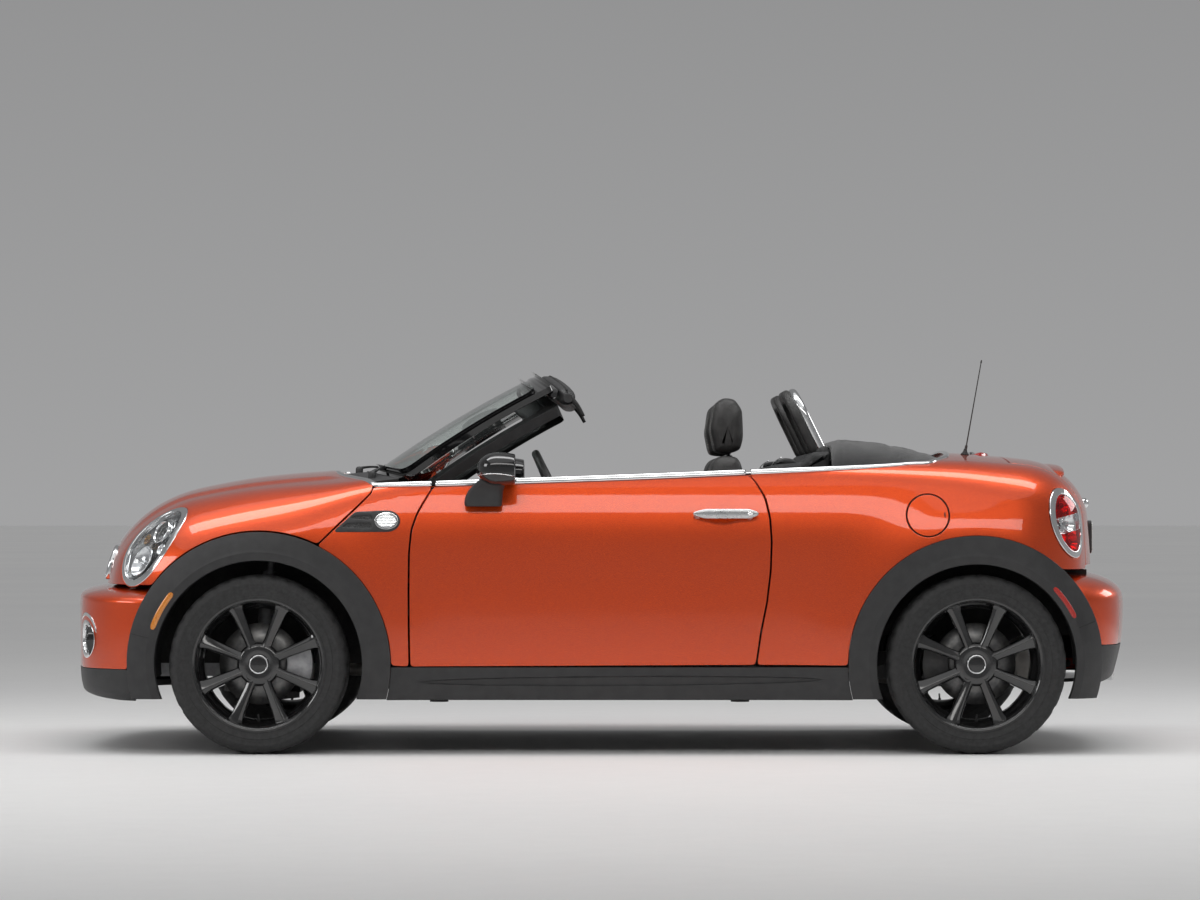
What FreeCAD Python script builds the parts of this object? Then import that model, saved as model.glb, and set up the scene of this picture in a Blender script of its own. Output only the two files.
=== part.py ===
import FreeCAD, Part
import math
import os
import Sketcher

# A two-seat open roadster, front towards -X, its left side towards -Y, +Z up.
# The origin is on the ground at the middle of the car's length and width. Millimetres.

V = FreeCAD.Vector
doc = FreeCAD.newDocument("roadster")
sheet = doc.addObject("Spreadsheet::Sheet", "dims")

CELLS = [
    ("front_axle_x", -1177), ("rear_axle_x", 1290), ("wheelbase", 2467),
    ("track_half", 730), ("axle_z", 308), ("tyre_rad", 308), ("tyre_width", 205),
    ("bead_rad", 219), ("rim_rad", 229), ("rim_width", 196), ("hub_rad", 72),
    ("bore_rad", 28), ("stub_rad", 27), ("disc_rad", 140), ("disc_thick", 22),
    ("arch_front_out", 455), ("arch_front_in", 356), ("arch_rear_out", 442), ("arch_rear_in", 343),
    ("sill_top", 300), ("sill_low", 184), ("door_front_x", -658), ("door_rear_x", 583),
    ("gap", 5), ("skin", 12), ("door_wall", 100),
    ("floor_z", 190), ("floor_thick", 25), ("seat_y", 360), ("seat_wide", 480),
    ("cabin_half", 640), ("dash_half", 655), ("hoop_rad", 16), ("hoop_y", 360), ("hoop_half", 170),
    ("wheel_grip_rad", 13), ("wheel_ring_rad", 172), ("glass_thick", 6),
    ("plate_wide", 310), ("plate_high", 160), ("engine_long", 480), ("engine_wide", 700), ("engine_high", 520),
    ("pipe_rad", 26), ("muffler_rad", 85), ("jack_rad", 32), ("tow_rad", 8), ("tow_deep", 40),
]
for row, (alias, value) in enumerate(CELLS, start=1):
    sheet.set("A%d" % row, alias)
    sheet.set("B%d" % row, str(value))
    sheet.setAlias("B%d" % row, alias)
doc.recompute()
D = {alias: float(sheet.get(alias)) for alias, value in CELLS}


class Q:
    """A size taken from the sheet: cell * mul + add, as a number and as the text of an expression."""

    def __init__(self, cell, mul=1.0, add=0.0):
        self.val = D[cell] * mul + add
        self.text = "dims.%s * %s + %s" % (cell, mul, add) if add >= 0 else "dims.%s * %s - %s" % (cell, mul, -add)


def num(a):
    return a.val if isinstance(a, Q) else float(a)


def bind(obj, prop, a):
    if isinstance(a, Q):
        obj.setExpression(prop, a.text)


PARTS = []


def keep(obj, label):
    obj.Label = label
    PARTS.append(obj)
    return obj


# ---------------------------------------------------------------- splines and the body's form

class Spl:
    """A natural cubic spline through points, straight beyond its ends."""

    def __init__(self, pts):
        self.x = [float(p[0]) for p in pts]
        self.y = [float(p[1]) for p in pts]
        n = len(pts)
        x, y = self.x, self.y
        a = [0.0] * n
        b = [1.0] * n
        c = [0.0] * n
        d = [0.0] * n
        for i in range(1, n - 1):
            h0, h1 = x[i] - x[i - 1], x[i + 1] - x[i]
            a[i], b[i], c[i] = h0, 2 * (h0 + h1), h1
            d[i] = 6 * ((y[i + 1] - y[i]) / h1 - (y[i] - y[i - 1]) / h0)
        for i in range(1, n):
            w = a[i] / b[i - 1]
            b[i] -= w * c[i - 1]
            d[i] -= w * d[i - 1]
        m = [0.0] * n
        m[-1] = d[-1] / b[-1]
        for i in range(n - 2, -1, -1):
            m[i] = (d[i] - c[i] * m[i + 1]) / b[i]
        self.m = m

    def __call__(self, t):
        x, y, m = self.x, self.y, self.m
        n = len(x)
        if t <= x[0]:
            h = x[1] - x[0]
            s = (y[1] - y[0]) / h - h * (2 * m[0] + m[1]) / 6
            return y[0] + s * (t - x[0])
        if t >= x[-1]:
            h = x[-1] - x[-2]
            s = (y[-1] - y[-2]) / h + h * (m[-2] + 2 * m[-1]) / 6
            return y[-1] + s * (t - x[-1])
        i = 0
        while t > x[i + 1]:
            i += 1
        h = x[i + 1] - x[i]
        p, q = x[i + 1] - t, t - x[i]
        return (m[i] * p ** 3 + m[i + 1] * q ** 3) / (6 * h) + (y[i] / h - m[i] * h / 6) * p + (y[i + 1] / h - m[i + 1] * h / 6) * q


PLAN = Spl([(-1864, 735), (-1700, 768), (-1500, 792), (-1300, 805), (-1177, 809), (-900, 812), (-600, 814), (0, 817), (600, 818),
            (1000, 816), (1290, 812), (1450, 804), (1600, 790), (1750, 772), (1864, 755)])
SECT = Spl([(150, -46), (200, -35), (300, -16), (400, -5.5), (500, -0.8), (600, 0), (700, -2.4), (740, -5), (780, -10), (820, -18),
            (860, -28.5), (900, -41), (940, -55), (980, -71), (1020, -89), (1080, -120)])
TOPC = Spl([(-1864, 760), (-1750, 814), (-1650, 849), (-1542, 881), (-1460, 905), (-1364, 926), (-1255, 945), (-1146, 958), (-1037, 967),
            (-955, 973), (-800, 988), (-500, 1008), (0, 1022), (600, 1034), (1000, 1042), (1200, 1045), (1280, 1043), (1375, 1036),
            (1498, 1025), (1580, 1014), (1650, 1000), (1750, 970), (1864, 925)])
CROWN = Spl([(-1864, 60), (-1500, 50), (-1200, 44), (-900, 36), (-400, 25), (600, 25), (1200, 32), (1500, 34), (1864, 38)])
RSIDE = Spl([(-1864, 260), (-1500, 235), (-1200, 190), (-1000, 140), (-850, 90), (-650, 60), (0, 50), (700, 50), (1000, 75), (1250, 110), (1500, 135), (1864, 160)])
RTOP = Spl([(-1864, 250), (-1500, 235), (-1200, 190), (-1000, 130), (-850, 85), (-650, 55), (0, 45), (700, 45), (1000, 60), (1250, 85), (1500, 120), (1700, 160), (1864, 180)])
NOSE = Spl([(200, -1760), (400, -1770), (560, -1774), (640, -1773), (720, -1768), (800, -1757), (900, -1738)])
TAIL = Spl([(200, 1748), (500, 1754), (620, 1753), (700, 1750), (800, 1743), (900, 1733), (1000, 1716)])
POW = 2.3


def bump(x, z):
    """How far the wings stand out round the wheel arches."""
    s = 0.0
    for cx, h, r0 in ((D["front_axle_x"], 15.0, 430.0), (D["rear_axle_x"], 17.0, 420.0)):
        r = math.hypot(x - cx, z - D["axle_z"])
        s += h if r < r0 else h * math.exp(-((r - r0) / 120.0) ** 2)
    return s


def smooth(t):
    t = min(1.0, max(0.0, t))
    return t * t * t * (t * (6 * t - 15) + 10)


def hood_rise(x, y):
    """The raised middle of the bonnet."""
    if x > -900:
        return 0.0
    return 9.0 * (1 - smooth((abs(y) - (430 + 0.10 * (x + 1300))) / 75.0)) * (1 - smooth((x + 980) / 80.0)) * smooth((x + 1780) / 260.0)


def upper(x, y, z):
    """Under 0 inside the upper body, 0 on its skin."""
    ya = abs(y)
    ra, rb = RSIDE(x), RTOP(x)
    a = max(0.0, 1 + (ya - PLAN(x) - SECT(z) - bump(x, z)) / ra)
    b = max(0.0, 1 + (z - TOPC(x) + CROWN(x) * (ya / 600.0) ** 2 - hood_rise(x, y)) / rb)
    c = max(0.0, 1 + (NOSE(z) + 80 * (ya / 600.0) ** 2.2 - x) / 272.0)
    d = max(0.0, 1 + (x - TAIL(z) + 70 * (ya / 600.0) ** 2.4) / 200.0)
    return (a ** POW + b ** POW + c ** POW + d ** POW) ** (1 / POW) - 1


BF_SIDE = Spl([(170, 796), (250, 816), (350, 826), (450, 829), (560, 826), (620, 820)])
BF_NOSE = Spl([(170, -1838), (230, -1856), (300, -1862), (400, -1863), (500, -1864), (560, -1862), (620, -1858)])


def bumper_f(x, y, z):
    ya = abs(y)
    a = max(0.0, 1 + (ya - BF_SIDE(z) - 0.02 * (x + 1560)) / 300.0)
    b = max(0.0, 1 + (z - 583 + 10 * (ya / 600.0) ** 2) / 46.0)
    c = max(0.0, 1 + (BF_NOSE(z) + 62 * (ya / 600.0) ** 2.2 - x) / 300.0)
    e = max(0.0, 1 + (165 - z) / 50.0)
    return (a ** POW + b ** POW + c ** POW + e ** POW) ** (1 / POW) - 1


BR_SIDE = Spl([(170, 780), (250, 806), (350, 820), (450, 824), (560, 822), (640, 816)])
BR_TAIL = Spl([(170, 1790), (240, 1822), (300, 1840), (370, 1856), (440, 1863), (520, 1864), (580, 1858), (660, 1845)])


def bumper_r(x, y, z):
    ya = abs(y)
    a = max(0.0, 1 + (ya - BR_SIDE(z) + 0.03 * (x - 1560)) / 230.0)
    b = max(0.0, 1 + (z - 628 + 8 * (ya / 600.0) ** 2) / 95.0)
    d = max(0.0, 1 + (x - BR_TAIL(z) + 60 * (ya / 600.0) ** 2.4) / 240.0)
    e = max(0.0, 1 + (215 - z) / 50.0)
    return (a ** POW + b ** POW + d ** POW + e ** POW) ** (1 / POW) - 1


def hit(f, o, d, lo, hi):
    """The point where a ray leaves the form f."""
    for _ in range(34):
        t = 0.5 * (lo + hi)
        if f(o[0] + d[0] * t, o[1] + d[1] * t, o[2] + d[2] * t) < 0:
            lo = t
        else:
            hi = t
    t = 0.5 * (lo + hi)
    return V(o[0] + d[0] * t, o[1] + d[1] * t, o[2] + d[2] * t)


def normal(f, p):
    h = 0.5
    n = V(f(p.x + h, p.y, p.z) - f(p.x - h, p.y, p.z), f(p.x, p.y + h, p.z) - f(p.x, p.y - h, p.z), f(p.x, p.y, p.z + h) - f(p.x, p.y, p.z - h))
    n.normalize()
    return n


def side_y(f, x, z):
    return abs(hit(f, (x, 0, z), (0, -1, 0), 100, 1000).y)


# ---------------------------------------------------------------- ways of making solids

def skin_solid(outer, inner):
    """The solid between two grids of points."""
    so, si = Part.BSplineSurface(), Part.BSplineSurface()
    so.interpolate(outer)
    si.interpolate(inner)
    u0, u1, v0, v1 = so.bounds()
    w0, w1, k0, k1 = si.bounds()
    faces = [so.toShape(), si.toShape()]
    for a, b in ((so.uIso(u0), si.uIso(w0)), (so.uIso(u1), si.uIso(w1)), (so.vIso(v0), si.vIso(k0)), (so.vIso(v1), si.vIso(k1))):
        faces.append(Part.makeRuledSurface(a.toShape(), b.toShape()))
    shell = Part.makeShell(faces)
    shell.sewShape(0.01)
    solid = Part.makeSolid(shell)
    if solid.Volume < 0:
        solid.reverse()
    return solid


def spline_edge(pts):
    c = Part.BSplineCurve()
    c.interpolate(pts)
    return c.toShape()


def loft(sections):
    """A solid through closed sections, each a pair of point rows (outer, inner) in one plane."""
    wires = []
    for o, i in sections:
        wires.append(Part.Wire([spline_edge(o), Part.makeLine(o[-1], i[-1]), spline_edge(list(reversed(i))), Part.makeLine(i[0], o[0])]))
    return Part.makeLoft(wires, True, True)


def row_shift(pts, axis, t):
    """The row moved sideways by t in the plane whose normal is axis."""
    out = []
    n = len(pts)
    for k, p in enumerate(pts):
        d = (pts[min(n - 1, k + 1)] - pts[max(0, k - 1)]).normalize()
        out.append(p + d.cross(axis) * t)
    return out


def plan_sections(f, cx, sign, zs, angles, t):
    """Upright sections of the form f round the point (cx, 0), each with a wall t thick."""
    secs = []
    for a in angles:
        d = V(sign * math.cos(math.radians(a)), math.sin(math.radians(a)), 0)
        row = [hit(f, (cx, 0, z), (d.x, d.y, 0), 20, 1200) for z in zs]
        secs.append((row, row_shift(row, V(0, 0, 1).cross(d), t)))
    return secs


def cross_sections(f, xs, angles, z0, o0, o1):
    """Sections at each x, from o0 proud of the form to o1 proud of it (minus is inwards)."""
    grid = fan(f, xs, angles, z0)
    return [(row_shift(r, V(1, 0, 0), o0), row_shift(r, V(1, 0, 0), o1)) for r in grid]


def inward(f, grid, t):
    return [[p - normal(f, p) * (t(p) if callable(t) else t) for p in row] for row in grid]


def prism_y(pts, y0, y1):
    """A side-view outline (x, z), smooth where three numbers are given, pushed from y0 to y1."""
    w = Part.makePolygon([V(x, y0, z) for x, z in pts] + [V(pts[0][0], y0, pts[0][1])])
    return Part.Face(w).extrude(V(0, y1 - y0, 0))


def prism_z(pts, z0, z1):
    w = Part.makePolygon([V(x, y, z0) for x, y in pts] + [V(pts[0][0], pts[0][1], z0)])
    return Part.Face(w).extrude(V(0, 0, z1 - z0))


def prism_x(pts, x0, x1):
    w = Part.makePolygon([V(x0, y, z) for y, z in pts] + [V(x0, pts[0][0], pts[0][1])])
    return Part.Face(w).extrude(V(x1 - x0, 0, 0))


def curve_prism_y(parts, y0, y1):
    """As prism_y, but each part is a list of (x, z) points: two make a line, more a spline."""
    edges = []
    for p in parts:
        q = [V(x, y0, z) for x, z in p]
        if len(q) == 2:
            edges.append(Part.makeLine(q[0], q[1]))
        else:
            c = Part.BSplineCurve()
            c.interpolate(q)
            edges.append(c.toShape())
    return Part.Face(Part.Wire(edges)).extrude(V(0, y1 - y0, 0))


def dense(line):
    """The points of a line with one more on the spline between each two."""
    c = Part.BSplineCurve()
    c.interpolate([V(x, 0, z) for x, z in line])
    pts = []
    for i in range(len(line) - 1):
        a, b = (c.parameter(V(q[0], 0, q[1])) for q in line[i:i + 2])
        m = c.value((a + b) / 2)
        pts += [line[i], (m.x, m.z)]
    return pts + [line[-1]]


def cyl_y(x, z, r, y0, y1):
    return Part.makeCylinder(r, y1 - y0, V(x, y0, z), V(0, 1, 0))


def box(x0, x1, y0, y1, z0, z1):
    return Part.makeBox(x1 - x0, y1 - y0, z1 - z0, V(x0, y0, z0))


def mirror(s):
    return s.mirror(V(0, 0, 0), V(0, 1, 0))


def biggest(s, n=1):
    sol = sorted(s.Solids, key=lambda k: -k.Volume)[:n]
    return sol[0] if n == 1 else Part.makeCompound(sol)


def feature(label, shape):
    print("made", label, shape.isValid(), len(shape.Solids), flush=True)
    o = doc.addObject("Part::Feature", label)
    o.Shape = shape
    return keep(o, label)


def tube(points, r, bend):
    """A round bar along straight runs joined by arcs of the radius bend."""
    pts = [V(*p) for p in points]
    edges, last = [], pts[0]
    for i in range(1, len(pts) - 1):
        a, b, c = pts[i - 1], pts[i], pts[i + 1]
        u, w = (a - b).normalize(), (c - b).normalize()
        half = u.getAngle(w) / 2
        rr = bend[i - 1] if isinstance(bend, (list, tuple)) else bend
        t = rr / math.tan(half)
        p, q = b + u * t, b + w * t
        mid = b + (u + w).normalize() * (rr / math.sin(half) - rr)
        if (p - last).Length > 0.01:
            edges.append(Part.makeLine(last, p))
        edges.append(Part.Arc(p, mid, q).toShape())
        last = q
    edges.append(Part.makeLine(last, pts[-1]))
    spine = Part.Wire(edges)
    ring = Part.Wire([Part.makeCircle(r, pts[0], pts[1] - pts[0])])
    return spine.makePipeShell([ring], True, False)


def body(label):
    return keep(doc.addObject("PartDesign::Body", label), label)


def origin_of(b, role):
    return [o for o in b.Origin.OriginFeatures if o.Role == role][0]


def sketch(b, role, pts, name):
    """A closed outline of straight lines in one of the body's origin planes, each corner held by its own two sizes."""
    sk = b.newObject("Sketcher::SketchObject", name)
    sk.AttachmentSupport = [(origin_of(b, role), "")]
    sk.MapMode = "FlatFace"
    n = len(pts)
    v = [(num(a), num(c)) for a, c in pts]
    sk.addGeometry([Part.LineSegment(V(v[i][0], v[i][1], 0), V(v[(i + 1) % n][0], v[(i + 1) % n][1], 0)) for i in range(n)], False)
    sk.addConstraint([Sketcher.Constraint("Coincident", i, 2, (i + 1) % n, 1) for i in range(n)])
    for i, (a, c) in enumerate(pts):
        for kind, q, val in (("DistanceX", a, v[i][0]), ("DistanceY", c, v[i][1])):
            k = sk.addConstraint(Sketcher.Constraint(kind, -1, 1, i, 1, val))
            if isinstance(q, Q):
                sk.setExpression("Constraints[%d]" % k, q.text)
    return sk


def circles(b, role, items, name):
    """Circles in one of the body's origin planes: each (u, v, radius)."""
    sk = b.newObject("Sketcher::SketchObject", name)
    sk.AttachmentSupport = [(origin_of(b, role), "")]
    sk.MapMode = "FlatFace"
    for i, (u, w, r) in enumerate(items):
        sk.addGeometry(Part.Circle(V(num(u), num(w), 0), V(0, 0, 1), num(r)), False)
        for kind, q in (("DistanceX", u), ("DistanceY", w)):
            k = sk.addConstraint(Sketcher.Constraint(kind, -1, 1, i, 3, num(q)))
            if isinstance(q, Q):
                sk.setExpression("Constraints[%d]" % k, q.text)
        k = sk.addConstraint(Sketcher.Constraint("Radius", i, num(r)))
        if isinstance(r, Q):
            sk.setExpression("Constraints[%d]" % k, r.text)
    return sk


def pad(b, sk, length, name, mid=True, rev=False, offset=None):
    p = b.newObject("PartDesign::Pad", name)
    p.Profile = sk
    p.Length = num(length)
    bind(p, "Length", length)
    if mid:
        p.SideType = "Symmetric"
    p.Reversed = rev
    if offset is not None:
        sk.AttachmentOffset = FreeCAD.Placement(V(0, 0, num(offset)), FreeCAD.Rotation())
        bind(sk, "AttachmentOffset.Base.z", offset)
    return p


def pocket(b, sk, length, name, mid=True, rev=False):
    p = b.newObject("PartDesign::Pocket", name)
    p.Profile = sk
    p.Length = num(length)
    bind(p, "Length", length)
    if mid:
        p.SideType = "Symmetric"
    p.Reversed = rev
    return p


def revolve(b, sk, name):
    r = b.newObject("PartDesign::Revolution", name)
    r.Profile = sk
    r.ReferenceAxis = (sk, ["V_Axis"])
    r.Angle = 360
    return r


def place(obj, x, y, z, rot=None):
    obj.Placement = FreeCAD.Placement(V(num(x), num(y), num(z)), rot or FreeCAD.Rotation())
    for k, q in (("x", x), ("y", y), ("z", z)):
        bind(obj, "Placement.Base." + k, q)


FAX, RAX, AZ, TH = D["front_axle_x"], D["rear_axle_x"], D["axle_z"], D["track_half"]
GAP = D["gap"]

# ---------------------------------------------------------------- wheels and tyres, each a turned body about its own Y axis

def tyre(label, ax, side):
    b = body(label)
    w = D["tyre_width"] / 2
    R, B = D["tyre_rad"], D["bead_rad"]
    prof = [(Q("bead_rad"), -w + 15.5), (Q("rim_rad", 1, 1), -w + 12), (Q("rim_rad", 1, 5), -w + 4), (Q("bead_rad", 1, 40), -w), (Q("tyre_rad", 1, -28), -w + 2), (Q("tyre_rad", 1, -12), -w + 8),
            (Q("tyre_rad", 1, -4), -w + 18), (Q("tyre_rad"), -w + 34), (Q("tyre_rad"), w - 34), (Q("tyre_rad", 1, -4), w - 18), (Q("tyre_rad", 1, -12), w - 8),
            (Q("tyre_rad", 1, -28), w - 2), (Q("bead_rad", 1, 40), w), (Q("rim_rad", 1, 5), w - 4), (Q("rim_rad", 1, 1), w - 12), (Q("bead_rad"), w - 15.5)]
    sk = sketch(b, "XY_Plane", prof, label + "_section")
    revolve(b, sk, label + "_turn")
    place(b, Q(ax), Q("track_half", side), Q("axle_z"))


def alloy(label, ax, side):
    """An eight-spoke wheel: barrel, face, hub and a brake disc behind it, about the body's Y axis. s is -1 where the outside is towards -Y."""
    s = side
    b = body(label)
    # barrel and flanges
    rim = [(Q("rim_rad"), s * 98), (Q("rim_rad"), s * 91), (Q("bead_rad", 1, -0.4), s * 88), (Q("bead_rad", 1, -0.4), s * 38), (Q("bead_rad", 1, -18), s * 22), (Q("bead_rad", 1, -18), -s * 42),
           (Q("bead_rad", 1, -0.4), -s * 60), (Q("bead_rad", 1, -0.4), -s * 88), (Q("rim_rad"), -s * 91), (Q("rim_rad"), -s * 98), (Q("bead_rad", 1, -8), -s * 94), (Q("bead_rad", 1, -9), -s * 64),
           (Q("bead_rad", 1, -27), -s * 46), (Q("bead_rad", 1, -27), s * 26), (Q("bead_rad", 1, -15), s * 42), (Q("bead_rad", 1, -13), s * 60), (Q("bead_rad", 1, -6), s * 90)]
    sk = sketch(b, "XY_Plane", rim, label + "_barrel")
    revolve(b, sk, label + "_rim")
    # face disc, dished, then cut into spokes
    face = [(Q("bead_rad", 1, -7), s * 74), (Q("hub_rad"), s * 60), (Q("hub_rad", 1, -34), s * 62), (Q("hub_rad", 1, -34), s * 30), (Q("hub_rad"), s * 28), (Q("bead_rad", 1, -10), s * 44)]
    sk = sketch(b, "XY_Plane", face, label + "_face")
    revolve(b, sk, label + "_dish")
    # hub bell, disc and bore
    hub = [(Q("bore_rad"), s * 66), (Q("hub_rad", 1, -30), s * 66), (Q("hub_rad", 1, -30), s * 34), (Q("hub_rad"), s * 30), (Q("hub_rad"), s * 2), (Q("disc_rad"), s * 2),
           (Q("disc_rad"), -s * 20), (Q("hub_rad", 1, -10), -s * 20), (Q("hub_rad", 1, -10), s * 20), (Q("bore_rad"), s * 20)]
    sk = sketch(b, "XY_Plane", hub, label + "_hub")
    revolve(b, sk, label + "_bell")
    # one window between spokes, repeated eight times round the axle
    ri, ro = D["hub_rad"] + 14, D["bead_rad"] - 17
    ai, ao = math.radians(9.2), math.radians(16.6)
    win = [(ri * math.cos(ai), ri * math.sin(ai)), (ro * math.cos(ao), ro * math.sin(ao)), ((ro + 5) * math.cos(ao * 0.6), (ro + 5) * math.sin(ao * 0.6)), (ro + 6.5, 0),
           ((ro + 5) * math.cos(ao * 0.6), -(ro + 5) * math.sin(ao * 0.6)), (ro * math.cos(ao), -ro * math.sin(ao)), (ri * math.cos(ai), -ri * math.sin(ai)), (ri - 8, 0)]
    a0 = math.radians(90 if label.endswith("x") else 0)
    win = [(u * math.cos(a0) - v * math.sin(a0), u * math.sin(a0) + v * math.cos(a0)) for u, v in win]
    sk = sketch(b, "XZ_Plane", win, label + "_window")
    doc.recompute()
    p = b.newObject("PartDesign::Pocket", label + "_cut")
    p.Profile = sk
    p.Length = 96
    p.Reversed = s < 0
    sk.AttachmentOffset = FreeCAD.Placement(V(0, 0, -s * 26), FreeCAD.Rotation())
    doc.recompute()
    before = b.Shape.Volume
    pat = b.newObject("PartDesign::PolarPattern", label + "_spokes")
    pat.Originals = [p]
    pat.Axis = (origin_of(b, "Y_Axis"), [""])
    pat.Angle = 360
    pat.Occurrences = 8
    b.Tip = pat
    doc.recompute()
    print(label, "wheel volume", round(before), round(b.Shape.Volume))
    place(b, Q(ax), Q("track_half", side), Q("axle_z"))


for ax, end in (("front_axle_x", "front"), ("rear_axle_x", "rear")):
    for side, hand in ((-1, "left"), (1, "right")):
        tyre("tyre_%s_%s" % (end, hand), ax, side)
        alloy("wheel_%s_%s" % (end, hand), ax, side)
doc.recompute()

# ---------------------------------------------------------------- the body's skins

SK = D["skin"]


def fan(f, xs, angles, z0, span=1400):
    """Rows of points where rays from a line at (y 0, z0) leave the form, angle 0 straight up, positive to the left."""
    rows = []
    for x in xs:
        rows.append([hit(f, (x, 0, z0), (0, -math.sin(math.radians(t)), math.cos(math.radians(t))), 20, span) for t in angles])
    return rows


HALF = [0, 12, 24, 34, 42, 49, 55, 60, 65, 71, 79, 88, 97]


def both(half):
    return [-t for t in reversed(half[1:])] + list(half)


# side-view outlines, front to rear (x, z)
SCUTTLE_LINE = [(-792, 902), (-850, 843), (-905, 790), (-960, 736), (-1010, 690)]
DOOR_FRONT = [(-576, 918.5), (-604, 872), (-630, 826), (-649, 770), (-657, 690), (-658, 560), (-657, 420), (-655, 300)]
DOOR_REAR = [(530, 306), (546, 420), (566, 519), (579, 625), (583, 730), (578, 810), (562, 880), (530, 934), (507, 958.4)]
BELT = Spl([(-960, 905), (-900, 908), (-797, 914), (-600, 918), (-300, 927), (0, 937), (300, 949), (500, 958), (700, 967), (900, 978), (1000, 985), (1100, 995), (1160, 1004), (1215, 1016)])


def bonnet():
    xs = [-1771, -1764, -1752, -1736, -1715, -1690, -1655, -1610, -1550, -1480, -1400, -1310, -1210, -1110, -1010, -920, -840, -770]
    angles = both([0, 10, 20, 29, 37, 44, 50, 56, 62, 68, 74, 81, 88, 95])
    outer = fan(upper, xs, angles, 560)
    s = skin_solid(outer, inward(upper, outer, SK))
    # keep what lies ahead of the cowl and scuttle lines and above the bumper's seam
    cut = [(-2000, 578), (-2000, 1200), (-792, 1200), (-792, 902 + 6)] + [(x, z + 0) for x, z in SCUTTLE_LINE] + [(-1040, 578)]
    s = s.common(prism_y(cut, -1000, 1000))
    # the cowl: the rear edge curves forward to the middle
    cowl = [(-700, -900)] + [(-786 - 172 * math.cos(math.radians(t)) ** 1.6, 735 * math.sin(math.radians(t))) for t in (-86, -75, -62, -48, -34, -20, -8, 0, 8, 20, 34, 48, 62, 75, 86)] + [(-700, 900)]
    s = s.cut(prism_z(cowl, 820, 1300))
    s = s.cut(cyl_y(FAX, AZ, D["arch_front_out"] + GAP, -1000, 1000))
    # grille opening, straight down its sides so that the bonnet lifts clear
    s = s.cut(prism_x([(-395, 500), (-395, 655), (-372, 700), (-330, 722), (330, 722), (372, 700), (395, 655), (395, 500)], -1950, -1650))
    return s


def lamp_axes(n, up):
    n = V(n.x, n.y, n.z).normalize()
    u = (up - n * up.dot(n)).normalize()
    return n, u, n.cross(u)


def oval(c, n, up, a, b, depth0, depth1):
    """An elliptical cylinder: a along the up direction, b across, from depth0 to depth1 along n."""
    n, u, w = lamp_axes(n, up)
    base = c + n * depth0
    e = Part.Ellipse(base + u * a, base + w * b, base) if a >= b else Part.Ellipse(base + w * b, base + u * a, base)
    return Part.Face(Part.Wire([e.toShape()])).extrude(n * (depth1 - depth0))


HEAD_C, HEAD_N, HEAD_UP = V(-1560, -655, 722), V(-0.74, -0.50, 0.45), V(0.42, 0.06, 1.0)
TAIL_C, TAIL_N, TAIL_UP = V(1640, -716, 797), V(0.72, -0.68, 0.10), V(-0.24, 0.0, 1.0)

BONNET_XS = [-1768, -1761, -1750, -1734, -1713, -1688, -1655, -1610, -1550, -1480, -1400, -1310, -1210, -1110, -1010, -920, -840, -770]
BONNET_ANG = both([0, 10, 20, 29, 37, 44, 50, 56, 62, 68, 74, 81, 88, 95])
BONNET_GRID = fan(upper, BONNET_XS, BONNET_ANG, 560)
ARCH_F = cyl_y(FAX, AZ, D["arch_front_out"] + GAP + 1, -1000, 1000)
COWL = [(-786 - 172 * math.cos(math.radians(t)) ** 1.6, 735 * math.sin(math.radians(t))) for t in (-86, -75, -62, -48, -34, -20, -8, 0, 8, 20, 34, 48, 62, 75, 86)]

# the bonnet: one clamshell from scuttle to bumper, with the holes that the fixed lamps and grille fill
s = skin_solid(BONNET_GRID, inward(upper, BONNET_GRID, SK))
s = s.common(prism_y([(-2000, 580), (-2000, 1200), (-792, 1200), (-792, 908)] + SCUTTLE_LINE + [(-1040, 580)], -1000, 1000))
s = s.cut(prism_z([(-700, -900)] + COWL + [(-700, 900)], 820, 1300)).cut(ARCH_F)
s = s.cut(prism_x([(-395, 500), (-395, 655), (-372, 700), (-330, 722), (330, 722), (372, 700), (395, 655), (395, 500)], -1950, -1650))
hole = oval(HEAD_C, HEAD_N, HEAD_UP, 168, 120, -150, 170)
s = s.cut(hole).cut(mirror(hole))
# the panel's edge is thin round the lamps, so that it clears them when it lifts
thin = skin_solid(inward(upper, BONNET_GRID, 3.5), inward(upper, BONNET_GRID, 40)).common(oval(HEAD_C, HEAD_N, HEAD_UP, 190, 142, -150, 170))
s = s.cut(thin).cut(mirror(thin))
feature("bonnet", biggest(s))

# headlights, set a little under the bonnet's skin
layer = skin_solid(inward(upper, BONNET_GRID, 2.0), inward(upper, BONNET_GRID, 70))
lamp = biggest(layer.common(oval(HEAD_C, HEAD_N, HEAD_UP, 157, 109, -150, 170)))
feature("headlights", Part.makeCompound([lamp, mirror(lamp)]))

# ---------------------------------------------------------------- side panels


TFRAC = [0.0, 0.09, 0.2, 0.33, 0.46, 0.57, 0.66, 0.74, 0.81, 0.87, 0.92, 0.96, 1.0]


def side_rows(xs, z0, out=0.0, top=5.0):
    """Points on the left side from z0 up to just over the belt, out millimetres proud of the skin."""
    rows = []
    for x in xs:
        zt = BELT(x) + top
        rows.append([V(x, -side_y(upper, x, z0 + (zt - z0) * t) - out, z0 + (zt - z0) * t) for t in TFRAC])
    return rows


def side_slab(xs, z0, o0, o1, top=5.0):
    """A slab of the left side: from o0 proud of the skin to o1 proud of it, or to the plane y = o1 where o1 is under -300."""
    outer = side_rows(xs, z0, o0, top)
    if o1 < -300:
        inner = [[V(p.x, o1, p.z) for p in r] for r in outer]
    else:
        inner = [[V(p.x, p.y + o0 - o1, p.z) for p in r] for r in outer]
    return skin_solid(outer, inner)


def steps(a, b, n):
    return [a + (b - a) * i / float(n) for i in range(n + 1)]


def shift(line, dx, dz=0.0):
    return [(x + dx, z + dz) for x, z in line]


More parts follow.
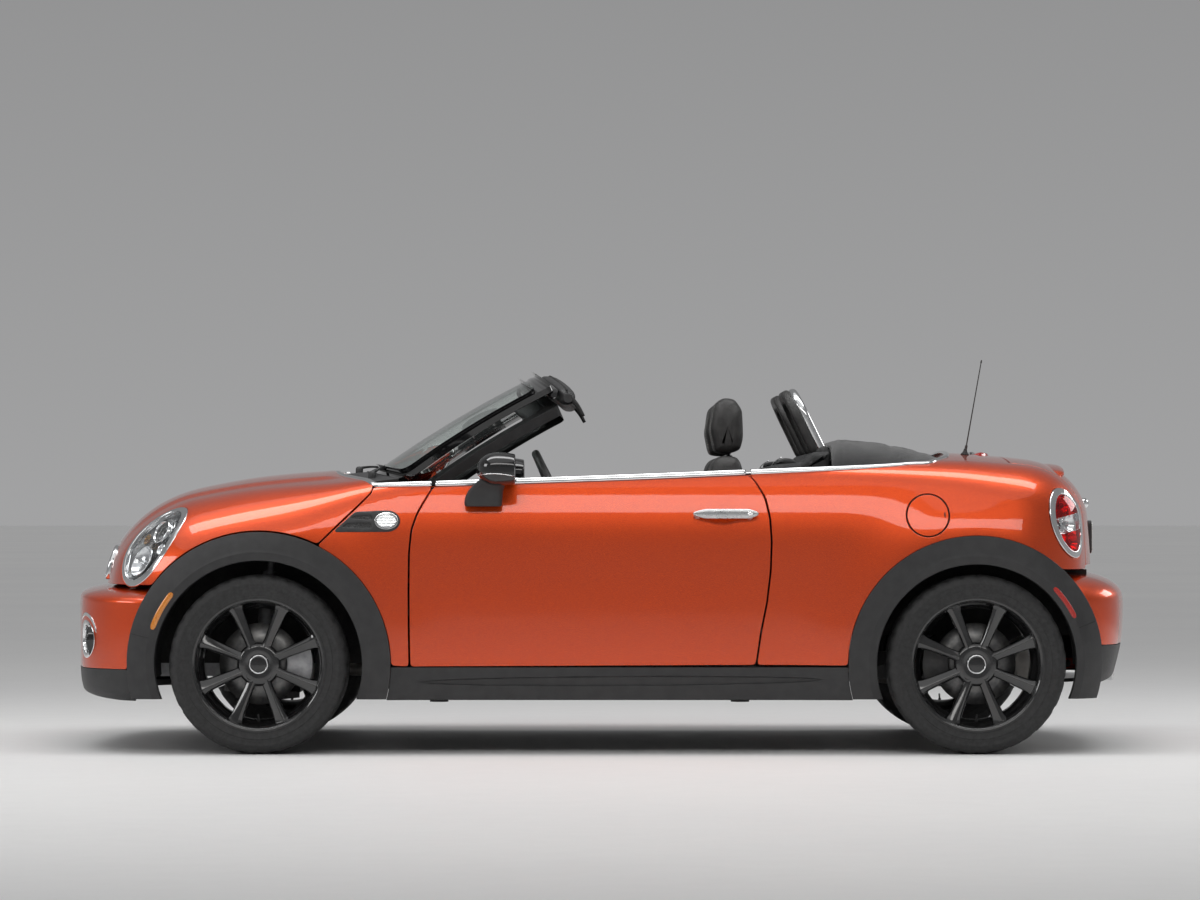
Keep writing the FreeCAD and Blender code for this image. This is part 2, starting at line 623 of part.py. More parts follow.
DOOR_TOP = [DOOR_REAR[-1]] + [(x, BELT(x)) for x in (400, 300, 200, 100, 0, -100, -200, -300, -400, -500)] + [DOOR_FRONT[0]]
DOOR_LINE = [DOOR_FRONT, [DOOR_FRONT[-1], DOOR_REAR[0]], DOOR_REAR, DOOR_TOP]


def inset_line(d):
    front = [(x + d, z) for x, z in DOOR_FRONT if z < 900]
    rear = [(x - d, z) for x, z in DOOR_REAR if z < 950]
    top = [(x, BELT(x) - 4) for x in steps(rear[-1][0] - 4, front[0][0] + 16, 10)]
    front = [(x, z + d if z < 310 else z) for x, z in front]
    rear = [(x, z + d if z < 310 else z) for x, z in rear]
    return front + rear + top


door = side_slab(steps(-710, 640, 20), 288, 0.0, -32.0).common(curve_prism_y(DOOR_LINE, -900, -600))
inner = side_slab(steps(-690, 620, 12), 292, -24.0, -700.0, top=-4.0).common(prism_y(inset_line(16), -900, -600))
dished = Part.makeSphere(62, V(420, -842, 820))
door = biggest(door.fuse(inner).cut(dished).removeSplitter())
feature("door_left", door)
feature("door_right", mirror(door))

# door handle: a bar on two feet over a round dish
bar_y = -side_y(upper, 427, 821)
h = box(315, 540, bar_y - 30, bar_y - 16, 804, 838)
h = h.makeFillet(6, [e for e in h.Edges])
for x in (330, 512):
    h = h.fuse(box(x, x + 14, bar_y - 20, bar_y + 7, 810, 832))
h = h.cut(door).removeSplitter()
h = biggest(h)
feature("handle_left", h)
feature("handle_right", mirror(h))

# mirror: an oval shell on a short arm from the door's top
m = Part.makeSphere(1.0)
mat = FreeCAD.Matrix()
mat.scale(74, 78, 60)
m = m.transformGeometry(mat)
m.translate(V(-356, -866, 978))
m = m.cut(box(-300, -200, -1000, -700, 800, 1200))
arm = Part.makeCylinder(17, 110, V(-392, -775, 884), V(0.28, -0.62, 0.62))
foot = box(-462, -335, -802, -768, 866, 900)
m = biggest(m.fuse(arm).fuse(foot).cut(door).removeSplitter())
feature("mirror_left", m)
feature("mirror_right", mirror(m))

# front wings behind the bonnet's seam, each with its hinge post
wing = side_slab(steps(-1060, -560, 12), 290, 0.0, -14.0, top=4.0)
edge = shift(dense(DOOR_FRONT), -6)
region = [(-786.8, 960), (-786.8, 897)] + shift(SCUTTLE_LINE[1:], 4, -4) + [(-1010, 560), (-1010, 304)] + [(edge[-1][0], 304)] + list(reversed(edge))[1:] + [(-640, 960)]
wing = wing.common(prism_y(region, -900, -600)).cut(cyl_y(FAX, AZ, D["arch_front_out"], -1000, 0))
post = side_slab(steps(-740, -560, 6), 286, -7.0, -692.0, top=2.0).common(prism_y([(edge[-1][0], 304)] + list(reversed(edge))[1:] + [(-612, 960), (-694, 960), (-702, 304)], -900, -600))
w = wing.fuse(post).removeSplitter()
print("wing solids", len(w.Solids))
w = biggest(w)
feature("front_wings", Part.makeCompound([w, mirror(w)]))

# the cowl between bonnet and windscreen
cx = steps(-985, -640, 12)
cy = steps(-720, 720, 20)


def top_z(x, y, drop=0.0):
    return hit(upper, (x, y, 600), (0, 0, 1), 0, 700).z - drop


outer = [[V(x, y, top_z(x, y, 9)) for y in cy] for x in cx]
inner = [[V(p.x, p.y, p.z - 10) for p in r] for r in outer]
cowl = skin_solid(outer, inner)
plan = [(x + 6, y * 0.955) for x, y in COWL] + [(-735, 690), (-830, 330), (-850, 0), (-830, -330), (-735, -690)]
plan = [(x + 6, y * 0.94) for x, y in COWL] + [(-700, 690), (-790, 420), (-822, 0), (-790, -420), (-700, -690)]
feature("cowl", biggest(cowl.common(prism_z(plan, 700, 1100))))

# rear body: both quarters and the deck as one pressing, with openings for the cockpit, boot lid and lamps
REAR_XS = [470, 560, 680, 800, 920, 1030, 1120, 1200, 1280, 1370, 1460, 1540, 1600, 1640, 1670, 1692, 1706]
REAR_ANG = both([0, 11, 22, 32, 41, 49, 55, 60, 64, 68, 73, 79, 86, 94, 103, 112])


def lid_prism(grow):
    p = prism_z([(1431 - grow, -560 - grow), (1900, -560 - grow), (1900, 560 + grow), (1431 - grow, 560 + grow)], 560, 1300)
    return p


COCKPIT = [(300, -side_y(upper, 520, BELT(520) + 3))] + [(x, -side_y(upper, x, BELT(x) + 3)) for x in (520, 600, 700, 800, 900, 1000, 1090)]
COCKPIT += [(1128, -690), (1170, -628), (1203, -540), (1226, -400), (1236, -200), (1238, 0)]
COCKPIT += [(x, -y) for x, y in reversed(COCKPIT[:-1])]
s = loft(cross_sections(upper, REAR_XS, REAR_ANG, 620, 0.0, -SK))
redge = shift(dense(DOOR_REAR), 6)
region = redge + [(507 + 8, 1100), (1900, 1100), (1900, 634), (1500, 634), (1500, 304), (537, 304)]
s = s.common(prism_y(region, -1000, 1000))
s = s.cut(cyl_y(RAX, AZ, D["arch_rear_out"], -1000, 1000))
s = s.cut(prism_z(COCKPIT, 860, 1300))
s = s.cut(lid_prism(GAP))
hole = oval(TAIL_C, TAIL_N, TAIL_UP, 126, 96, -120, 120)
s = s.cut(hole).cut(mirror(hole))
flap_cut = cyl_y(1123, 820, 76, -1000, 0)
s = s.cut(flap_cut)
jamb = side_slab(steps(500, 640, 6), 286, -6.0, -697.0, top=-6.0).common(prism_y(redge + [(534, 990)] + [(x + 16, z) for x, z in reversed(redge)], -900, -600))
s = s.fuse(jamb).fuse(mirror(jamb)).removeSplitter()
rear = s
feature("rear_body", biggest(rear))
print("rear body solids", len(rear.Solids), [round(k.Volume / 1e6, 2) for k in rear.Solids])

# fuel flap
rows = [[V(x, -side_y(upper, x, z), z) for z in steps(738, 902, 6)] for x in steps(1040, 1206, 6)]
s = skin_solid(rows, [[p + V(0, 8, 0) for p in r] for r in rows]).common(cyl_y(1123, 820, 71, -1000, 0))
feature("fuel_flap", biggest(s))

# tail lights
layer = loft(cross_sections(upper, [1470, 1520, 1560, 1600, 1630, 1655, 1680, 1700, 1712], [58, 63, 68, 73, 79, 85, 91, 98, 106], 620, 5.0, -60.0))
lamp = biggest(layer.common(oval(TAIL_C, TAIL_N, TAIL_UP, 120, 90, -120, 120)))
feature("tail_lights", Part.makeCompound([lamp, mirror(lamp)]))

# boot lid: from the deck's seam round the tail to the bumper's ledge
LY = [-565, -480, -390, -290, -190, -95, 0, 95, 190, 290, 390, 480, 565]
LT = [0, 8, 16, 24, 31, 37, 42, 47, 52, 58, 65, 73, 82, 92]
outer = [[hit(upper, (1400, y, 640), (math.sin(math.radians(t)), 0, math.cos(math.radians(t))), 20, 700) for t in LT] for y in LY]
s = skin_solid(outer, inward(upper, outer, SK + 6))
s = s.common(prism_z([(1431, -560), (1900, -560), (1900, 560), (1431, 560)], 645, 1300))
lip = prism_y([(1566, 1004), (1612, 1006), (1646, 1000), (1652, 990), (1640, 968), (1600, 985)], -490, 490)
s = s.fuse(lip).removeSplitter()
s = biggest(s)

# bright handle bar across the lid above the plate
hx = [(y, hit(upper, (1400, y, 862), (1, 0, 0), 20, 700).x) for y in (-152, -130, -90, -45, 0, 45, 90, 130, 152)]
bar = Part.makePolygon([V(x - 8, y, 0) for y, x in hx] + [V(x + 24, y, 0) for y, x in reversed(hx)] + [V(hx[0][1] - 8, hx[0][0], 0)])
bar = Part.Face(bar).extrude(V(0, 0, 40))
bar.translate(V(0, 0, 842))
s = biggest(s.fuse(bar).removeSplitter())
print("boot handle", max(x for y, x in hx) + 24)
lid_shape = s
for y in (-140, 140):
    s = s.cut(Part.makeCylinder(3.5, 200, V(1650, y, 742), V(1, 0, 0)))
feature("boot_lid", s)
lid_clear = skin_solid([[p + (p - V(1400, p.y, 640)).normalize() * 120 for p in r] for r in outer], inward(upper, outer, SK + 6 + 10))
lid_clear = lid_clear.common(prism_z([(1400, -572), (1990, -572), (1990, 572), (1400, 572)], 630, 1300))

# number-plate holder on the lid's rear face, with its two fixing holes
px = hit(upper, (1400, 255, 742), (1, 0, 0), 20, 700).x
px0 = hit(upper, (1400, 0, 742), (1, 0, 0), 20, 700).x
hold = box(px - 4, px0 + 7, -262, 262, 684, 800)
hold = hold.cut(lid_shape)
for y in (-140, 140):
    hold = hold.cut(Part.makeCylinder(3.5, 200, V(px - 60, y, 742), V(1, 0, 0)))
feature("plate_holder", biggest(hold))
print("plate holder face x", px0 + 7, "thickness there", px0 + 7 - px)

# ---------------------------------------------------------------- bumpers, arch trims and lower cladding


PHI = [-87, -80, -73, -66, -59, -52, -44, -35, -24, -12, 0, 12, 24, 35, 44, 52, 59, 66, 73, 80, 87]
s = loft(plan_sections(bumper_f, -1450, -1, [172, 184, 205, 235, 275, 325, 380, 440, 490, 525, 548, 562, 572, 578], PHI, 12))
s = s.cut(cyl_y(FAX, AZ, D["arch_front_out"], -1000, 1000))
mouth = prism_x([(-330, 312), (-400, 336), (-430, 408), (-405, 434), (405, 434), (430, 408), (400, 336), (330, 312)], -1950, -1700)
front = s.common(box(-2000, -1400, -1000, 1000, 290, 700)).cut(mouth)
for y in (-606, 606):
    front = front.cut(Part.makeCylinder(66, 300, V(-1900, y, 390), V(1, 0, 0)))
tow_x = hit(bumper_f, (-1450, 330, 478), (-1, 0, 0), 20, 600).x
boss = Part.makeCylinder(20, 58, V(tow_x - 2, 330, 478), V(1, 0, 0))
front = biggest(front).fuse(boss).cut(Part.makeCylinder(D["tow_rad"], D["tow_deep"], V(tow_x - 2, 330, 478), V(1, 0, 0))).removeSplitter()
feature("front_bumper", biggest(front))
print("front towing face x", tow_x - 2)
front_lip = biggest(s.common(box(-2000, -1400, -1000, 1000, 160, 288)))

PHI_R = [-86, -79, -72, -65, -58, -51, -43, -34, -23, -11, 0, 11, 23, 34, 43, 51, 58, 65, 72, 79, 86]
s = loft(plan_sections(bumper_r, 1440, 1, [212, 222, 240, 265, 310, 360, 420, 480, 530, 570, 600, 615, 623], PHI_R, 12))
s = s.cut(cyl_y(RAX, AZ, D["arch_rear_out"], -1000, 1000))
rear_b = s.common(box(1400, 2000, -1000, 1000, 372, 700))
towr_x = hit(bumper_r, (1440, 330, 478), (1, 0, 0), 20, 600).x
boss = Part.makeCylinder(20, 58, V(towr_x + 2, 330, 478), V(-1, 0, 0))
rear_b = biggest(rear_b).fuse(boss).cut(Part.makeCylinder(D["tow_rad"], D["tow_deep"], V(towr_x + 2, 330, 478), V(-1, 0, 0))).removeSplitter()
feature("rear_bumper", biggest(rear_b))
print("rear towing face x", towr_x + 2)
diffuser = s.common(box(1400, 2000, -1000, 1000, 200, 370))
for y in (-75, 75):
    diffuser = diffuser.cut(Part.makeCylinder(46, 400, V(1600, y, 262), V(1, 0, 0)))
diffuser = biggest(diffuser)

FRONT_RIM = (Spl([(-32, 740), (-20, 770), (0, 790), (20, 806), (40, 808), (60, 813), (90, 824), (120, 836), (150, 838), (180, 828), (200, 800), (212, 780)]),
             Spl([(-32, 770), (-20, 792), (0, 826), (20, 836), (40, 839), (60, 840), (90, 841), (120, 841), (150, 841), (180, 832), (200, 808), (212, 790)]))
REAR_RIM = (Spl([(-32, 640), (-20, 680), (0, 724), (20, 768), (40, 790), (60, 818), (90, 834), (120, 840), (150, 841), (180, 832), (200, 802), (212, 785)]),
            Spl([(-32, 735), (-20, 765), (0, 798), (20, 820), (40, 833), (60, 838), (90, 841), (120, 841), (150, 841), (180, 832), (200, 808), (212, 790)]))


def arch(cx, r_in, r_out, rim, sgn):
    """The trim round a wheel arch: a band from the inner lip to the outer edge, 30 thick, t counted from its end away from the doors."""
    rows = []
    for t in steps(-32, 212, 30):
        yo, yi = rim[0](t), rim[1](t)
        row = []
        for k in (0.0, 0.08, 0.2, 0.35, 0.55, 0.78, 1.0):
            r = r_in + (r_out - 0.5 - r_in) * k
            row.append(V(cx + sgn * r * math.cos(math.radians(t)), -(yi + (yo - yi) * k ** 1.6), AZ + r * math.sin(math.radians(t))))
        rows.append(row)
    a = skin_solid(rows, [[p + V(0, 30, 0) for p in r] for r in rows])
    return biggest(a.common(box(-2500, 2500, -1000, 0, 186, 900)))


af = arch(FAX, D["arch_front_in"], D["arch_front_out"], FRONT_RIM, -1)
ar = arch(RAX, D["arch_rear_in"], D["arch_rear_out"], REAR_RIM, 1)
feature("arch_trims", Part.makeCompound([af, mirror(af), ar, mirror(ar)]))

rows = [[V(x, -side_y(upper, x, z) - 5, z) for z in (180, 196, 215, 240, 265, 290, 302)] for x in steps(-820, 1000, 18)]
sill = skin_solid(rows, [[V(p.x, -757, p.z) for p in r] for r in rows])
sill = sill.cut(cyl_y(FAX, AZ, D["arch_front_out"] + 0.5, -1000, 0)).cut(cyl_y(RAX, AZ, D["arch_rear_out"] + 0.5, -1000, 0))
sill = sill.common(prism_y([(-830, 184), (1000, 203), (1000, 295), (-830, 295)], -900, -700))
sill = biggest(sill)
feature("lower_cladding", Part.makeCompound([sill, mirror(sill), front_lip, diffuser]))

# fog lamps in the front bumper
fogs = []
for y in (-606, 606):
    x = hit(bumper_f, (-1450, y, 390), (-1, 0, 0), 20, 600).x
    fogs.append(Part.makeCylinder(60, 70, V(x + 2, y, 390), V(1, 0, 0)))
feature("fog_lights", Part.makeCompound(fogs))

# grilles: the upper one in the bonnet's cut-out, the lower one behind the bumper's mouth
yg = steps(-420, 420, 12)
zg = steps(560, 735, 6)
outer = [[hit(upper, (-1400, y, z), (-1, 0, 0), 20, 600) - V(3.0, 0, 0) for z in zg] for y in yg]
inner = [[p + V(24, 0, 0) for p in r] for r in outer]
g = skin_solid(outer, inner).common(prism_x([(-388, 590), (-388, 652), (-366, 696), (-326, 714), (326, 714), (366, 696), (388, 652), (388, 590)], -1950, -1650))
low = box(-1790, -1778, -400, 400, 316, 430)
feature("grille", Part.makeCompound([biggest(g), low]))

# ---------------------------------------------------------------- windscreen


def screen(u, v, off=0.0):
    """A point of the windscreen's outer face: u across from -1 to 1, v up from 0 to 1."""
    def at(u, v):
        w = 688 + (560 - 688) * v
        x = (-819 + 151 * u * u) * (1 - v) + (-244 + 81 * u * u) * v
        z = (967 - 33 * u * u) * (1 - v) + (1313 - 63 * u * u) * v
        bow = 14 * 4 * v * (1 - v)
        return V(x - 0.515 * bow, w * u, z + 0.857 * bow)
    p = at(u, v)
    if not off:
        return p
    h = 1e-3
    n = (at(u + h, v) - at(u - h, v)).cross(at(u, v + h) - at(u, v - h)).normalize()
    if n.z < 0:
        n = n * -1
    return p + n * off


def screen_solid(u0, u1, v0, v1, o0, o1, nu=16, nv=8):
    a = [[screen(u, v, o0) for v in steps(v0, v1, nv)] for u in steps(u0, u1, nu)]
    b = [[screen(u, v, o1) for v in steps(v0, v1, nv)] for u in steps(u0, u1, nu)]
    return skin_solid(a, b)


frame_s = screen_solid(-1.0, 1.0, -0.02, 1.0, 4.0, -52.0)
frame_s = frame_s.cut(screen_solid(-0.915, 0.915, 0.035, 0.93, 40, -140))
frame_s = frame_s.cut(box(-900, -300, -800, 800, 700, 925))
feature("windscreen_frame", biggest(frame_s))
feature("windscreen", screen_solid(-0.9145, 0.9145, 0.0355, 0.9295, 0.0, -D["glass_thick"]))

# ---------------------------------------------------------------- floor, bulkheads, wheelhouses

b = body("floor_pan")
sec = [(Q("cabin_half", -1, -108), 200), (Q("cabin_half", -1, -108), 292), (Q("cabin_half", -1, -12), 292), (Q("cabin_half", -1, -12), Q("floor_z", 1, 22)),
       (-150, Q("floor_z", 1, 22)), (-128, 396), (128, 396), (150, Q("floor_z", 1, 22)), (Q("cabin_half", 1, 12), Q("floor_z", 1, 22)), (Q("cabin_half", 1, 12), 292),
       (Q("cabin_half", 1, 108), 292), (Q("cabin_half", 1, 108), 200), (Q("cabin_half", 1, 108), Q("floor_z")), (122, Q("floor_z")), (108, 380), (-108, 380), (-122, Q("floor_z")), (Q("cabin_half", -1, -108), Q("floor_z"))]
sec = [q for i, q in enumerate(sec) if i not in (0, 11)]
sk = sketch(b, "YZ_Plane", sec, "floor_section")
doc.recompute()
pad(b, sk, 1275, "floor_pad", mid=True, offset=-77.5)
sk = circles(b, "XY_Plane", [(-560, -700, Q("jack_rad")), (-560, 700, Q("jack_rad")), (480, -700, Q("jack_rad")), (480, 700, Q("jack_rad"))], "jack_pads")
doc.recompute()
sk.AttachmentOffset = FreeCAD.Placement(V(0, 0, 176), FreeCAD.Rotation())
pad(b, sk, 20, "jack_pad_pad", mid=False)
place(b, 0, 0, 0)

SKEW = (0.07, math.tan(math.radians(14)))   # the kingpin leans back by 0.07 and in by tan 14 for each unit of height
KP = V(FAX, -(720 - AZ * SKEW[1]), AZ)       # where it crosses the axle's height, on the left
KD = V(SKEW[0], SKEW[1], 1).normalize()

bay = prism_z([(-1640, -450), (-740, -450), (-740, 450), (-1640, 450)], 300, 700)
bay = bay.cut(prism_z([(-1624, -434), (-756, -434), (-756, 434), (-1624, 434)], 200, 800))
bay = bay.fuse(box(-756, -740, -684, 684, 215, 880))
for sgn in (-1, 1):
    y0, y1 = (-770, -445) if sgn < 0 else (445, 770)
    liner = cyl_y(FAX, AZ, 380, y0, y1).cut(cyl_y(FAX, AZ, 372, y0 - 1, y1 + 1)).common(box(-1700, -700, -900, 900, 260, 900))
    kp, kd = (KP, KD) if sgn < 0 else (V(KP.x, -KP.y, KP.z), V(KD.x, -KD.y, KD.z))
    liner = liner.cut(Part.makeCylinder(48, 400, kp + kd * 200, kd))
    top = kp + kd * 418
    tower = Part.makeCylinder(74, 12, top, V(0, 0, 1)).fuse(box(top.x - 74, top.x + 74, min(sgn * 445, top.y), max(sgn * 445, top.y), top.z, top.z + 12))
    wall = box(top.x - 74, top.x + 74, min(sgn * 438, sgn * 450), max(sgn * 438, sgn * 450), 650, top.z + 12)
    bay = bay.fuse(liner).fuse(tower).fuse(wall)
feature("engine_bay", biggest(bay.removeSplitter()))
print("strut top", top)

rf = box(560, 576, -684, 684, 192, 922)
rf = rf.fuse(box(560, 1700, -520, 520, 400, 414))
for sgn in (-1, 1):
    a, c = (-520, -508) if sgn < 0 else (508, 520)
    rf = rf.fuse(box(560, 1700, a, c, 400, 912))
    y0, y1 = (-770, -510) if sgn < 0 else (510, 770)
    liner = cyl_y(RAX, AZ, 372, y0, y1).cut(cyl_y(RAX, AZ, 362, y0 - 1, y1 + 1)).common(box(700, 1800, -900, 900, 300, 900))
    rf = rf.fuse(liner)
rf = rf.fuse(box(1686, 1700, -520, 520, 400, 636))
rf = rf.fuse(box(560, 1236, -520, 520, 908, 922))
feature("rear_floor", biggest(rf.removeSplitter()))

# ---------------------------------------------------------------- what stands in the cabin

b = body("dashboard")
sk = sketch(b, "XZ_Plane", [(-722, 905), (-650, 922), (-520, 912), (-420, 872), (-372, 800), (-378, 710), (-440, 640), (-540, 600), (-722, 600)], "dash_section")
pad(b, sk, Q("dash_half", 2), "dash_pad")
sk = sketch(b, "XZ_Plane", [(-560, 880), (-420, 930), (-330, 905), (-318, 870), (-360, 790), (-520, 780)], "binnacle_section")
doc.recompute()
pad(b, sk, 300, "binnacle_pad", mid=True, offset=Q("seat_y"))
place(b, 0, 0, 0)

b = body("centre_console")
sk = sketch(b, "XZ_Plane", [(-470, 402), (-470, 624), (-428, 634), (-330, 520), (-250, 485), (60, 480), (330, 470), (420, 470), (440, 402)], "console_section")
pad(b, sk, 196, "console_pad")
sk = circles(b, "XY_Plane", [(-190, 0, 9)], "lever_section")
doc.recompute()
sk.AttachmentOffset = FreeCAD.Placement(V(0, 0, 470), FreeCAD.Rotation())
pad(b, sk, 130, "lever_pad", mid=False)
place(b, 0, 0, 0)

for label, sgn in (("driver_seat", -1), ("passenger_seat", 1)):
    b = body(label)
    sk = sketch(b, "XZ_Plane", [(-118, 300), (-128, 400), (-60, 440), (200, 418), (330, 405), (430, 420), (430, 260), (380, 213), (-60, 213)], label + "_cushion")
    pad(b, sk, Q("seat_wide"), label + "_cushion_pad")
    sk = sketch(b, "XZ_Plane", [(305, 400), (335, 560), (345, 700), (372, 860), (392, 1000), (416, 1028), (478, 1026), (496, 985), (470, 700), (448, 400)], label + "_back")
    doc.recompute()
    pad(b, sk, Q("seat_wide", 1, -10), label + "_back_pad")
    sk = sketch(b, "XZ_Plane", [(398, 1030), (386, 1120), (402, 1215), (430, 1234), (470, 1228), (498, 1190), (500, 1080), (478, 1026), (440, 1010)], label + "_rest")
    doc.recompute()
    pad(b, sk, 270, label + "_rest_pad")
    sk = sketch(b, "YZ_Plane", [(-sgn * 205, 190), (-sgn * 228, 399), (-sgn * 260, 399), (-sgn * 260, 190)], label + "_tunnel")
    doc.recompute()
    pocket(b, sk, 1200, label + "_tunnel_cut")
    place(b, 0, Q("seat_y", sgn), 0)

# steering wheel about the column's axis, which leans back 25 degrees from level
rim = doc.addObject("Part::Torus", "grip_ring")
rim.setExpression("Radius1", "dims.wheel_ring_rad")
rim.setExpression("Radius2", "dims.wheel_grip_rad")
hub = doc.addObject("Part::Cylinder", "grip_hub")
hub.Radius, hub.Height = 66, 46
hub.Placement = FreeCAD.Placement(V(0, 0, -52), FreeCAD.Rotation())
arms = []
for i, ang in enumerate((8, 172, 270)):
    a = doc.addObject("Part::Box", "grip_arm%d" % i)
    a.Length, a.Width, a.Height = 122, 46, 14
    a.Placement = FreeCAD.Placement(V(0, 0, 0), FreeCAD.Rotation(V(0, 0, 1), ang)).multiply(FreeCAD.Placement(V(50, -23, -26), FreeCAD.Rotation(V(0, 1, 0), -9)))
    arms.append(a)
wheel = doc.addObject("Part::MultiFuse", "steering_wheel")
wheel.Shapes = [rim, hub] + arms
keep(wheel, "steering_wheel")
COL = V(math.cos(math.radians(25)), 0, math.sin(math.radians(25)))
# the wheel's own Y points up along its plane
rot = FreeCAD.Rotation(V(0, -1, 0), V(-COL.z, 0, COL.x), COL, "ZXY")
place(wheel, -159, Q("seat_y", -1), 882, rot)
col_end = V(-159, -360, 882) - COL * 64
column = Part.makeCylinder(34, 190, col_end, COL * -1)
doc.recompute()
feature("steering_column", biggest(column.cut(doc.getObject("dashboard").Shape if doc.getObject("dashboard") else box(0, 1, 0, 1, 0, 1))))

# roll hoops on their cross-beam behind the seats
HOOP_LEAN = V(-103, 0, 212).normalize()
beam = prism_y([(578, 926), (578, 985), (690, 1004), (735, 1042), (797, 1042), (797, 926)], -620, 620)
hoops = beam
for sgn in (-1, 1):
    yc = sgn * D["hoop_y"]
    foot0, foot1 = V(803 - 14, yc - D["hoop_half"], 1063 - 50), V(803 - 14, yc + D["hoop_half"], 1063 - 50)
    up0, up1 = foot0 + HOOP_LEAN * 262, foot1 + HOOP_LEAN * 262
    t = tube([foot0, up0, up1, foot1], D["hoop_rad"], 92)
    hoops = hoops.fuse(t)
    for f0 in (foot0, foot1):
        hoops = hoops.fuse(Part.makeCylinder(30, 52, f0, HOOP_LEAN))
feature("roll_hoops", biggest(hoops.removeSplitter()))

# the folded soft top: a crowned bundle between hoops and deck
TOPP = Spl([(800, 1062), (820, 1080), (882, 1086), (950, 1082), (1020, 1072), (1131, 1045), (1190, 1022), (1224, 1000)])
xs = [802, 812, 830, 860, 900, 960, 1020, 1080, 1131, 1170, 1200, 1218, 1226]
ys = [-680, -671, -655, -627, -575, -490, -370, -200, 0, 200, 370, 490, 575, 627, 655, 671, 680]


def fold_z(x, y):
    e = max(0.0, 1 - (abs(y) / 682.0) ** 8) ** 0.5
    r = min(1.0, max(0.0, (x - 800) / 34.0))
    q = min(1.0, max(0.0, (1230 - x) / 40.0))
    e *= (1 - (1 - r) ** 2.2) ** 0.45 * (1 - (1 - q) ** 2.2) ** 0.45
    return 940 + (TOPP(x) - 940) * e


corner = Spl([(-682, 118), (-610, 42), (-450, 6), (0, 0), (450, 6), (610, 42), (682, 118)])
outer = [[V(x - corner(y) * (x - 800) / 430.0, y, fold_z(x, y)) for y in ys] for x in xs]
inner = [[V(p.x, p.y, 926) for p in r] for r in outer]
feature("soft_top", skin_solid(outer, inner))

# ---------------------------------------------------------------- engine, exhaust, suspension

b = body("engine_block")
sk = sketch(b, "XZ_Plane", [(-1560, 250), (-1560, 760), (Q("engine_long", 1, -1560), 760), (Q("engine_long", 1, -1560), 250)], "engine_section")
pad(b, sk, Q("engine_wide"), "engine_pad")
place(b, 0, 0, 0)

ex = tube([(-1070, 60, 262), (-900, 60, 262), (-760, 0, 262), (900, 0, 250), (1130, 60, 222), (1420, 60, 222), (1500, 60, 262), (1560, 60, 262)], D["pipe_rad"], [90, 90, 600, 400, 120, 120])
can = Part.makeCylinder(D["muffler_rad"], 520, V(1560, -260, 290), V(0, 1, 0))
ex = ex.fuse(can)
for y in (-75, 75):
    tip = Part.makeCylinder(37, 215, V(1630, y, 262), V(1, 0, 0))
    ex = ex.fuse(tip)
for y in (-75, 75):
    ex = ex.cut(Part.makeCylinder(33, 150, V(1715, y, 262), V(1, 0, 0)))
feature("exhaust", biggest(ex.removeSplitter()))

sub = prism_z([(-1300, -400), (-1120, -400), (-1060, -430), (-1060, 430), (-1120, 400), (-1300, 400), (-1340, 300), (-1340, -300)], 196, 238)
for sgn in (-1, 1):
    ball = KP + KD * ((196 - KP.z) / KD.z)
    ball = V(ball.x, ball.y if sgn < 0 else -ball.y, 196)
    arm = prism_z([(-1290, sgn * 398), (ball.x - 24, ball.y), (ball.x - 12, ball.y + sgn * 22), (ball.x + 12, ball.y + sgn * 22), (ball.x + 24, ball.y), (-1064, sgn * 398)], 176, 200)
    sub = sub.fuse(arm)
feature("front_subframe", biggest(sub.removeSplitter()))
print("ball joint", ball)


def caliper(xw, yw, sgn, ahead):
    """A brake caliper round the disc of the wheel centred at (xw, yw): sgn -1 on the left, ahead +1 or -1 along X."""
    c = Part.makeCylinder(182, 90, V(xw, yw - sgn * 66, AZ), V(0, sgn, 0)).cut(Part.makeCylinder(96, 92, V(xw, yw - sgn * 67, AZ), V(0, sgn, 0)))
    w = prism_y([(xw, AZ), (xw + ahead * 220, AZ + 120), (xw + ahead * 220, AZ - 120)], yw - 90, yw + 90)
    c = c.common(w)
    slot = Part.makeCylinder(147, 34, V(xw, yw + sgn * 8, AZ), V(0, -sgn, 0))
    return c.cut(slot)


for label, sgn in (("knuckle_left", -1), ("knuckle_right", 1)):
    kp = KP if sgn < 0 else V(KP.x, -KP.y, KP.z)
    kd = KD if sgn < 0 else V(KD.x, -KD.y, KD.z)
    yw = sgn * TH
    k = Part.makeCylinder(D["stub_rad"], 132, V(FAX, yw - sgn * 72, AZ), V(0, sgn, 0))
    lo = kp + kd * ((210 - kp.z) / kd.z)
    k = k.fuse(Part.makeCylinder(20, (460 - 210) / kd.z, lo, kd))
    k = k.fuse(Part.makeCylinder(58, 34, V(FAX, yw - sgn * 74, AZ), V(0, sgn, 0)))
    k = k.fuse(box(FAX - 30, FAX + 30, min(sgn * 628, sgn * 690), max(sgn * 628, sgn * 690), AZ - 60, AZ + 60))
    strut0 = kp + kd * 92
    k = k.fuse(Part.makeCylinder(27, 230, strut0, kd)).fuse(Part.makeCylinder(12, 418 - 92 - 10, strut0, kd))
    k = k.fuse(caliper(FAX, yw, sgn, 1)).fuse(box(FAX + 40, FAX + 130, min(yw - sgn * 66, yw - sgn * 48), max(yw - sgn * 66, yw - sgn * 48), AZ - 22, AZ + 22))
    k = biggest(k.removeSplitter())
    feature(label, k)

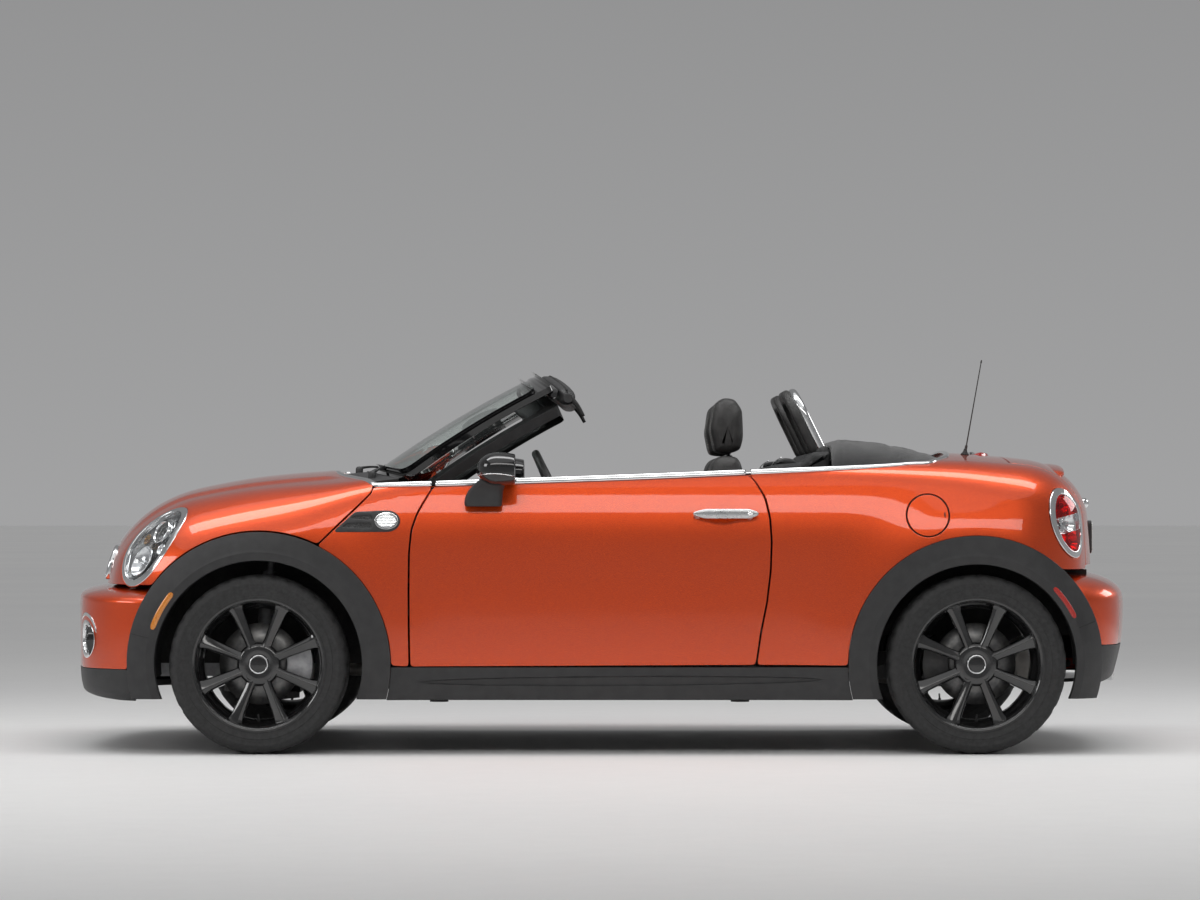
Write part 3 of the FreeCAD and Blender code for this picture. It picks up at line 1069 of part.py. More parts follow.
ra = Part.makeCylinder(34, 2 * 640, V(RAX, -640, 300), V(0, 1, 0))
for sgn in (-1, 1):
    yw = sgn * TH
    ra = ra.fuse(Part.makeCylinder(D["stub_rad"], 150, V(RAX, yw - sgn * 96, AZ), V(0, sgn, 0)))
    ra = ra.fuse(Part.makeCylinder(58, 40, V(RAX, yw - sgn * 78, AZ), V(0, sgn, 0)))
    ra = ra.fuse(caliper(RAX, yw, sgn, -1)).fuse(box(RAX - 130, RAX - 20, min(yw - sgn * 66, yw - sgn * 48), max(yw - sgn * 66, yw - sgn * 48), AZ - 22, AZ + 22))
    arm = prism_y([(RAX - 20, 270), (RAX + 20, 330), (RAX - 300, 300), (840, 268), (840, 240)], min(sgn * 540, sgn * 590), max(sgn * 540, sgn * 590))
    ra = ra.fuse(arm)
    ra = ra.fuse(Part.makeCylinder(22, 110, V(RAX + 60, sgn * 560, 290), V(0, 0, 1))).fuse(box(RAX - 10, RAX + 80, min(sgn * 540, sgn * 585), max(sgn * 540, sgn * 585), 275, 300))
feature("rear_axle", biggest(ra.removeSplitter()))

# ---------------------------------------------------------------- small things outside

a = Part.makeCylinder(15, 16, V(1293, -300, top_z(1293, -300) - 3), V(0.18, 0, 1)).fuse(Part.makeCone(3.4, 1.8, 344, V(1295, -300, top_z(1293, -300) + 8), V(0.178, 0, 1)))
zt = a.BoundBox.ZMax
print("aerial top", zt)
feature("aerial", biggest(a.removeSplitter()))

wip = []
for u0, u1, px, py in ((0.80, 0.06, -800, -560), (-0.02, -0.74, -880, 60)):
    pts = [screen(-u0, 0.075, 11), screen(-(u0 + u1) / 2, 0.062, 11), screen(-u1, 0.07, 11)]
    w = Part.makeCylinder(5, (pts[1] - pts[0]).Length, pts[0], pts[1] - pts[0]).fuse(Part.makeSphere(5, pts[1])).fuse(Part.makeCylinder(5, (pts[2] - pts[1]).Length, pts[1], pts[2] - pts[1]))
    foot = V(px, py, top_z(px, py) - 6)
    mid = screen(-(u0 + u1) / 2, 0.062, 17)
    w = w.fuse(Part.makeCylinder(6, (mid - foot).Length, foot, mid - foot)).fuse(Part.makeCylinder(14, 22, foot - V(0, 0, 8), V(0, 0, 1)))
    wip.append(biggest(w.removeSplitter()))
feature("wipers", Part.makeCompound(wip))

# ---------------------------------------------------------------- neighbours cut to each other where they meet


def part(label):
    return [o for o in PARTS if o.Label == label][0]


def fit_to(label, *others, n=1, more=()):
    """Cuts a piece by its neighbours and keeps its n largest solids."""
    o = part(label)
    s, before = o.Shape, o.Shape.Volume
    for k in [part(q).Shape for q in others] + list(more):
        s = s.cut(k)
    print("fit", label, [round(k.Volume) for k in sorted(s.Solids, key=lambda q: -q.Volume)][:6], round(before))
    o.Shape = biggest(s, n)


fit_to("aerial", "rear_body")
fit_to("cowl", "windscreen_frame")
fit_to("wipers", "cowl", n=2)
fit_to("headlights", "front_bumper", n=2)
fit_to("soft_top", "roll_hoops")
fit_to("front_subframe", "exhaust")
fit_to("engine_bay", "exhaust", "front_bumper")
fit_to("rear_floor", "rear_bumper", "arch_trims", "exhaust", more=[lid_clear])

# ---------------------------------------------------------------- checks and files

doc.recompute()
bad = []
for o in doc.Objects:
    if "Invalid" in o.State or "Error" in o.State:
        bad.append("%s is %s" % (o.Label, o.State))
for o in PARTS:
    if o.Shape.isNull() or not o.Shape.isValid() or not o.Shape.Solids:
        bad.append("%s has no valid shape" % o.Label)
if bad:
    raise RuntimeError("; ".join(bad))
os.makedirs("parts", exist_ok=True)
allbox = FreeCAD.BoundBox()
for o in PARTS:
    o.Shape.exportStep(os.path.join("parts", o.Label + ".step"))
    bb = o.Shape.BoundBox
    allbox.add(bb)
    print("%-18s solids %d  vol %.2f l  x %.0f..%.0f  y %.0f..%.0f  z %.0f..%.0f" % (o.Label, len(o.Shape.Solids), o.Shape.Volume / 1e6, bb.XMin, bb.XMax, bb.YMin, bb.YMax, bb.ZMin, bb.ZMax))
print("box", allbox, "nodes", len(PARTS), "litres", sum(o.Shape.Volume for o in PARTS) / 1e6)
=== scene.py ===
import math
import bpy
import bmesh
import numpy as np
from mathutils import Vector, Matrix, geometry, kdtree


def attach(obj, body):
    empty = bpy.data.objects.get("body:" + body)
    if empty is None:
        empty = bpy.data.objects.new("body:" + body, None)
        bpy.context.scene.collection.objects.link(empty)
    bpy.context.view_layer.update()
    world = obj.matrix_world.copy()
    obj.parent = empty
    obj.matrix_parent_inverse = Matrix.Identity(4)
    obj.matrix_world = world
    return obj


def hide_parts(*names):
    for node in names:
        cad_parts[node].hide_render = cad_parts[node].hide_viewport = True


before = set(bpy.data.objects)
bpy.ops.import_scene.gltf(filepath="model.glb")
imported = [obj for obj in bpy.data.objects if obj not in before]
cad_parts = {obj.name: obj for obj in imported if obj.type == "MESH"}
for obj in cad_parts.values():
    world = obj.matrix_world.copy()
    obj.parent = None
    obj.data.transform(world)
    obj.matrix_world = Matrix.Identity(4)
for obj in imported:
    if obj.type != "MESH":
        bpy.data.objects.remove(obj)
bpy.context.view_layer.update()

RNG = np.random.default_rng(7)
COLL = bpy.context.scene.collection

# ------------------------------------------------------------------ numbers (millimetres, as in the construction)
FAX, RAX, AZ, TH = -1177.0, 1290.0, 308.0, 730.0
ARF_OUT, ARF_IN, ARR_OUT, ARR_IN = 455.0, 356.0, 442.0, 343.0


class Spl:
    """A natural cubic spline, straight beyond its ends."""

    def __init__(self, pts):
        self.x = np.array([p[0] for p in pts], float)
        self.y = np.array([p[1] for p in pts], float)
        n = len(pts)
        h = np.diff(self.x)
        A = np.zeros((n, n))
        r = np.zeros(n)
        A[0, 0] = A[-1, -1] = 1
        for i in range(1, n - 1):
            A[i, i - 1], A[i, i], A[i, i + 1] = h[i - 1], 2 * (h[i - 1] + h[i]), h[i]
            r[i] = 6 * ((self.y[i + 1] - self.y[i]) / h[i] - (self.y[i] - self.y[i - 1]) / h[i - 1])
        self.m = np.linalg.solve(A, r)

    def __call__(self, t):
        t = np.asarray(t, float)
        x, y, m = self.x, self.y, self.m
        i = np.clip(np.searchsorted(x, t) - 1, 0, len(x) - 2)
        h = x[i + 1] - x[i]
        p, q = x[i + 1] - t, t - x[i]
        v = (m[i] * p ** 3 + m[i + 1] * q ** 3) / (6 * h) + (y[i] / h - m[i] * h / 6) * p + (y[i + 1] / h - m[i + 1] * h / 6) * q
        h0, h1 = x[1] - x[0], x[-1] - x[-2]
        s0 = (y[1] - y[0]) / h0 - h0 * (2 * m[0] + m[1]) / 6
        s1 = (y[-1] - y[-2]) / h1 + h1 * (m[-2] + 2 * m[-1]) / 6
        v = np.where(t < x[0], y[0] + s0 * (t - x[0]), v)
        return np.where(t > x[-1], y[-1] + s1 * (t - x[-1]), v)


PLAN = Spl([(-1864, 735), (-1700, 768), (-1500, 792), (-1300, 805), (-1177, 809), (-900, 812), (-600, 814), (0, 817), (600, 818),
            (1000, 816), (1290, 812), (1450, 804), (1600, 790), (1750, 772), (1864, 755)])
SECT = Spl([(150, -46), (200, -35), (300, -16), (400, -5.5), (500, -0.8), (600, 0), (700, -2.4), (740, -5), (780, -10), (820, -18),
            (860, -28.5), (900, -41), (940, -55), (980, -71), (1020, -89), (1080, -120)])
TOPC = Spl([(-1864, 760), (-1750, 814), (-1650, 849), (-1542, 881), (-1460, 905), (-1364, 926), (-1255, 945), (-1146, 958), (-1037, 967),
            (-955, 973), (-800, 988), (-500, 1008), (0, 1022), (600, 1034), (1000, 1042), (1200, 1045), (1280, 1043), (1375, 1036),
            (1498, 1025), (1580, 1014), (1650, 1000), (1750, 970), (1864, 925)])
CROWN = Spl([(-1864, 60), (-1500, 50), (-1200, 44), (-900, 36), (-400, 25), (600, 25), (1200, 32), (1500, 34), (1864, 38)])
RSIDE = Spl([(-1864, 260), (-1500, 235), (-1200, 190), (-1000, 140), (-850, 90), (-650, 60), (0, 50), (700, 50), (1000, 75), (1250, 110), (1500, 135), (1864, 160)])
RTOP = Spl([(-1864, 250), (-1500, 235), (-1200, 190), (-1000, 130), (-850, 85), (-650, 55), (0, 45), (700, 45), (1000, 60), (1250, 85), (1500, 120), (1700, 160), (1864, 180)])
NOSE = Spl([(200, -1760), (400, -1770), (560, -1774), (640, -1773), (720, -1768), (800, -1757), (900, -1738)])
TAIL = Spl([(200, 1748), (500, 1754), (620, 1753), (700, 1750), (800, 1743), (900, 1733), (1000, 1716)])
POW = 2.3
BELT = Spl([(-960, 905), (-900, 908), (-797, 914), (-600, 918), (-300, 927), (0, 937), (300, 949), (500, 958), (700, 967), (900, 978), (1000, 985), (1100, 995), (1160, 1004), (1215, 1016)])
BF_SIDE = Spl([(170, 796), (250, 816), (350, 826), (450, 829), (560, 826), (620, 820)])
BF_NOSE = Spl([(170, -1838), (230, -1856), (300, -1862), (400, -1863), (500, -1864), (560, -1862), (620, -1858)])
BR_SIDE = Spl([(170, 780), (250, 806), (350, 820), (450, 824), (560, 822), (640, 816)])
BR_TAIL = Spl([(170, 1790), (240, 1822), (300, 1840), (370, 1856), (440, 1863), (520, 1864), (580, 1858), (660, 1845)])
SCUTTLE_LINE = [(-792, 902), (-850, 843), (-905, 790), (-960, 736), (-1010, 690)]
DOOR_FRONT = [(-576, 918.5), (-604, 872), (-630, 826), (-649, 770), (-657, 690), (-658, 560), (-657, 420), (-655, 300)]
DOOR_REAR = [(530, 306), (546, 420), (566, 519), (579, 625), (583, 730), (578, 810), (562, 880), (530, 934), (507, 958.4)]
HEAD_C, HEAD_N, HEAD_UP = np.array([-1560., -655., 722.]), np.array([-0.74, -0.50, 0.45]), np.array([0.42, 0.06, 1.0])
TAIL_C, TAIL_N, TAIL_UP = np.array([1640., -716., 797.]), np.array([0.72, -0.68, 0.10]), np.array([-0.24, 0.0, 1.0])


def smooth(t):
    t = np.clip(t, 0, 1)
    return t * t * t * (t * (6 * t - 15) + 10)


def bump(x, z):
    s = 0.0
    for cx, h, r0 in ((FAX, 15.0, 430.0), (RAX, 17.0, 420.0)):
        r = np.hypot(x - cx, z - AZ)
        s = s + np.where(r < r0, h, h * np.exp(-((r - r0) / 120.0) ** 2))
    return s


def hood_rise(x, y):
    return 9.0 * (1 - smooth((np.abs(y) - (430 + 0.10 * (x + 1300))) / 75.0)) * (1 - smooth((x + 980) / 80.0)) * smooth((x + 1780) / 260.0) * (x < -900)


def pnorm(*terms):
    s = 0.0
    for t in terms:
        s = s + np.maximum(0.0, t) ** POW
    return s ** (1 / POW) - 1


def upper(P):
    x, y, z = P[..., 0], P[..., 1], P[..., 2]
    ya = np.abs(y)
    ra, rb = RSIDE(x), RTOP(x)
    return pnorm(1 + (ya - PLAN(x) - SECT(z) - bump(x, z)) / ra,
                 1 + (z - TOPC(x) + CROWN(x) * (ya / 600.0) ** 2 - hood_rise(x, y)) / rb,
                 1 + (NOSE(z) + 80 * (ya / 600.0) ** 2.2 - x) / 272.0,
                 1 + (x - TAIL(z) + 70 * (ya / 600.0) ** 2.4) / 200.0)


def bumper_f(P):
    x, y, z = P[..., 0], P[..., 1], P[..., 2]
    ya = np.abs(y)
    return pnorm(1 + (ya - BF_SIDE(z) - 0.02 * (x + 1560)) / 300.0,
                 1 + (z - 583 + 10 * (ya / 600.0) ** 2) / 46.0,
                 1 + (BF_NOSE(z) + 62 * (ya / 600.0) ** 2.2 - x) / 300.0,
                 1 + (165 - z) / 50.0)


def bumper_r(P):
    x, y, z = P[..., 0], P[..., 1], P[..., 2]
    ya = np.abs(y)
    return pnorm(1 + (ya - BR_SIDE(z) + 0.03 * (x - 1560)) / 230.0,
                 1 + (z - 628 + 8 * (ya / 600.0) ** 2) / 95.0,
                 1 + (x - BR_TAIL(z) + 60 * (ya / 600.0) ** 2.4) / 240.0,
                 1 + (215 - z) / 50.0)


def hit(f, O, D, lo=0.0, hi=1500.0, n=44):
    """Where rays from O along D leave the form f."""
    O, D = np.asarray(O, float), np.asarray(D, float)
    D = D / np.linalg.norm(D, axis=-1, keepdims=True)
    O, D = np.broadcast_arrays(O, D)
    lo = np.full(O.shape[:-1], float(lo))
    hi = np.full(O.shape[:-1], float(hi))
    for _ in range(n):
        t = 0.5 * (lo + hi)
        inside = f(O + D * t[..., None]) < 0
        lo = np.where(inside, t, lo)
        hi = np.where(inside, hi, t)
    return O + D * (0.5 * (lo + hi))[..., None]


def grad(f, P, h=0.6):
    g = np.stack([f(P + d) - f(P - d) for d in (np.array([h, 0, 0]), np.array([0, h, 0]), np.array([0, 0, h]))], -1)
    return g / np.linalg.norm(g, axis=-1, keepdims=True)


def on_side(x, z, f=upper, sgn=-1):
    x, z = np.asarray(x, float), np.asarray(z, float)
    O = np.stack([x, 0 * x, z], -1)
    return hit(f, O, np.array([0, sgn, 0.0]), 100, 1100)


def on_top(x, y, f=upper, z0=500.0):
    x, y = np.asarray(x, float), np.asarray(y, float)
    return hit(f, np.stack([x, y, 0 * x + z0], -1), np.array([0, 0, 1.0]), 0, 900)


def flip(P):
    return np.asarray(P) * np.array([1, -1, 1.0])


# ------------------------------------------------------------------ meshes

def make_obj(name, verts, faces, mats, normals=None, face_mat=None, smooth_on=True, mm=True):
    """A mesh object from points in millimetres."""
    me = bpy.data.meshes.new(name)
    v = np.asarray(verts, float) * (0.001 if mm else 1.0)
    me.from_pydata(v.tolist(), [], [tuple(int(i) for i in f) for f in faces])
    for m in (mats if isinstance(mats, (list, tuple)) else [mats]):
        me.materials.append(m)
    if face_mat is not None:
        me.polygons.foreach_set("material_index", np.asarray(face_mat, np.int32))
    if smooth_on:
        me.polygons.foreach_set("use_smooth", np.ones(len(me.polygons), bool))
    me.update()
    if normals is not None:
        nn = np.asarray(normals, float)
        nn = nn / np.maximum(1e-9, np.linalg.norm(nn, axis=1, keepdims=True))
        me.normals_split_custom_set_from_vertices(nn.tolist())
    ob = bpy.data.objects.new(name, me)
    COLL.objects.link(ob)
    return ob


def resample(P, step, closed=True):
    P = np.asarray(P, float)
    Q = np.vstack([P, P[:1]]) if closed else P
    d = np.linalg.norm(np.diff(Q, axis=0), axis=1)
    keep = np.concatenate([[True], d > 1e-6])
    Q = Q[keep]
    d = np.linalg.norm(np.diff(Q, axis=0), axis=1)
    s = np.concatenate([[0], np.cumsum(d)])
    n = max(3, int(round(s[-1] / step)))
    t = np.linspace(0, s[-1], n + 1)
    R = np.stack([np.interp(t, s, Q[:, k]) for k in range(Q.shape[1])], 1)
    return R[:-1] if closed else R


def relax(P, k, closed=True):
    P = np.asarray(P, float).copy()
    for _ in range(k):
        if closed:
            P = (np.roll(P, 1, 0) + 2 * P + np.roll(P, -1, 0)) / 4
        else:
            P[1:-1] = (P[:-2] + 2 * P[1:-1] + P[2:]) / 4
    return P


def curve2(pts, n=40):
    """A smooth run through 2-D points, as a parametric spline."""
    pts = np.asarray(pts, float)
    s = np.concatenate([[0], np.cumsum(np.linalg.norm(np.diff(pts, axis=0), axis=1))])
    if len(pts) == 2:
        t = np.linspace(0, s[-1], n)
        return np.stack([np.interp(t, s, pts[:, k]) for k in range(pts.shape[1])], 1)
    t = np.linspace(0, s[-1], n)
    return np.stack([Spl(list(zip(s, pts[:, k])))(t) for k in range(pts.shape[1])], 1)


class Dome:
    """A flat map of directions from a point: used to cut panels out of a form."""

    def __init__(self, f, center, axis):
        self.f, self.c = f, np.asarray(center, float)
        w = np.asarray(axis, float)
        self.w = w / np.linalg.norm(w)
        a = np.array([0, 1.0, 0]) if abs(self.w[1]) < 0.9 else np.array([1.0, 0, 0])
        self.u = a - self.w * a.dot(self.w)
        self.u /= np.linalg.norm(self.u)
        self.v = np.cross(self.w, self.u)

    def flat(self, P):
        d = np.asarray(P, float) - self.c
        d = d / np.linalg.norm(d, axis=-1, keepdims=True)
        a = np.arccos(np.clip(d @ self.w, -1, 1))
        x, y = d @ self.u, d @ self.v
        r = np.maximum(1e-12, np.hypot(x, y))
        return np.stack([a * x / r, a * y / r], -1)

    def lift(self, q):
        a = np.linalg.norm(q, axis=-1)
        s = np.where(a > 1e-9, np.sin(a) / np.maximum(a, 1e-9), 1.0)
        d = q[:, :1] * s[:, None] * self.u + q[:, 1:] * s[:, None] * self.v + np.cos(a)[:, None] * self.w
        return hit(self.f, self.c[None, :], d)


class Side:
    """The same for a side of the car, mapped flat in side view."""

    def __init__(self, f, sgn=-1):
        self.f, self.sgn = f, sgn

    def flat(self, P):
        P = np.asarray(P, float)
        return np.stack([P[..., 0] * -self.sgn, P[..., 2]], -1) / 1000.0

    def lift(self, q):
        q = q * 1000.0
        return on_side(q[:, 0] * -self.sgn, q[:, 1], self.f, self.sgn)


class Flat:
    """A patch given by fn(a, b) in millimetres, with a and b in metres along it. Its loops are given flat."""

    def __init__(self, fn, sign=1):
        self.fn, self.sign = fn, sign

    def lift(self, q):
        return self.fn(q[:, 0], q[:, 1])

    def normal(self, q):
        h = 1e-4
        a = self.fn(q[:, 0] + h, q[:, 1]) - self.fn(q[:, 0] - h, q[:, 1])
        b = self.fn(q[:, 0], q[:, 1] + h) - self.fn(q[:, 0], q[:, 1] - h)
        n = np.cross(a, b) * self.sign
        return n / np.maximum(1e-12, np.linalg.norm(n, axis=1, keepdims=True))


def inside(poly, q):
    """Even-odd test of points q against a closed polygon."""
    x, y = q[:, 0], q[:, 1]
    res = np.zeros(len(q), bool)
    a, b = poly, np.roll(poly, -1, 0)
    for k in range(0, len(a), 64):
        x0, y0, x1, y1 = a[k:k + 64, 0], a[k:k + 64, 1], b[k:k + 64, 0], b[k:k + 64, 1]
        c = (y0[None] > y[:, None]) != (y1[None] > y[:, None])
        dy = np.where(y1 == y0, 1e-30, y1 - y0)
        xi = x0[None] + (y[:, None] - y0[None]) * ((x1 - x0) / dy)[None]
        res ^= (np.sum(c & (x[:, None] < xi), axis=1) % 2).astype(bool)
    return res


def area2(p):
    q = np.roll(p, -1, 0)
    return 0.5 * np.sum(p[:, 0] * q[:, 1] - q[:, 0] * p[:, 1])


def panel(name, dome, loops, mats, step=12.0, edge=4.5, corner=8, r=2.0, depth=14.0, back=None, grid=0.026, rim_mat=0, back_mat=0, offset=0.0, inset=2.0):
    """A panel cut from a form. loops are closed rows of points on it, the outer one first. It gets a rounded edge of radius r,
    a return of the given depth, and a back face where back is a thickness."""
    flat_loops = []
    for i, L in enumerate(loops):
        if isinstance(dome, Flat):
            q = relax(resample(np.asarray(L, float), edge * 0.001), corner)
            if (area2(q) > 0) != (i == 0):
                q = q[::-1]
            flat_loops.append(q)
            continue
        L = relax(resample(L, edge), corner)
        if inset:
            N = grad(dome.f, L)
            t = np.roll(L, -1, 0) - np.roll(L, 1, 0)
            out = np.cross(t, N)
            out /= np.maximum(1e-9, np.linalg.norm(out, axis=1, keepdims=True))
            if (np.mean(inside(dome.flat(L), dome.flat(L + out * 3.0))) > 0.5) == (i == 0):
                out = -out
            L = L - out * inset
        q = dome.flat(L)
        if (area2(q) > 0) != (i == 0):
            q = q[::-1]
        flat_loops.append(q)
    outer = flat_loops[0]
    lo, hi = outer.min(0), outer.max(0)
    gx = np.arange(lo[0], hi[0] + grid, grid)
    gy = np.arange(lo[1], hi[1] + grid, grid * 0.866)
    X, Y = np.meshgrid(gx, gy)
    X = X + (np.arange(len(gy)) % 2)[:, None] * grid * 0.5
    q = np.stack([X.ravel(), Y.ravel()], 1)
    ok = inside(outer, q)
    for h in flat_loops[1:]:
        ok &= ~inside(h, q)
    q = q[ok]
    allb = np.vstack(flat_loops)
    kd = kdtree.KDTree(len(allb))
    for i, p in enumerate(allb):
        kd.insert((p[0], p[1], 0), i)
    kd.balance()
    far = np.array([kd.find((p[0], p[1], 0))[2] for p in q]) > grid * 0.55
    q = q[far]
    pts = np.vstack([allb, q])
    edges = []
    k = 0
    for L in flat_loops:
        n = len(L)
        edges += [(k + i, k + (i + 1) % n) for i in range(n)]
        k += n
    vco, ve, tris, ov, oe, of = geometry.delaunay_2d_cdt([Vector((p[0], p[1])) for p in pts], edges, [], 0, 1e-9)
    vq = np.array([(v.x, v.y) for v in vco])
    remap = np.full(len(pts), -1)
    for new, olds in enumerate(ov):
        for o in olds:
            remap[o] = new
    T = np.array([t for t in tris if len(t) == 3])
    cen = vq[T].mean(1)
    ok = inside(outer, cen)
    for h in flat_loops[1:]:
        ok &= ~inside(h, cen)
    T = T[ok]
    P = dome.lift(vq)
    N = dome.normal(vq) if isinstance(dome, Flat) else grad(dome.f, P)
    if offset:
        P = P + N * (offset(P)[:, None] if callable(offset) else offset)
    # triangles face outwards
    fn = np.cross(P[T[:, 1]] - P[T[:, 0]], P[T[:, 2]] - P[T[:, 0]])
    s = np.einsum("ij,ij->i", fn, N[T[:, 0]])
    T[s < 0] = T[s < 0][:, ::-1]
    verts, norms, faces, fm = [P], [N], [tuple(t) for t in T], [0] * len(T)
    base = len(P)
    if back:
        verts.append(P - N * back)
        norms.append(-N)
        faces += [(t[0] + base, t[2] + base, t[1] + base) for t in T]
        fm += [back_mat] * len(T)
        nb = base
        base += len(P)
    k = 0
    for L in flat_loops:
        n = len(L)
        idx = remap[k:k + n]
        k += n
        B, BN = P[idx], N[idx]
        t = np.roll(B, -1, 0) - np.roll(B, 1, 0)
        t /= np.maximum(1e-9, np.linalg.norm(t, axis=1, keepdims=True))
        out = np.cross(t, BN)
        out /= np.maximum(1e-9, np.linalg.norm(out, axis=1, keepdims=True))
        # the map may be a mirror image: the rim goes away from the panel
        if isinstance(dome, Flat):
            e = np.roll(L, -1, 0) - np.roll(L, 1, 0)
            qo = np.stack([e[:, 1], -e[:, 0]], 1)
            qo /= np.maximum(1e-12, np.linalg.norm(qo, axis=1, keepdims=True))
            probe = dome.lift(L + qo * 0.003) - B
            flip_it = np.mean(np.einsum("ij,ij->i", probe, out)) < 0
        else:
            probe = dome.flat(B + out * 3.0)
            flip_it = (np.mean(inside(L, probe)) > 0.5) == (L is outer)
        if flip_it:
            out = -out
        rings = [(B + out * r * 0.4142 * 0 + out * r * 0.7071 - BN * r * 0.2929, BN + out), (B + out * r - BN * r, out), (B + out * r - BN * (r + depth), out)]
        prev = idx
        first = True
        for R, RN in rings:
            cur = np.arange(base, base + n)
            verts.append(R)
            norms.append(RN)
            base += n
            a, b = prev, np.roll(prev, -1)
            c, d = cur, np.roll(cur, -1)
            Q = np.stack([a, c, d, b], 1)
            # orient by the mean normal
            allv = np.vstack(verts)
            q0 = allv[Q[:, 0]]
            fnn = np.cross(allv[Q[:, 1]] - q0, allv[Q[:, 2]] - q0)
            if np.mean(np.einsum("ij,ij->i", fnn, RN)) < 0:
                Q = Q[:, ::-1]
            faces += [tuple(f) for f in Q]
            fm += [rim_mat] * n
            prev = cur
        if back:
            cur = idx + nb
            a, b = prev, np.roll(prev, -1)
            c, d = cur, np.roll(cur, -1)
            Q = np.stack([a, c, d, b], 1)
            allv = np.vstack(verts)
            q0 = allv[Q[:, 0]]
            fnn = np.cross(allv[Q[:, 1]] - q0, allv[Q[:, 2]] - q0)
            if np.mean(np.einsum("ij,ij->i", fnn, -BN)) < 0:
                Q = Q[:, ::-1]
            faces += [tuple(f) for f in Q]
            fm += [back_mat] * n
    return make_obj(name, np.vstack(verts), faces, mats, np.vstack(norms), fm)


def mirrored(ob, name, mats=None):
    """The same piece on the other side of the car."""
    me = ob.data.copy()
    me.name = name
    n = len(me.vertices)
    co = np.empty(n * 3)
    me.vertices.foreach_get("co", co)
    co = co.reshape(-1, 3)
    had = me.has_custom_normals
    nl = None
    if had:
        vn = np.zeros((n, 3))
        ln = np.empty(len(me.loops) * 3)
        me.corner_normals.foreach_get("vector", ln)
        lv = np.empty(len(me.loops), np.int32)
        me.loops.foreach_get("vertex_index", lv)
        np.add.at(vn, lv, ln.reshape(-1, 3))
        vn[:, 1] *= -1
        nl = vn / np.maximum(1e-9, np.linalg.norm(vn, axis=1, keepdims=True))
    co[:, 1] *= -1
    faces = [tuple(reversed(p.vertices[:])) for p in me.polygons]
    fm = [p.material_index for p in me.polygons]
    sm = [p.use_smooth for p in me.polygons]
    new = make_obj(name, co, faces, list(me.materials), nl, fm, mm=False)
    new.data.polygons.foreach_set("use_smooth", sm)
    bpy.data.meshes.remove(me)
    for m in ob.modifiers:
        k = new.modifiers.new(m.name, m.type)
        for p in m.bl_rna.properties:
            if not p.is_readonly and p.identifier not in ("name",):
                try:
                    setattr(k, p.identifier, getattr(m, p.identifier))
                except (AttributeError, TypeError):
                    pass
    return new


def sweep(name, path, section, mats, closed_path=False, up=None, closed_section=True, caps=True, frames=None, normals=True, shade=True):
    """A section (rows of (a, b)) carried along a path of points. frames gives the (A, B) axes for each point; up is the B axis otherwise."""
    path = np.asarray(path, float)
    n = len(path)
    sec = [np.asarray(s, float) for s in (section if isinstance(section, list) and np.ndim(section[0]) == 2 else [section] * n)]
    if closed_path:
        t = np.roll(path, -1, 0) - np.roll(path, 1, 0)
    else:
        t = np.gradient(path, axis=0)
    t /= np.linalg.norm(t, axis=1, keepdims=True)
    if frames is None:
        B = np.broadcast_to(np.asarray(up, float), path.shape).copy()
        B = B - t * np.sum(B * t, 1, keepdims=True)
        B /= np.linalg.norm(B, axis=1, keepdims=True)
        A = np.cross(t, B)
    else:
        A, B = frames
    m = len(sec[0])
    V = np.concatenate([path[i] + sec[i][:, :1] * A[i] + sec[i][:, 1:] * B[i] for i in range(n)])
    faces = []
    for i in range(n if closed_path else n - 1):
        j = (i + 1) % n
        for k in range(m if closed_section else m - 1):
            l = (k + 1) % m
            faces.append((i * m + k, j * m + k, j * m + l, i * m + l))
    if caps and not closed_path and closed_section:
        faces.append(tuple(range(m)))
        faces.append(tuple((n - 1) * m + k for k in reversed(range(m))))
    ob = make_obj(name, V, faces, mats, smooth_on=shade)
    fix_normals(ob)
    return ob


def fix_normals(ob):
    bm = bmesh.new()
    bm.from_mesh(ob.data)
    bmesh.ops.recalc_face_normals(bm, faces=bm.faces)
    bm.to_mesh(ob.data)
    bm.free()


def sharp(ob, deg=35):
    """Sharp edges over an angle, smooth elsewhere."""
    me = ob.data
    bm = bmesh.new()
    bm.from_mesh(me)
    for e in bm.edges:
        if len(e.link_faces) == 2 and e.calc_face_angle(0) > math.radians(deg):
            e.smooth = False
    for f in bm.faces:
        f.smooth = True
    bm.to_mesh(me)
    bm.free()


def rounded(w, h, r, n=5):
    """A rounded rectangle, w by h, as a closed row of points."""
    out = []
    for cx, cy, a in ((w / 2 - r, h / 2 - r, 0), (-w / 2 + r, h / 2 - r, 90), (-w / 2 + r, -h / 2 + r, 180), (w / 2 - r, -h / 2 + r, 270)):
        for k in range(n + 1):
            t = math.radians(a + 90.0 * k / n)
            out.append((cx + r * math.cos(t), cy + r * math.sin(t)))
    return np.array(out)


def ring_section(r, n=12):
    t = np.linspace(0, 2 * math.pi, n, endpoint=False)
    return np.stack([r * np.cos(t), r * np.sin(t)], 1)


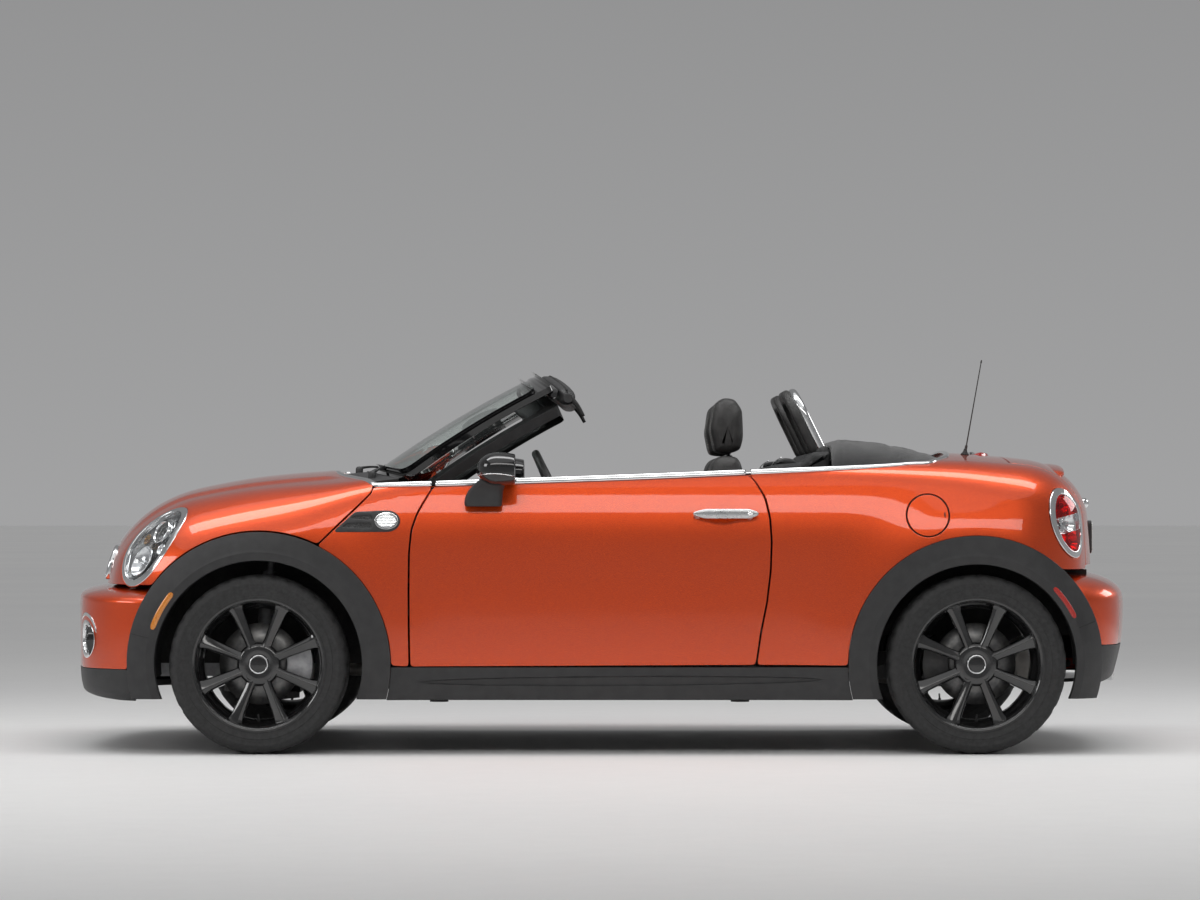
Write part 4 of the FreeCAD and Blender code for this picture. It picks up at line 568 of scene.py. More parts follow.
def lathe(name, prof, mats, center, axis=(0, 1, 0), n=96, up=(0, 0, 1), closed=False, sharp_deg=None, shade=True):
    """A profile of (radius, along axis) turned about an axis."""
    prof = np.asarray(prof, float)
    w = np.asarray(axis, float)
    w = w / np.linalg.norm(w)
    u = np.asarray(up, float)
    u = u - w * u.dot(w)
    if np.linalg.norm(u) < 1e-6:
        u = np.array([1.0, 0, 0]) - w * w[0]
    u /= np.linalg.norm(u)
    v = np.cross(w, u)
    t = np.linspace(0, 2 * math.pi, n, endpoint=False)
    V, m = [], len(prof)
    for a in t:
        V.append(np.asarray(center, float) + prof[:, :1] * (math.cos(a) * u + math.sin(a) * v) + prof[:, 1:] * w)
    V = np.concatenate(V)
    faces = []
    for i in range(n):
        j = (i + 1) % n
        for k in range(m if closed else m - 1):
            l = (k + 1) % m
            faces.append((i * m + k, j * m + k, j * m + l, i * m + l))
    ob = make_obj(name, V, faces, mats, smooth_on=shade)
    bm = bmesh.new()
    bm.from_mesh(ob.data)
    bmesh.ops.remove_doubles(bm, verts=bm.verts, dist=1e-6)
    bmesh.ops.recalc_face_normals(bm, faces=bm.faces)
    bm.to_mesh(ob.data)
    bm.free()
    if sharp_deg:
        sharp(ob, sharp_deg)
    return ob


def join(name, obs):
    """Several pieces made one mesh, materials kept."""
    mats, V, F, FM, SM, base = [], [], [], [], [], 0
    NN, any_n = [], False
    for o in obs:
        dg = bpy.context.evaluated_depsgraph_get()
        if o.modifiers:
            bpy.context.view_layer.update()
            me = bpy.data.meshes.new_from_object(o.evaluated_get(dg))
        else:
            me = o.data
        mp = []
        for m in me.materials:
            if m not in mats:
                mats.append(m)
            mp.append(mats.index(m))
        n = len(me.vertices)
        co = np.empty(n * 3)
        me.vertices.foreach_get("co", co)
        V.append(co.reshape(-1, 3))
        for p in me.polygons:
            F.append(tuple(v + base for v in p.vertices))
            FM.append(mp[p.material_index] if mp else 0)
            SM.append(p.use_smooth)
        base += n
    ob = make_obj(name, np.vstack(V), F, mats, None, FM, mm=False)
    ob.data.polygons.foreach_set("use_smooth", SM)
    for o in obs:
        d = o.data
        bpy.data.objects.remove(o)
    return ob

# ------------------------------------------------------------------ finishes

class Mat:
    """A node material around one Principled shader, with the pattern nodes it uses."""

    def __init__(self, name, **plain):
        self.m = bpy.data.materials.new(name)
        self.m.use_nodes = True
        self.t = self.m.node_tree
        self.t.nodes.clear()
        self.out = self.t.nodes.new("ShaderNodeOutputMaterial")
        self.b = self.t.nodes.new("ShaderNodeBsdfPrincipled")
        self.t.links.new(self.b.outputs[0], self.out.inputs[0])
        self.tc = self.t.nodes.new("ShaderNodeTexCoord")
        for k, v in plain.items():
            self.b.inputs[k.replace("_", " ")].default_value = v if not isinstance(v, tuple) or len(v) != 3 else (*v, 1.0)

    def node(self, kind, **props):
        n = self.t.nodes.new(kind)
        for k, v in props.items():
            if k in n.inputs.keys() or k.replace("_", " ") in n.inputs.keys():
                n.inputs[k if k in n.inputs.keys() else k.replace("_", " ")].default_value = v
            else:
                setattr(n, k, v)
        return n

    def link(self, a, b):
        self.t.links.new(a, b)

    def coords(self, scale=(1, 1, 1), rot=(0, 0, 0)):
        mp = self.node("ShaderNodeMapping")
        mp.inputs["Scale"].default_value = scale
        mp.inputs["Rotation"].default_value = rot
        self.link(self.tc.outputs["Object"], mp.inputs["Vector"])
        return mp.outputs[0]

    def noise(self, scale, detail=3.0, rough=0.5, vec=None, distortion=0.0):
        n = self.node("ShaderNodeTexNoise", Scale=scale, Detail=detail, Roughness=rough, Distortion=distortion)
        self.link(vec or self.tc.outputs["Object"], n.inputs["Vector"])
        return n.outputs["Fac"]

    def voronoi(self, scale, vec=None, feature="F1", out="Distance"):
        n = self.node("ShaderNodeTexVoronoi", Scale=scale)
        n.feature = feature
        self.link(vec or self.tc.outputs["Object"], n.inputs["Vector"])
        return n.outputs[out]

    def wave(self, scale, vec=None, distortion=0.0, direction="X", profile="SIN", dscale=1.0):
        n = self.node("ShaderNodeTexWave", Scale=scale, Distortion=distortion)
        n.wave_type, n.bands_direction, n.wave_profile = "BANDS", direction, profile
        n.inputs["Detail Scale"].default_value = dscale
        self.link(vec or self.tc.outputs["Object"], n.inputs["Vector"])
        return n.outputs["Fac"]

    def ramp(self, fac, stops, into=None, ease="LINEAR"):
        n = self.node("ShaderNodeValToRGB")
        cr = n.color_ramp
        cr.interpolation = ease
        while len(cr.elements) < len(stops):
            cr.elements.new(0.5)
        for e, (p, c) in zip(cr.elements, stops):
            e.position = p
            e.color = (c, c, c, 1) if isinstance(c, (int, float)) else (*c, 1)
        self.link(fac, n.inputs[0])
        if into:
            self.link(n.outputs[0], self.b.inputs[into])
        return n.outputs[0]

    def range(self, fac, a, b, lo, hi, into=None):
        n = self.node("ShaderNodeMapRange")
        n.inputs[1].default_value, n.inputs[2].default_value, n.inputs[3].default_value, n.inputs[4].default_value = a, b, lo, hi
        self.link(fac, n.inputs[0])
        if into:
            self.link(n.outputs[0], self.b.inputs[into])
        return n.outputs[0]

    def math(self, op, a, b=None, c=None):
        n = self.node("ShaderNodeMath", operation=op)
        for i, v in enumerate((a, b, c)):
            if v is None:
                continue
            if isinstance(v, (int, float)):
                n.inputs[i].default_value = v
            else:
                self.link(v, n.inputs[i])
        return n.outputs[0]

    def bump(self, height, strength=0.3, distance=0.001, into="Normal", base=None):
        n = self.node("ShaderNodeBump", Strength=strength, Distance=distance)
        self.link(height, n.inputs["Height"])
        if base is not None:
            self.link(base, n.inputs["Normal"])
        if into:
            self.link(n.outputs[0], self.b.inputs[into])
        return n.outputs[0]


def two(m, scale, a, b, detail=3.0, lo=0.35, hi=0.65, vec=None):
    m.ramp(m.noise(scale, detail, vec=vec), [(lo, a), (hi, b)], "Base Color")


def make_paint():
    m = Mat("metallic_orange", Metallic=0.72, Coat_Weight=1.0, Coat_Roughness=0.025, Coat_IOR=1.5)
    fl = m.voronoi(1700.0, out="Color")
    sep = m.node("ShaderNodeSeparateColor")
    m.link(fl, sep.inputs[0])
    m.ramp(sep.outputs[0], [(0.0, (0.48, 0.030, 0.0006)), (0.55, (0.64, 0.052, 0.0010)), (1.0, (0.86, 0.11, 0.0030))], "Base Color")
    m.range(sep.outputs[1], 0, 1, 0.30, 0.42, "Roughness")
    m.bump(sep.outputs[2], 0.10, 0.0004)
    peel = m.bump(m.noise(190.0, 2.0), 0.05, 0.0004, into="Coat Normal")
    return m.m


def make_plain(name, a, b, r0, r1, scale=40.0, metallic=0.0, bump=0.0, bscale=900.0, dist=0.0003, **kw):
    m = Mat(name, Metallic=metallic, **kw)
    two(m, scale, a, b)
    m.range(m.noise(scale * 1.7, 4.0), 0.3, 0.7, r0, r1, "Roughness")
    if bump:
        m.bump(m.noise(bscale, 2.0), bump, dist)
    return m.m


def make_grained(name, a, b, r0, r1, scale, dist=0.0004, strength=0.5, **kw):
    """Moulded plastic or leather with a cell grain."""
    m = Mat(name, **kw)
    two(m, 25.0, a, b)
    v = m.voronoi(scale, feature="DISTANCE_TO_EDGE")
    h = m.range(v, 0.0, 0.12, 0.0, 1.0)
    m.range(m.noise(scale * 0.4, 3.0), 0.3, 0.7, r0, r1, "Roughness")
    m.bump(h, strength, dist)
    return m.m


def make_glass(name, tint, rough=0.0, ior=1.45, weight=1.0):
    m = Mat(name, Roughness=rough, IOR=ior, Transmission_Weight=weight)
    m.ramp(m.noise(3.0, 2.0), [(0.3, tint), (0.7, tuple(min(1.0, c * 1.015) for c in tint))], "Base Color")
    m.range(m.noise(60.0, 3.0), 0.45, 0.75, rough, rough + 0.012, "Roughness")
    return m.m


def make_weave(name, a, b, scale, rough=0.85, dist=0.0006, strength=0.8, sheen=0.35, rot=(0, 0, 0)):
    m = Mat(name, Roughness=rough, Sheen_Weight=sheen)
    v = m.coords(rot=rot)
    w1 = m.wave(scale, v, 1.2, "X", dscale=3.0)
    w2 = m.wave(scale, v, 1.2, "Y", dscale=3.0)
    h = m.math("MAXIMUM", w1, m.math("MULTIPLY", w2, 0.8))
    n = m.noise(18.0, 5.0)
    k = m.math("ADD", m.math("MULTIPLY", h, 0.45), m.math("MULTIPLY", n, 0.55))
    m.ramp(k, [(0.25, a), (0.75, b)], "Base Color")
    m.bump(m.math("ADD", h, m.math("MULTIPLY", m.noise(700.0, 2.0), 0.5)), strength, dist)
    return m.m


def make_mesh_grille(name, a, b, scale, rough=0.4):
    m = Mat(name, Roughness=rough)
    v = m.voronoi(scale, feature="DISTANCE_TO_EDGE")
    m.ramp(v, [(0.08, b), (0.14, a)], "Base Color")
    m.bump(m.range(v, 0.05, 0.16, 1.0, 0.0), 1.0, 0.002)
    return m.m


PAINT = make_paint()
PAINT_IN = make_plain("paint_inside", (0.36, 0.020, 0.002), (0.44, 0.028, 0.003), 0.45, 0.6, 30.0, bump=0.15, bscale=500.0)
TRIM = make_grained("black_trim_plastic", (0.022, 0.022, 0.023), (0.030, 0.030, 0.031), 0.42, 0.58, 900.0, 0.00025, 0.35)
GLOSS = make_plain("gloss_black", (0.006, 0.006, 0.0065), (0.010, 0.010, 0.0105), 0.05, 0.11, 12.0, Coat_Weight=0.6, Coat_Roughness=0.03)
CHROME = make_plain("bright_chrome", (0.78, 0.79, 0.80), (0.86, 0.865, 0.87), 0.045, 0.10, 14.0, metallic=1.0)
SATIN = make_plain("satin_metal", (0.52, 0.53, 0.54), (0.60, 0.605, 0.61), 0.24, 0.36, 60.0, metallic=1.0, bump=0.06, bscale=400.0)
HOOP = make_plain("polished_hoop", (0.72, 0.73, 0.74), (0.80, 0.805, 0.81), 0.10, 0.17, 30.0, metallic=1.0)
RUBBER = make_plain("seal_rubber", (0.010, 0.010, 0.010), (0.016, 0.016, 0.016), 0.6, 0.8, 80.0, bump=0.3, bscale=700.0)
CAST = make_plain("cast_metal", (0.30, 0.30, 0.31), (0.42, 0.42, 0.43), 0.45, 0.65, 35.0, metallic=0.9, bump=0.5, bscale=260.0, dist=0.0008)
STEEL = make_plain("exhaust_steel", (0.36, 0.34, 0.32), (0.55, 0.53, 0.50), 0.28, 0.45, 18.0, metallic=1.0, bump=0.15, bscale=300.0)
CHASSIS = make_plain("chassis_black", (0.018, 0.018, 0.019), (0.034, 0.033, 0.032), 0.5, 0.75, 22.0, bump=0.4, bscale=300.0, dist=0.0006)
UNDER = make_grained("underbody_coating", (0.020, 0.020, 0.020), (0.036, 0.035, 0.034), 0.75, 0.95, 320.0, 0.0008, 0.7)
SCREEN = make_glass("windscreen_glass", (0.86, 0.93, 0.90))
CLEAR = make_glass("lamp_lens", (0.97, 0.98, 0.985))
RED = make_glass("red_lens", (0.74, 0.020, 0.016), 0.04)
AMBER = make_glass("amber_lens", (0.95, 0.30, 0.03), 0.10)
WHEEL = make_plain("wheel_black", (0.008, 0.008, 0.0085), (0.014, 0.014, 0.0145), 0.10, 0.18, 30.0, Coat_Weight=1.0, Coat_Roughness=0.04)
CABIN = make_grained("cabin_plastic", (0.020, 0.020, 0.021), (0.028, 0.028, 0.029), 0.5, 0.68, 620.0, 0.0004, 0.55)
LEATHER = make_grained("black_leather", (0.018, 0.017, 0.017), (0.030, 0.029, 0.028), 0.36, 0.52, 420.0, 0.0006, 0.5)
WLEATHER = make_grained("wheel_leather", (0.016, 0.016, 0.016), (0.024, 0.023, 0.023), 0.34, 0.48, 700.0, 0.0003, 0.45)
STITCH = make_plain("stitch_thread", (0.30, 0.29, 0.27), (0.42, 0.41, 0.38), 0.6, 0.8, 400.0)
ROOF = make_weave("roof_fabric", (0.010, 0.010, 0.011), (0.030, 0.030, 0.031), 520.0, 0.9, 0.0006, 0.7)
CARPET = make_weave("carpet", (0.008, 0.008, 0.008), (0.030, 0.030, 0.030), 260.0, 0.95, 0.0015, 1.0)


def make_tyre():
    m = Mat("tyre_rubber")
    two(m, 60.0, (0.014, 0.014, 0.0145), (0.024, 0.024, 0.0245))
    m.range(m.noise(140.0, 4.0), 0.3, 0.7, 0.55, 0.72, "Roughness")
    m.bump(m.noise(1200.0, 2.0), 0.25, 0.0003)
    return m.m


def make_mirror():
    m = Mat("mirror_glass", Metallic=1.0)
    m.ramp(m.noise(5.0, 2.0), [(0.3, (0.80, 0.82, 0.84)), (0.7, (0.84, 0.86, 0.88))], "Base Color")
    m.range(m.noise(40.0, 2.0), 0.3, 0.7, 0.01, 0.03, "Roughness")
    return m.m


def make_reflector():
    """A lamp's fluted bright bowl."""
    m = Mat("lamp_reflector", Metallic=1.0)
    m.ramp(m.noise(30.0, 2.0), [(0.3, (0.74, 0.75, 0.77)), (0.7, (0.86, 0.87, 0.88))], "Base Color")
    m.range(m.noise(90.0, 2.0), 0.3, 0.7, 0.06, 0.14, "Roughness")
    m.bump(m.wave(60.0, None, 0.3, "Z"), 0.15, 0.001)
    return m.m


TYRE, MIRROR, REFLECT = make_tyre(), make_mirror(), make_reflector()
GRILLE_MESH = make_mesh_grille("vent_mesh", (0.008, 0.008, 0.008), (0.045, 0.045, 0.046), 130.0)
MADE = []


def add(ob, body, slot=None, *nodes):
    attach(ob, body)
    if nodes:
        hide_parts(*nodes)
    MADE.append(ob)
    return ob

# ------------------------------------------------------------------ outlines on the body

def geo(f, O, P0, P1, n):
    """Points on the form between P0 and P1, seen from O."""
    s = np.linspace(0, 1, n)[:, None]
    Q = P0 * (1 - s) + P1 * s
    return hit(f, np.asarray(O, float)[None, :], Q - np.asarray(O, float), 0, 1500)


def side_pts(pts, f=upper):
    pts = np.asarray(pts, float)
    return on_side(pts[:, 0], pts[:, 1], f)


def arc(cx, R, a0, a1, n=40):
    t = np.radians(np.linspace(a0, a1, n))
    return np.stack([cx + R * np.cos(t), AZ + R * np.sin(t)], 1)


def dense(pts, step=12.0):
    return resample(np.asarray(pts, float), step, closed=False)


def both_halves(half):
    """A loop from its left half, which runs from one point at y 0 to another."""
    return np.vstack([half, flip(half)[::-1][1:-1]]) if abs(half[0][1]) < 1e-6 and abs(half[-1][1]) < 1e-6 else np.vstack([half, flip(half)[::-1]])


def ellipse_on(f, c, n, up, a, b, k=72):
    n = n / np.linalg.norm(n)
    u = up - n * up.dot(n)
    u /= np.linalg.norm(u)
    w = np.cross(n, u)
    t = np.linspace(0, 2 * math.pi, k, endpoint=False)
    O = c + u * (a * np.cos(t))[:, None] + w * (b * np.sin(t))[:, None] - n * 150
    return hit(f, O, np.broadcast_to(n, O.shape), 0, 500)


def cowl_pt(t):
    t = np.radians(np.asarray(t, float))
    return -786 - 172 * np.cos(t) ** 1.6, 735 * np.sin(t)


BONNET_DOME = Dome(upper, (-1200, 0, 430), (-0.45, 0, 0.9))
REAR_DOME = Dome(upper, (1150, 0, 500), (0.0, 0, 1.0))
LEFT = Side(upper)

# bonnet
front = []
for y, z in dense([(0, 722), (-330, 722), (-372, 700), (-395, 655), (-395, 580)], 10):
    front.append(hit(upper, np.array([[-1400.0, y, z]]), np.array([[-1.0, 0, 0]]), 20, 600)[0])
a = np.radians(np.linspace(48.5, 78.5, 26))
low = hit(upper, np.array([[-1400.0, 0, 580.0]]), np.stack([-np.cos(a), -np.sin(a), 0 * a], 1), 20, 1200)
arch_pts = side_pts(arc(FAX, 460, 143.7, 64.1, 50))
scut = side_pts(dense([(-976, 721), (-960, 736), (-905, 790), (-850, 843), (-792, 902)], 10))
cx, cy = cowl_pt(np.linspace(-86, 0, 60))
cowl_edge = on_top(cx, cy)
cowl_edge[-1][1] = 0.0
rise = geo(upper, (-790, 0, 600), scut[-1], cowl_edge[0], 10)[1:-1]
half = np.vstack([front, low, arch_pts, scut, rise, cowl_edge])
HEAD_HOLE = ellipse_on(upper, HEAD_C, HEAD_N, HEAD_UP, 168, 120)
bonnet = panel("bonnet_panel", BONNET_DOME, [both_halves(half), HEAD_HOLE, flip(HEAD_HOLE)], [PAINT, PAINT_IN], depth=14, back=1.6, back_mat=1)
add(bonnet, "bonnet", "paint", "bonnet")

# wings
edge_l = np.array([(x - 6, z) for x, z in DOOR_FRONT])
scut_w = np.array([(x + 4, z - 4) for x, z in SCUTTLE_LINE[:4]] + [(-972, 717.5)])
top_w = [(x, BELT(x) + 2) for x in np.linspace(-582, -788, 12)]
aw = arc(FAX, 455, 63.6, -0.5, 44)
wing_line = np.vstack([dense(edge_l[::-1], 10), top_w, dense(scut_w, 8), aw, dense([aw[-1], edge_l[-1]], 8)])
wing_l = panel("front_wing_left", LEFT, [side_pts(wing_line)], [PAINT, PAINT_IN], depth=16, back=1.6, back_mat=1, grid=0.016)
wing_r = mirrored(wing_l, "front_wing_right")

# doors
DOOR_TOP = [DOOR_REAR[-1]] + [(x, float(BELT(x))) for x in (400, 300, 200, 100, 0, -100, -200, -300, -400, -500)] + [DOOR_FRONT[0]]
door_line = np.vstack([dense(DOOR_FRONT, 10), dense([DOOR_FRONT[-1], DOOR_REAR[0]], 10)[1:-1], dense(DOOR_REAR, 10), dense(DOOR_TOP, 10)[1:-1]])


def handle_dish(P):
    d = np.hypot(P[:, 0] - 420, P[:, 2] - 820)
    return -26.0 * np.clip(1 - (d / 57.0) ** 2, 0, 1) ** 0.8


door_skin = panel("door_skin_left", LEFT, [side_pts(door_line)], [PAINT, PAINT_IN], depth=18, back=1.6, back_mat=1, grid=0.0185, offset=handle_dish)
door_skin_r = mirrored(door_skin, "door_skin_right")

# rear body
redge = dense([(x + 6, z) for x, z in DOOR_REAR], 10)
belt_r = np.array([(x, BELT(x) + 3) for x in np.linspace(513, 1090, 50)])
side_part = np.vstack([side_pts(redge), side_pts(belt_r)[1:]])
COCK = np.array([(1090, 0), (1128, -690), (1170, -628), (1203, -540), (1226, -400), (1236, -200), (1238, 0)], float)
COCK[0, 1] = side_part[-1][1]
ck = curve2(COCK, 60)[1:]
cock = on_top(ck[:, 0], ck[:, 1], z0=700)
cock[-1][1] = 0
top_loop = np.vstack([side_part, cock])
arr = side_pts(arc(RAX, 442, 180.5, 47.5, 90))
a = np.radians(np.linspace(70, 40, 22))
low_r = hit(upper, np.array([[1380.0, 0, 634.0]]), np.stack([np.cos(a), -np.sin(a), 0 * a], 1), 20, 1200)
k = low_r[:, 1] < -568
low_r = low_r[k]
low_r = low_r[low_r[:, 0] > arr[-1][0] + 3]
t = np.radians(np.linspace(93, 2, 60))
notch = hit(upper, np.array([[1400.0, -565, 640]]), np.stack([np.sin(t), 0 * t, np.cos(t)], 1), 20, 700)
notch = notch[(notch[:, 0] > 1428) & (notch[:, 2] > 636)]
lid_edge = on_top(np.full(40, 1426.0), np.linspace(-563, 0, 40))
lid_edge[-1][1] = 0
half_low = np.vstack([arr, low_r, notch, lid_edge])
bottom = side_pts(dense([(536, 306), (848, 304)], 10))
# one loop: left side from the deck's middle down the tail, round the arch, the sill, up the door edge, the cockpit, and back
left_half = np.vstack([half_low[::-1], bottom[::-1][1:], top_loop])
loop = both_halves(left_half)
TAIL_HOLE = ellipse_on(upper, TAIL_C, TAIL_N, TAIL_UP, 126, 96)
th = np.linspace(0, 2 * math.pi, 60, endpoint=False)
flap_ring = lambda R: on_side(1123 + R * np.cos(th), 820 + R * np.sin(th))
rear = panel("rear_quarters", REAR_DOME, [loop, TAIL_HOLE, flip(TAIL_HOLE), flap_ring(76)], [PAINT, PAINT_IN], depth=16, back=1.6, back_mat=1)
flap = panel("fuel_flap_skin", LEFT, [flap_ring(71)], [PAINT, PAINT_IN], depth=9, back=2.0, back_mat=1, corner=1)
add(flap, "fuel_flap", "paint", "fuel_flap")

# boot lid
LID_DOME = Dome(upper, (1350, 0, 560), (0.6, 0, 0.8))
t = np.radians(np.linspace(2, 93, 60))
lid_side = hit(upper, np.array([[1400.0, -560, 640]]), np.stack([np.sin(t), 0 * t, np.cos(t)], 1), 20, 700)
lid_side = lid_side[(lid_side[:, 0] > 1433) & (lid_side[:, 2] > 648)]
lid_top = on_top(np.full(40, 1431.0), np.linspace(0, -558, 40))
lid_top[0][1] = 0
lid_low = hit(upper, np.stack([np.full(30, 1400.0), np.linspace(-558, 0, 30), np.full(30, 646.0)], 1), np.array([[1.0, 0, 0]]), 20, 700)
lid_low[-1][1] = 0
lid = panel("boot_lid_skin", LID_DOME, [both_halves(np.vstack([lid_top, lid_side, lid_low]))], [PAINT, PAINT_IN], depth=18, back=1.6, back_mat=1)

# bumpers
FB_DOME = Dome(bumper_f, (-1450, 0, 400), (-1, 0, 0))
RB_DOME = Dome(bumper_r, (1440, 0, 430), (1, 0, 0))


def level(f, x0, sgn, z, a0, a1, n):
    a = np.radians(np.linspace(a0, a1, n))
    return hit(f, np.array([[x0, 0, float(z)]]), np.stack([sgn * np.cos(a), -np.sin(a), 0 * a], 1), 12, 1200)


def end_arc(f, cx, R, z0, z1, n, fwd):
    z = np.linspace(z0, z1, n)
    x = cx + fwd * np.sqrt(R * R - (z - AZ) ** 2)
    return on_side(x, z, f)


def bumper_loop(f, x0, sgn, z0, z1, cx, R, fwd):
    up_ = level(f, x0, sgn, z1, 0, 88, 60)
    lo_ = level(f, x0, sgn, z0, 88, 0, 60)
    e = end_arc(f, cx, R, z1, z0, 30, fwd)
    up_ = up_[(up_[:, 0] - e[0][0]) * sgn > 4]
    lo_ = lo_[(lo_[:, 0] - e[-1][0]) * sgn > 4]
    up_[0][1] = lo_[-1][1] = 0.0
    return both_halves(np.vstack([up_, e, lo_]))


def ring_x(f, yc, zc, R, x0, sgn, k=60, pts=None):
    t = np.linspace(0, 2 * math.pi, k, endpoint=False)
    yz = np.stack([yc + R * np.cos(t), zc + R * np.sin(t)], 1) if pts is None else np.asarray(pts, float)
    O = np.stack([np.full(len(yz), float(x0)), yz[:, 0], yz[:, 1]], 1)
    return hit(f, O, np.array([[float(sgn), 0, 0]]), 20, 700)


MOUTH = [(-330, 312), (-400, 336), (-430, 408), (-405, 434), (405, 434), (430, 408), (400, 336), (330, 312)]
mouth_loop = ring_x(bumper_f, 0, 0, 0, -1450, -1, pts=resample(MOUTH, 10))
fb = panel("front_bumper_skin", FB_DOME, [bumper_loop(bumper_f, -1450, -1, 291, 577, FAX, 455, -1), mouth_loop, ring_x(bumper_f, -606, 390, 66, -1450, -1), ring_x(bumper_f, 606, 390, 66, -1450, -1)],
           [PAINT, PAINT_IN], depth=22, back=2.5, back_mat=1, inset=1.0, corner=5)
lip = panel("front_lip", FB_DOME, [bumper_loop(bumper_f, -1450, -1, 176, 288, FAX, 455, -1)], [TRIM, TRIM], depth=22, back=3.0, back_mat=1, inset=1.0, corner=3)
rb = panel("rear_bumper_skin", RB_DOME, [bumper_loop(bumper_r, 1440, 1, 373, 622, RAX, 442, 1)], [PAINT, PAINT_IN], depth=22, back=2.5, back_mat=1, inset=1.0, corner=5)
diff = panel("diffuser", RB_DOME, [bumper_loop(bumper_r, 1440, 1, 228, 369, RAX, 442, 1), ring_x(bumper_r, -75, 262, 46, 1500, 1), ring_x(bumper_r, 75, 262, 46, 1500, 1)], [TRIM, TRIM], depth=22, back=3.0, back_mat=1, inset=1.0, corner=3)

# ------------------------------------------------------------------ bright strip along the belt

def strip_from(P, N, name, body, slot="bright_trim", w=21.0, h=7.0, lift=7.0, mat=None, up_hint=(0, 0, 1)):
    """A rounded bright bar along points P of a panel's edge, N the body's normal there."""
    P, N = np.asarray(P, float), np.asarray(N, float)
    t = np.gradient(P, axis=0)
    t /= np.linalg.norm(t, axis=1, keepdims=True)
    B = np.cross(t, N)
    s = np.sign(np.sum(B[0] * np.asarray(up_hint)))
    B *= s if s else 1
    C = P + B * lift + N * 0.5
    k = np.linspace(0, math.pi, 9)
    sec = np.vstack([np.stack([h * np.sin(k) ** 0.7, -w / 2 * np.cos(k)], 1), [[-3.5, w / 2 - 1], [-3.5, -w / 2 + 1]]])
    ob = sweep(name, C, sec, [mat or CHROME], frames=(N, B))
    return add(ob, body, slot)


cx, cy = cowl_pt(np.linspace(-22, -86, 46))
c1 = on_top(cx - 4, cy)
side1 = side_pts([(x, float(BELT(x)) + 4) for x in np.linspace(-790, -584, 24)])
join1 = geo(upper, (-790, 0, 600), c1[-1], side1[0], 8)[1:-1]
P = relax(resample(np.vstack([c1, join1, side1]), 8, closed=False), 10, closed=False)
strip_a = strip_from(P, grad(upper, P), "belt_strip_front_left", "body", up_hint=(0.7, 0, 0.7))
P = side_pts([(x, float(BELT(x)) + 4) for x in np.linspace(-571, 499, 110)])
strip_b = strip_from(P, grad(upper, P), "belt_strip_door_left", "door_left")
P = np.vstack([side_pts([(x, float(BELT(x)) + 4) for x in np.linspace(516, 1090, 60)]), cock])
P = relax(resample(P, 8, closed=False), 8, closed=False)
P = np.vstack([P, flip(P)[::-1][1:]])
strip_c = strip_from(P, grad(upper, P), "belt_strip_rear", "body")
add(mirrored(strip_a, "belt_strip_front_right"), "body", "bright_trim")
add(mirrored(strip_b, "belt_strip_door_right"), "door_right", "bright_trim")

# ------------------------------------------------------------------ black trims

FRONT_RIM = (Spl([(-32, 740), (-20, 770), (0, 790), (20, 806), (40, 808), (60, 813), (90, 824), (120, 836), (150, 838), (180, 828), (200, 800), (212, 780)]),
             Spl([(-32, 770), (-20, 792), (0, 826), (20, 836), (40, 839), (60, 840), (90, 841), (120, 841), (150, 841), (180, 832), (200, 808), (212, 790)]))
REAR_RIM = (Spl([(-32, 640), (-20, 680), (0, 724), (20, 768), (40, 790), (60, 818), (90, 834), (120, 840), (150, 841), (180, 832), (200, 802), (212, 785)]),
            Spl([(-32, 735), (-20, 765), (0, 798), (20, 820), (40, 833), (60, 838), (90, 841), (120, 841), (150, 841), (180, 832), (200, 808), (212, 790)]))


def arch_y(rim, t, k):
    yo, yi = rim[0](t), rim[1](t)
    y = yi + (yo - yi) * np.maximum(k, 0) ** 1.6
    band = np.clip((0.30 - k) / 0.30, 0, 1)
    return y - 9.0 * band ** 1.2


def arch_trim(name, cx, r_in, r_out, rim, sgn):
    T = np.linspace(-32, 212, 170)
    K = [1.0, 0.985, 0.95, 0.85, 0.7, 0.55, 0.42, 0.34, 0.305, 0.295, 0.26, 0.18, 0.08, 0.02]
    rows = []
    for t in T:
        c, s = math.cos(math.radians(t)), math.sin(math.radians(t))
        yo = float(arch_y(rim, t, 1.0))
        sec = [(r_out - 3, yo - 26), (r_out - 0.5, yo - 14), (r_out - 0.5, yo - 2.5)]
        for k in K:
            r = r_in + (r_out - 1.0 - r_in) * k
            y = float(arch_y(rim, t, k))
            if 0.295 <= k <= 0.305:
                y += 0.8
            sec.append((r, y))
        yi = float(arch_y(rim, t, 0.0))
        sec += [(r_in + 0.6, yi - 2.0), (r_in, yi - 5), (r_in, yi - 29), (r_in + 3, yi - 29), (r_in + 4, yi - 8)]
        rows.append([(cx + sgn * r * c, -y, AZ + r * s) for r, y in sec])
    V = np.array(rows)
    n, m = V.shape[:2]
    faces = [(i * m + k, (i + 1) * m + k, (i + 1) * m + k + 1, i * m + k + 1) for i in range(n - 1) for k in range(m - 1)]
    ob = make_obj(name, V.reshape(-1, 3), faces, [TRIM])
    bm = bmesh.new()
    bm.from_mesh(ob.data)
    bmesh.ops.bisect_plane(bm, geom=bm.verts[:] + bm.edges[:] + bm.faces[:], plane_co=(0, 0, 0.188), plane_no=(0, 0, -1), clear_outer=True)
    bmesh.ops.recalc_face_normals(bm, faces=bm.faces)
    bm.to_mesh(ob.data)
    bm.free()
    # outside is away from the car's middle
    me = ob.data
    if sum(p.normal.y * p.area for p in me.polygons) > 0:
        me.flip_normals()
    sharp(ob, 24)
    return ob


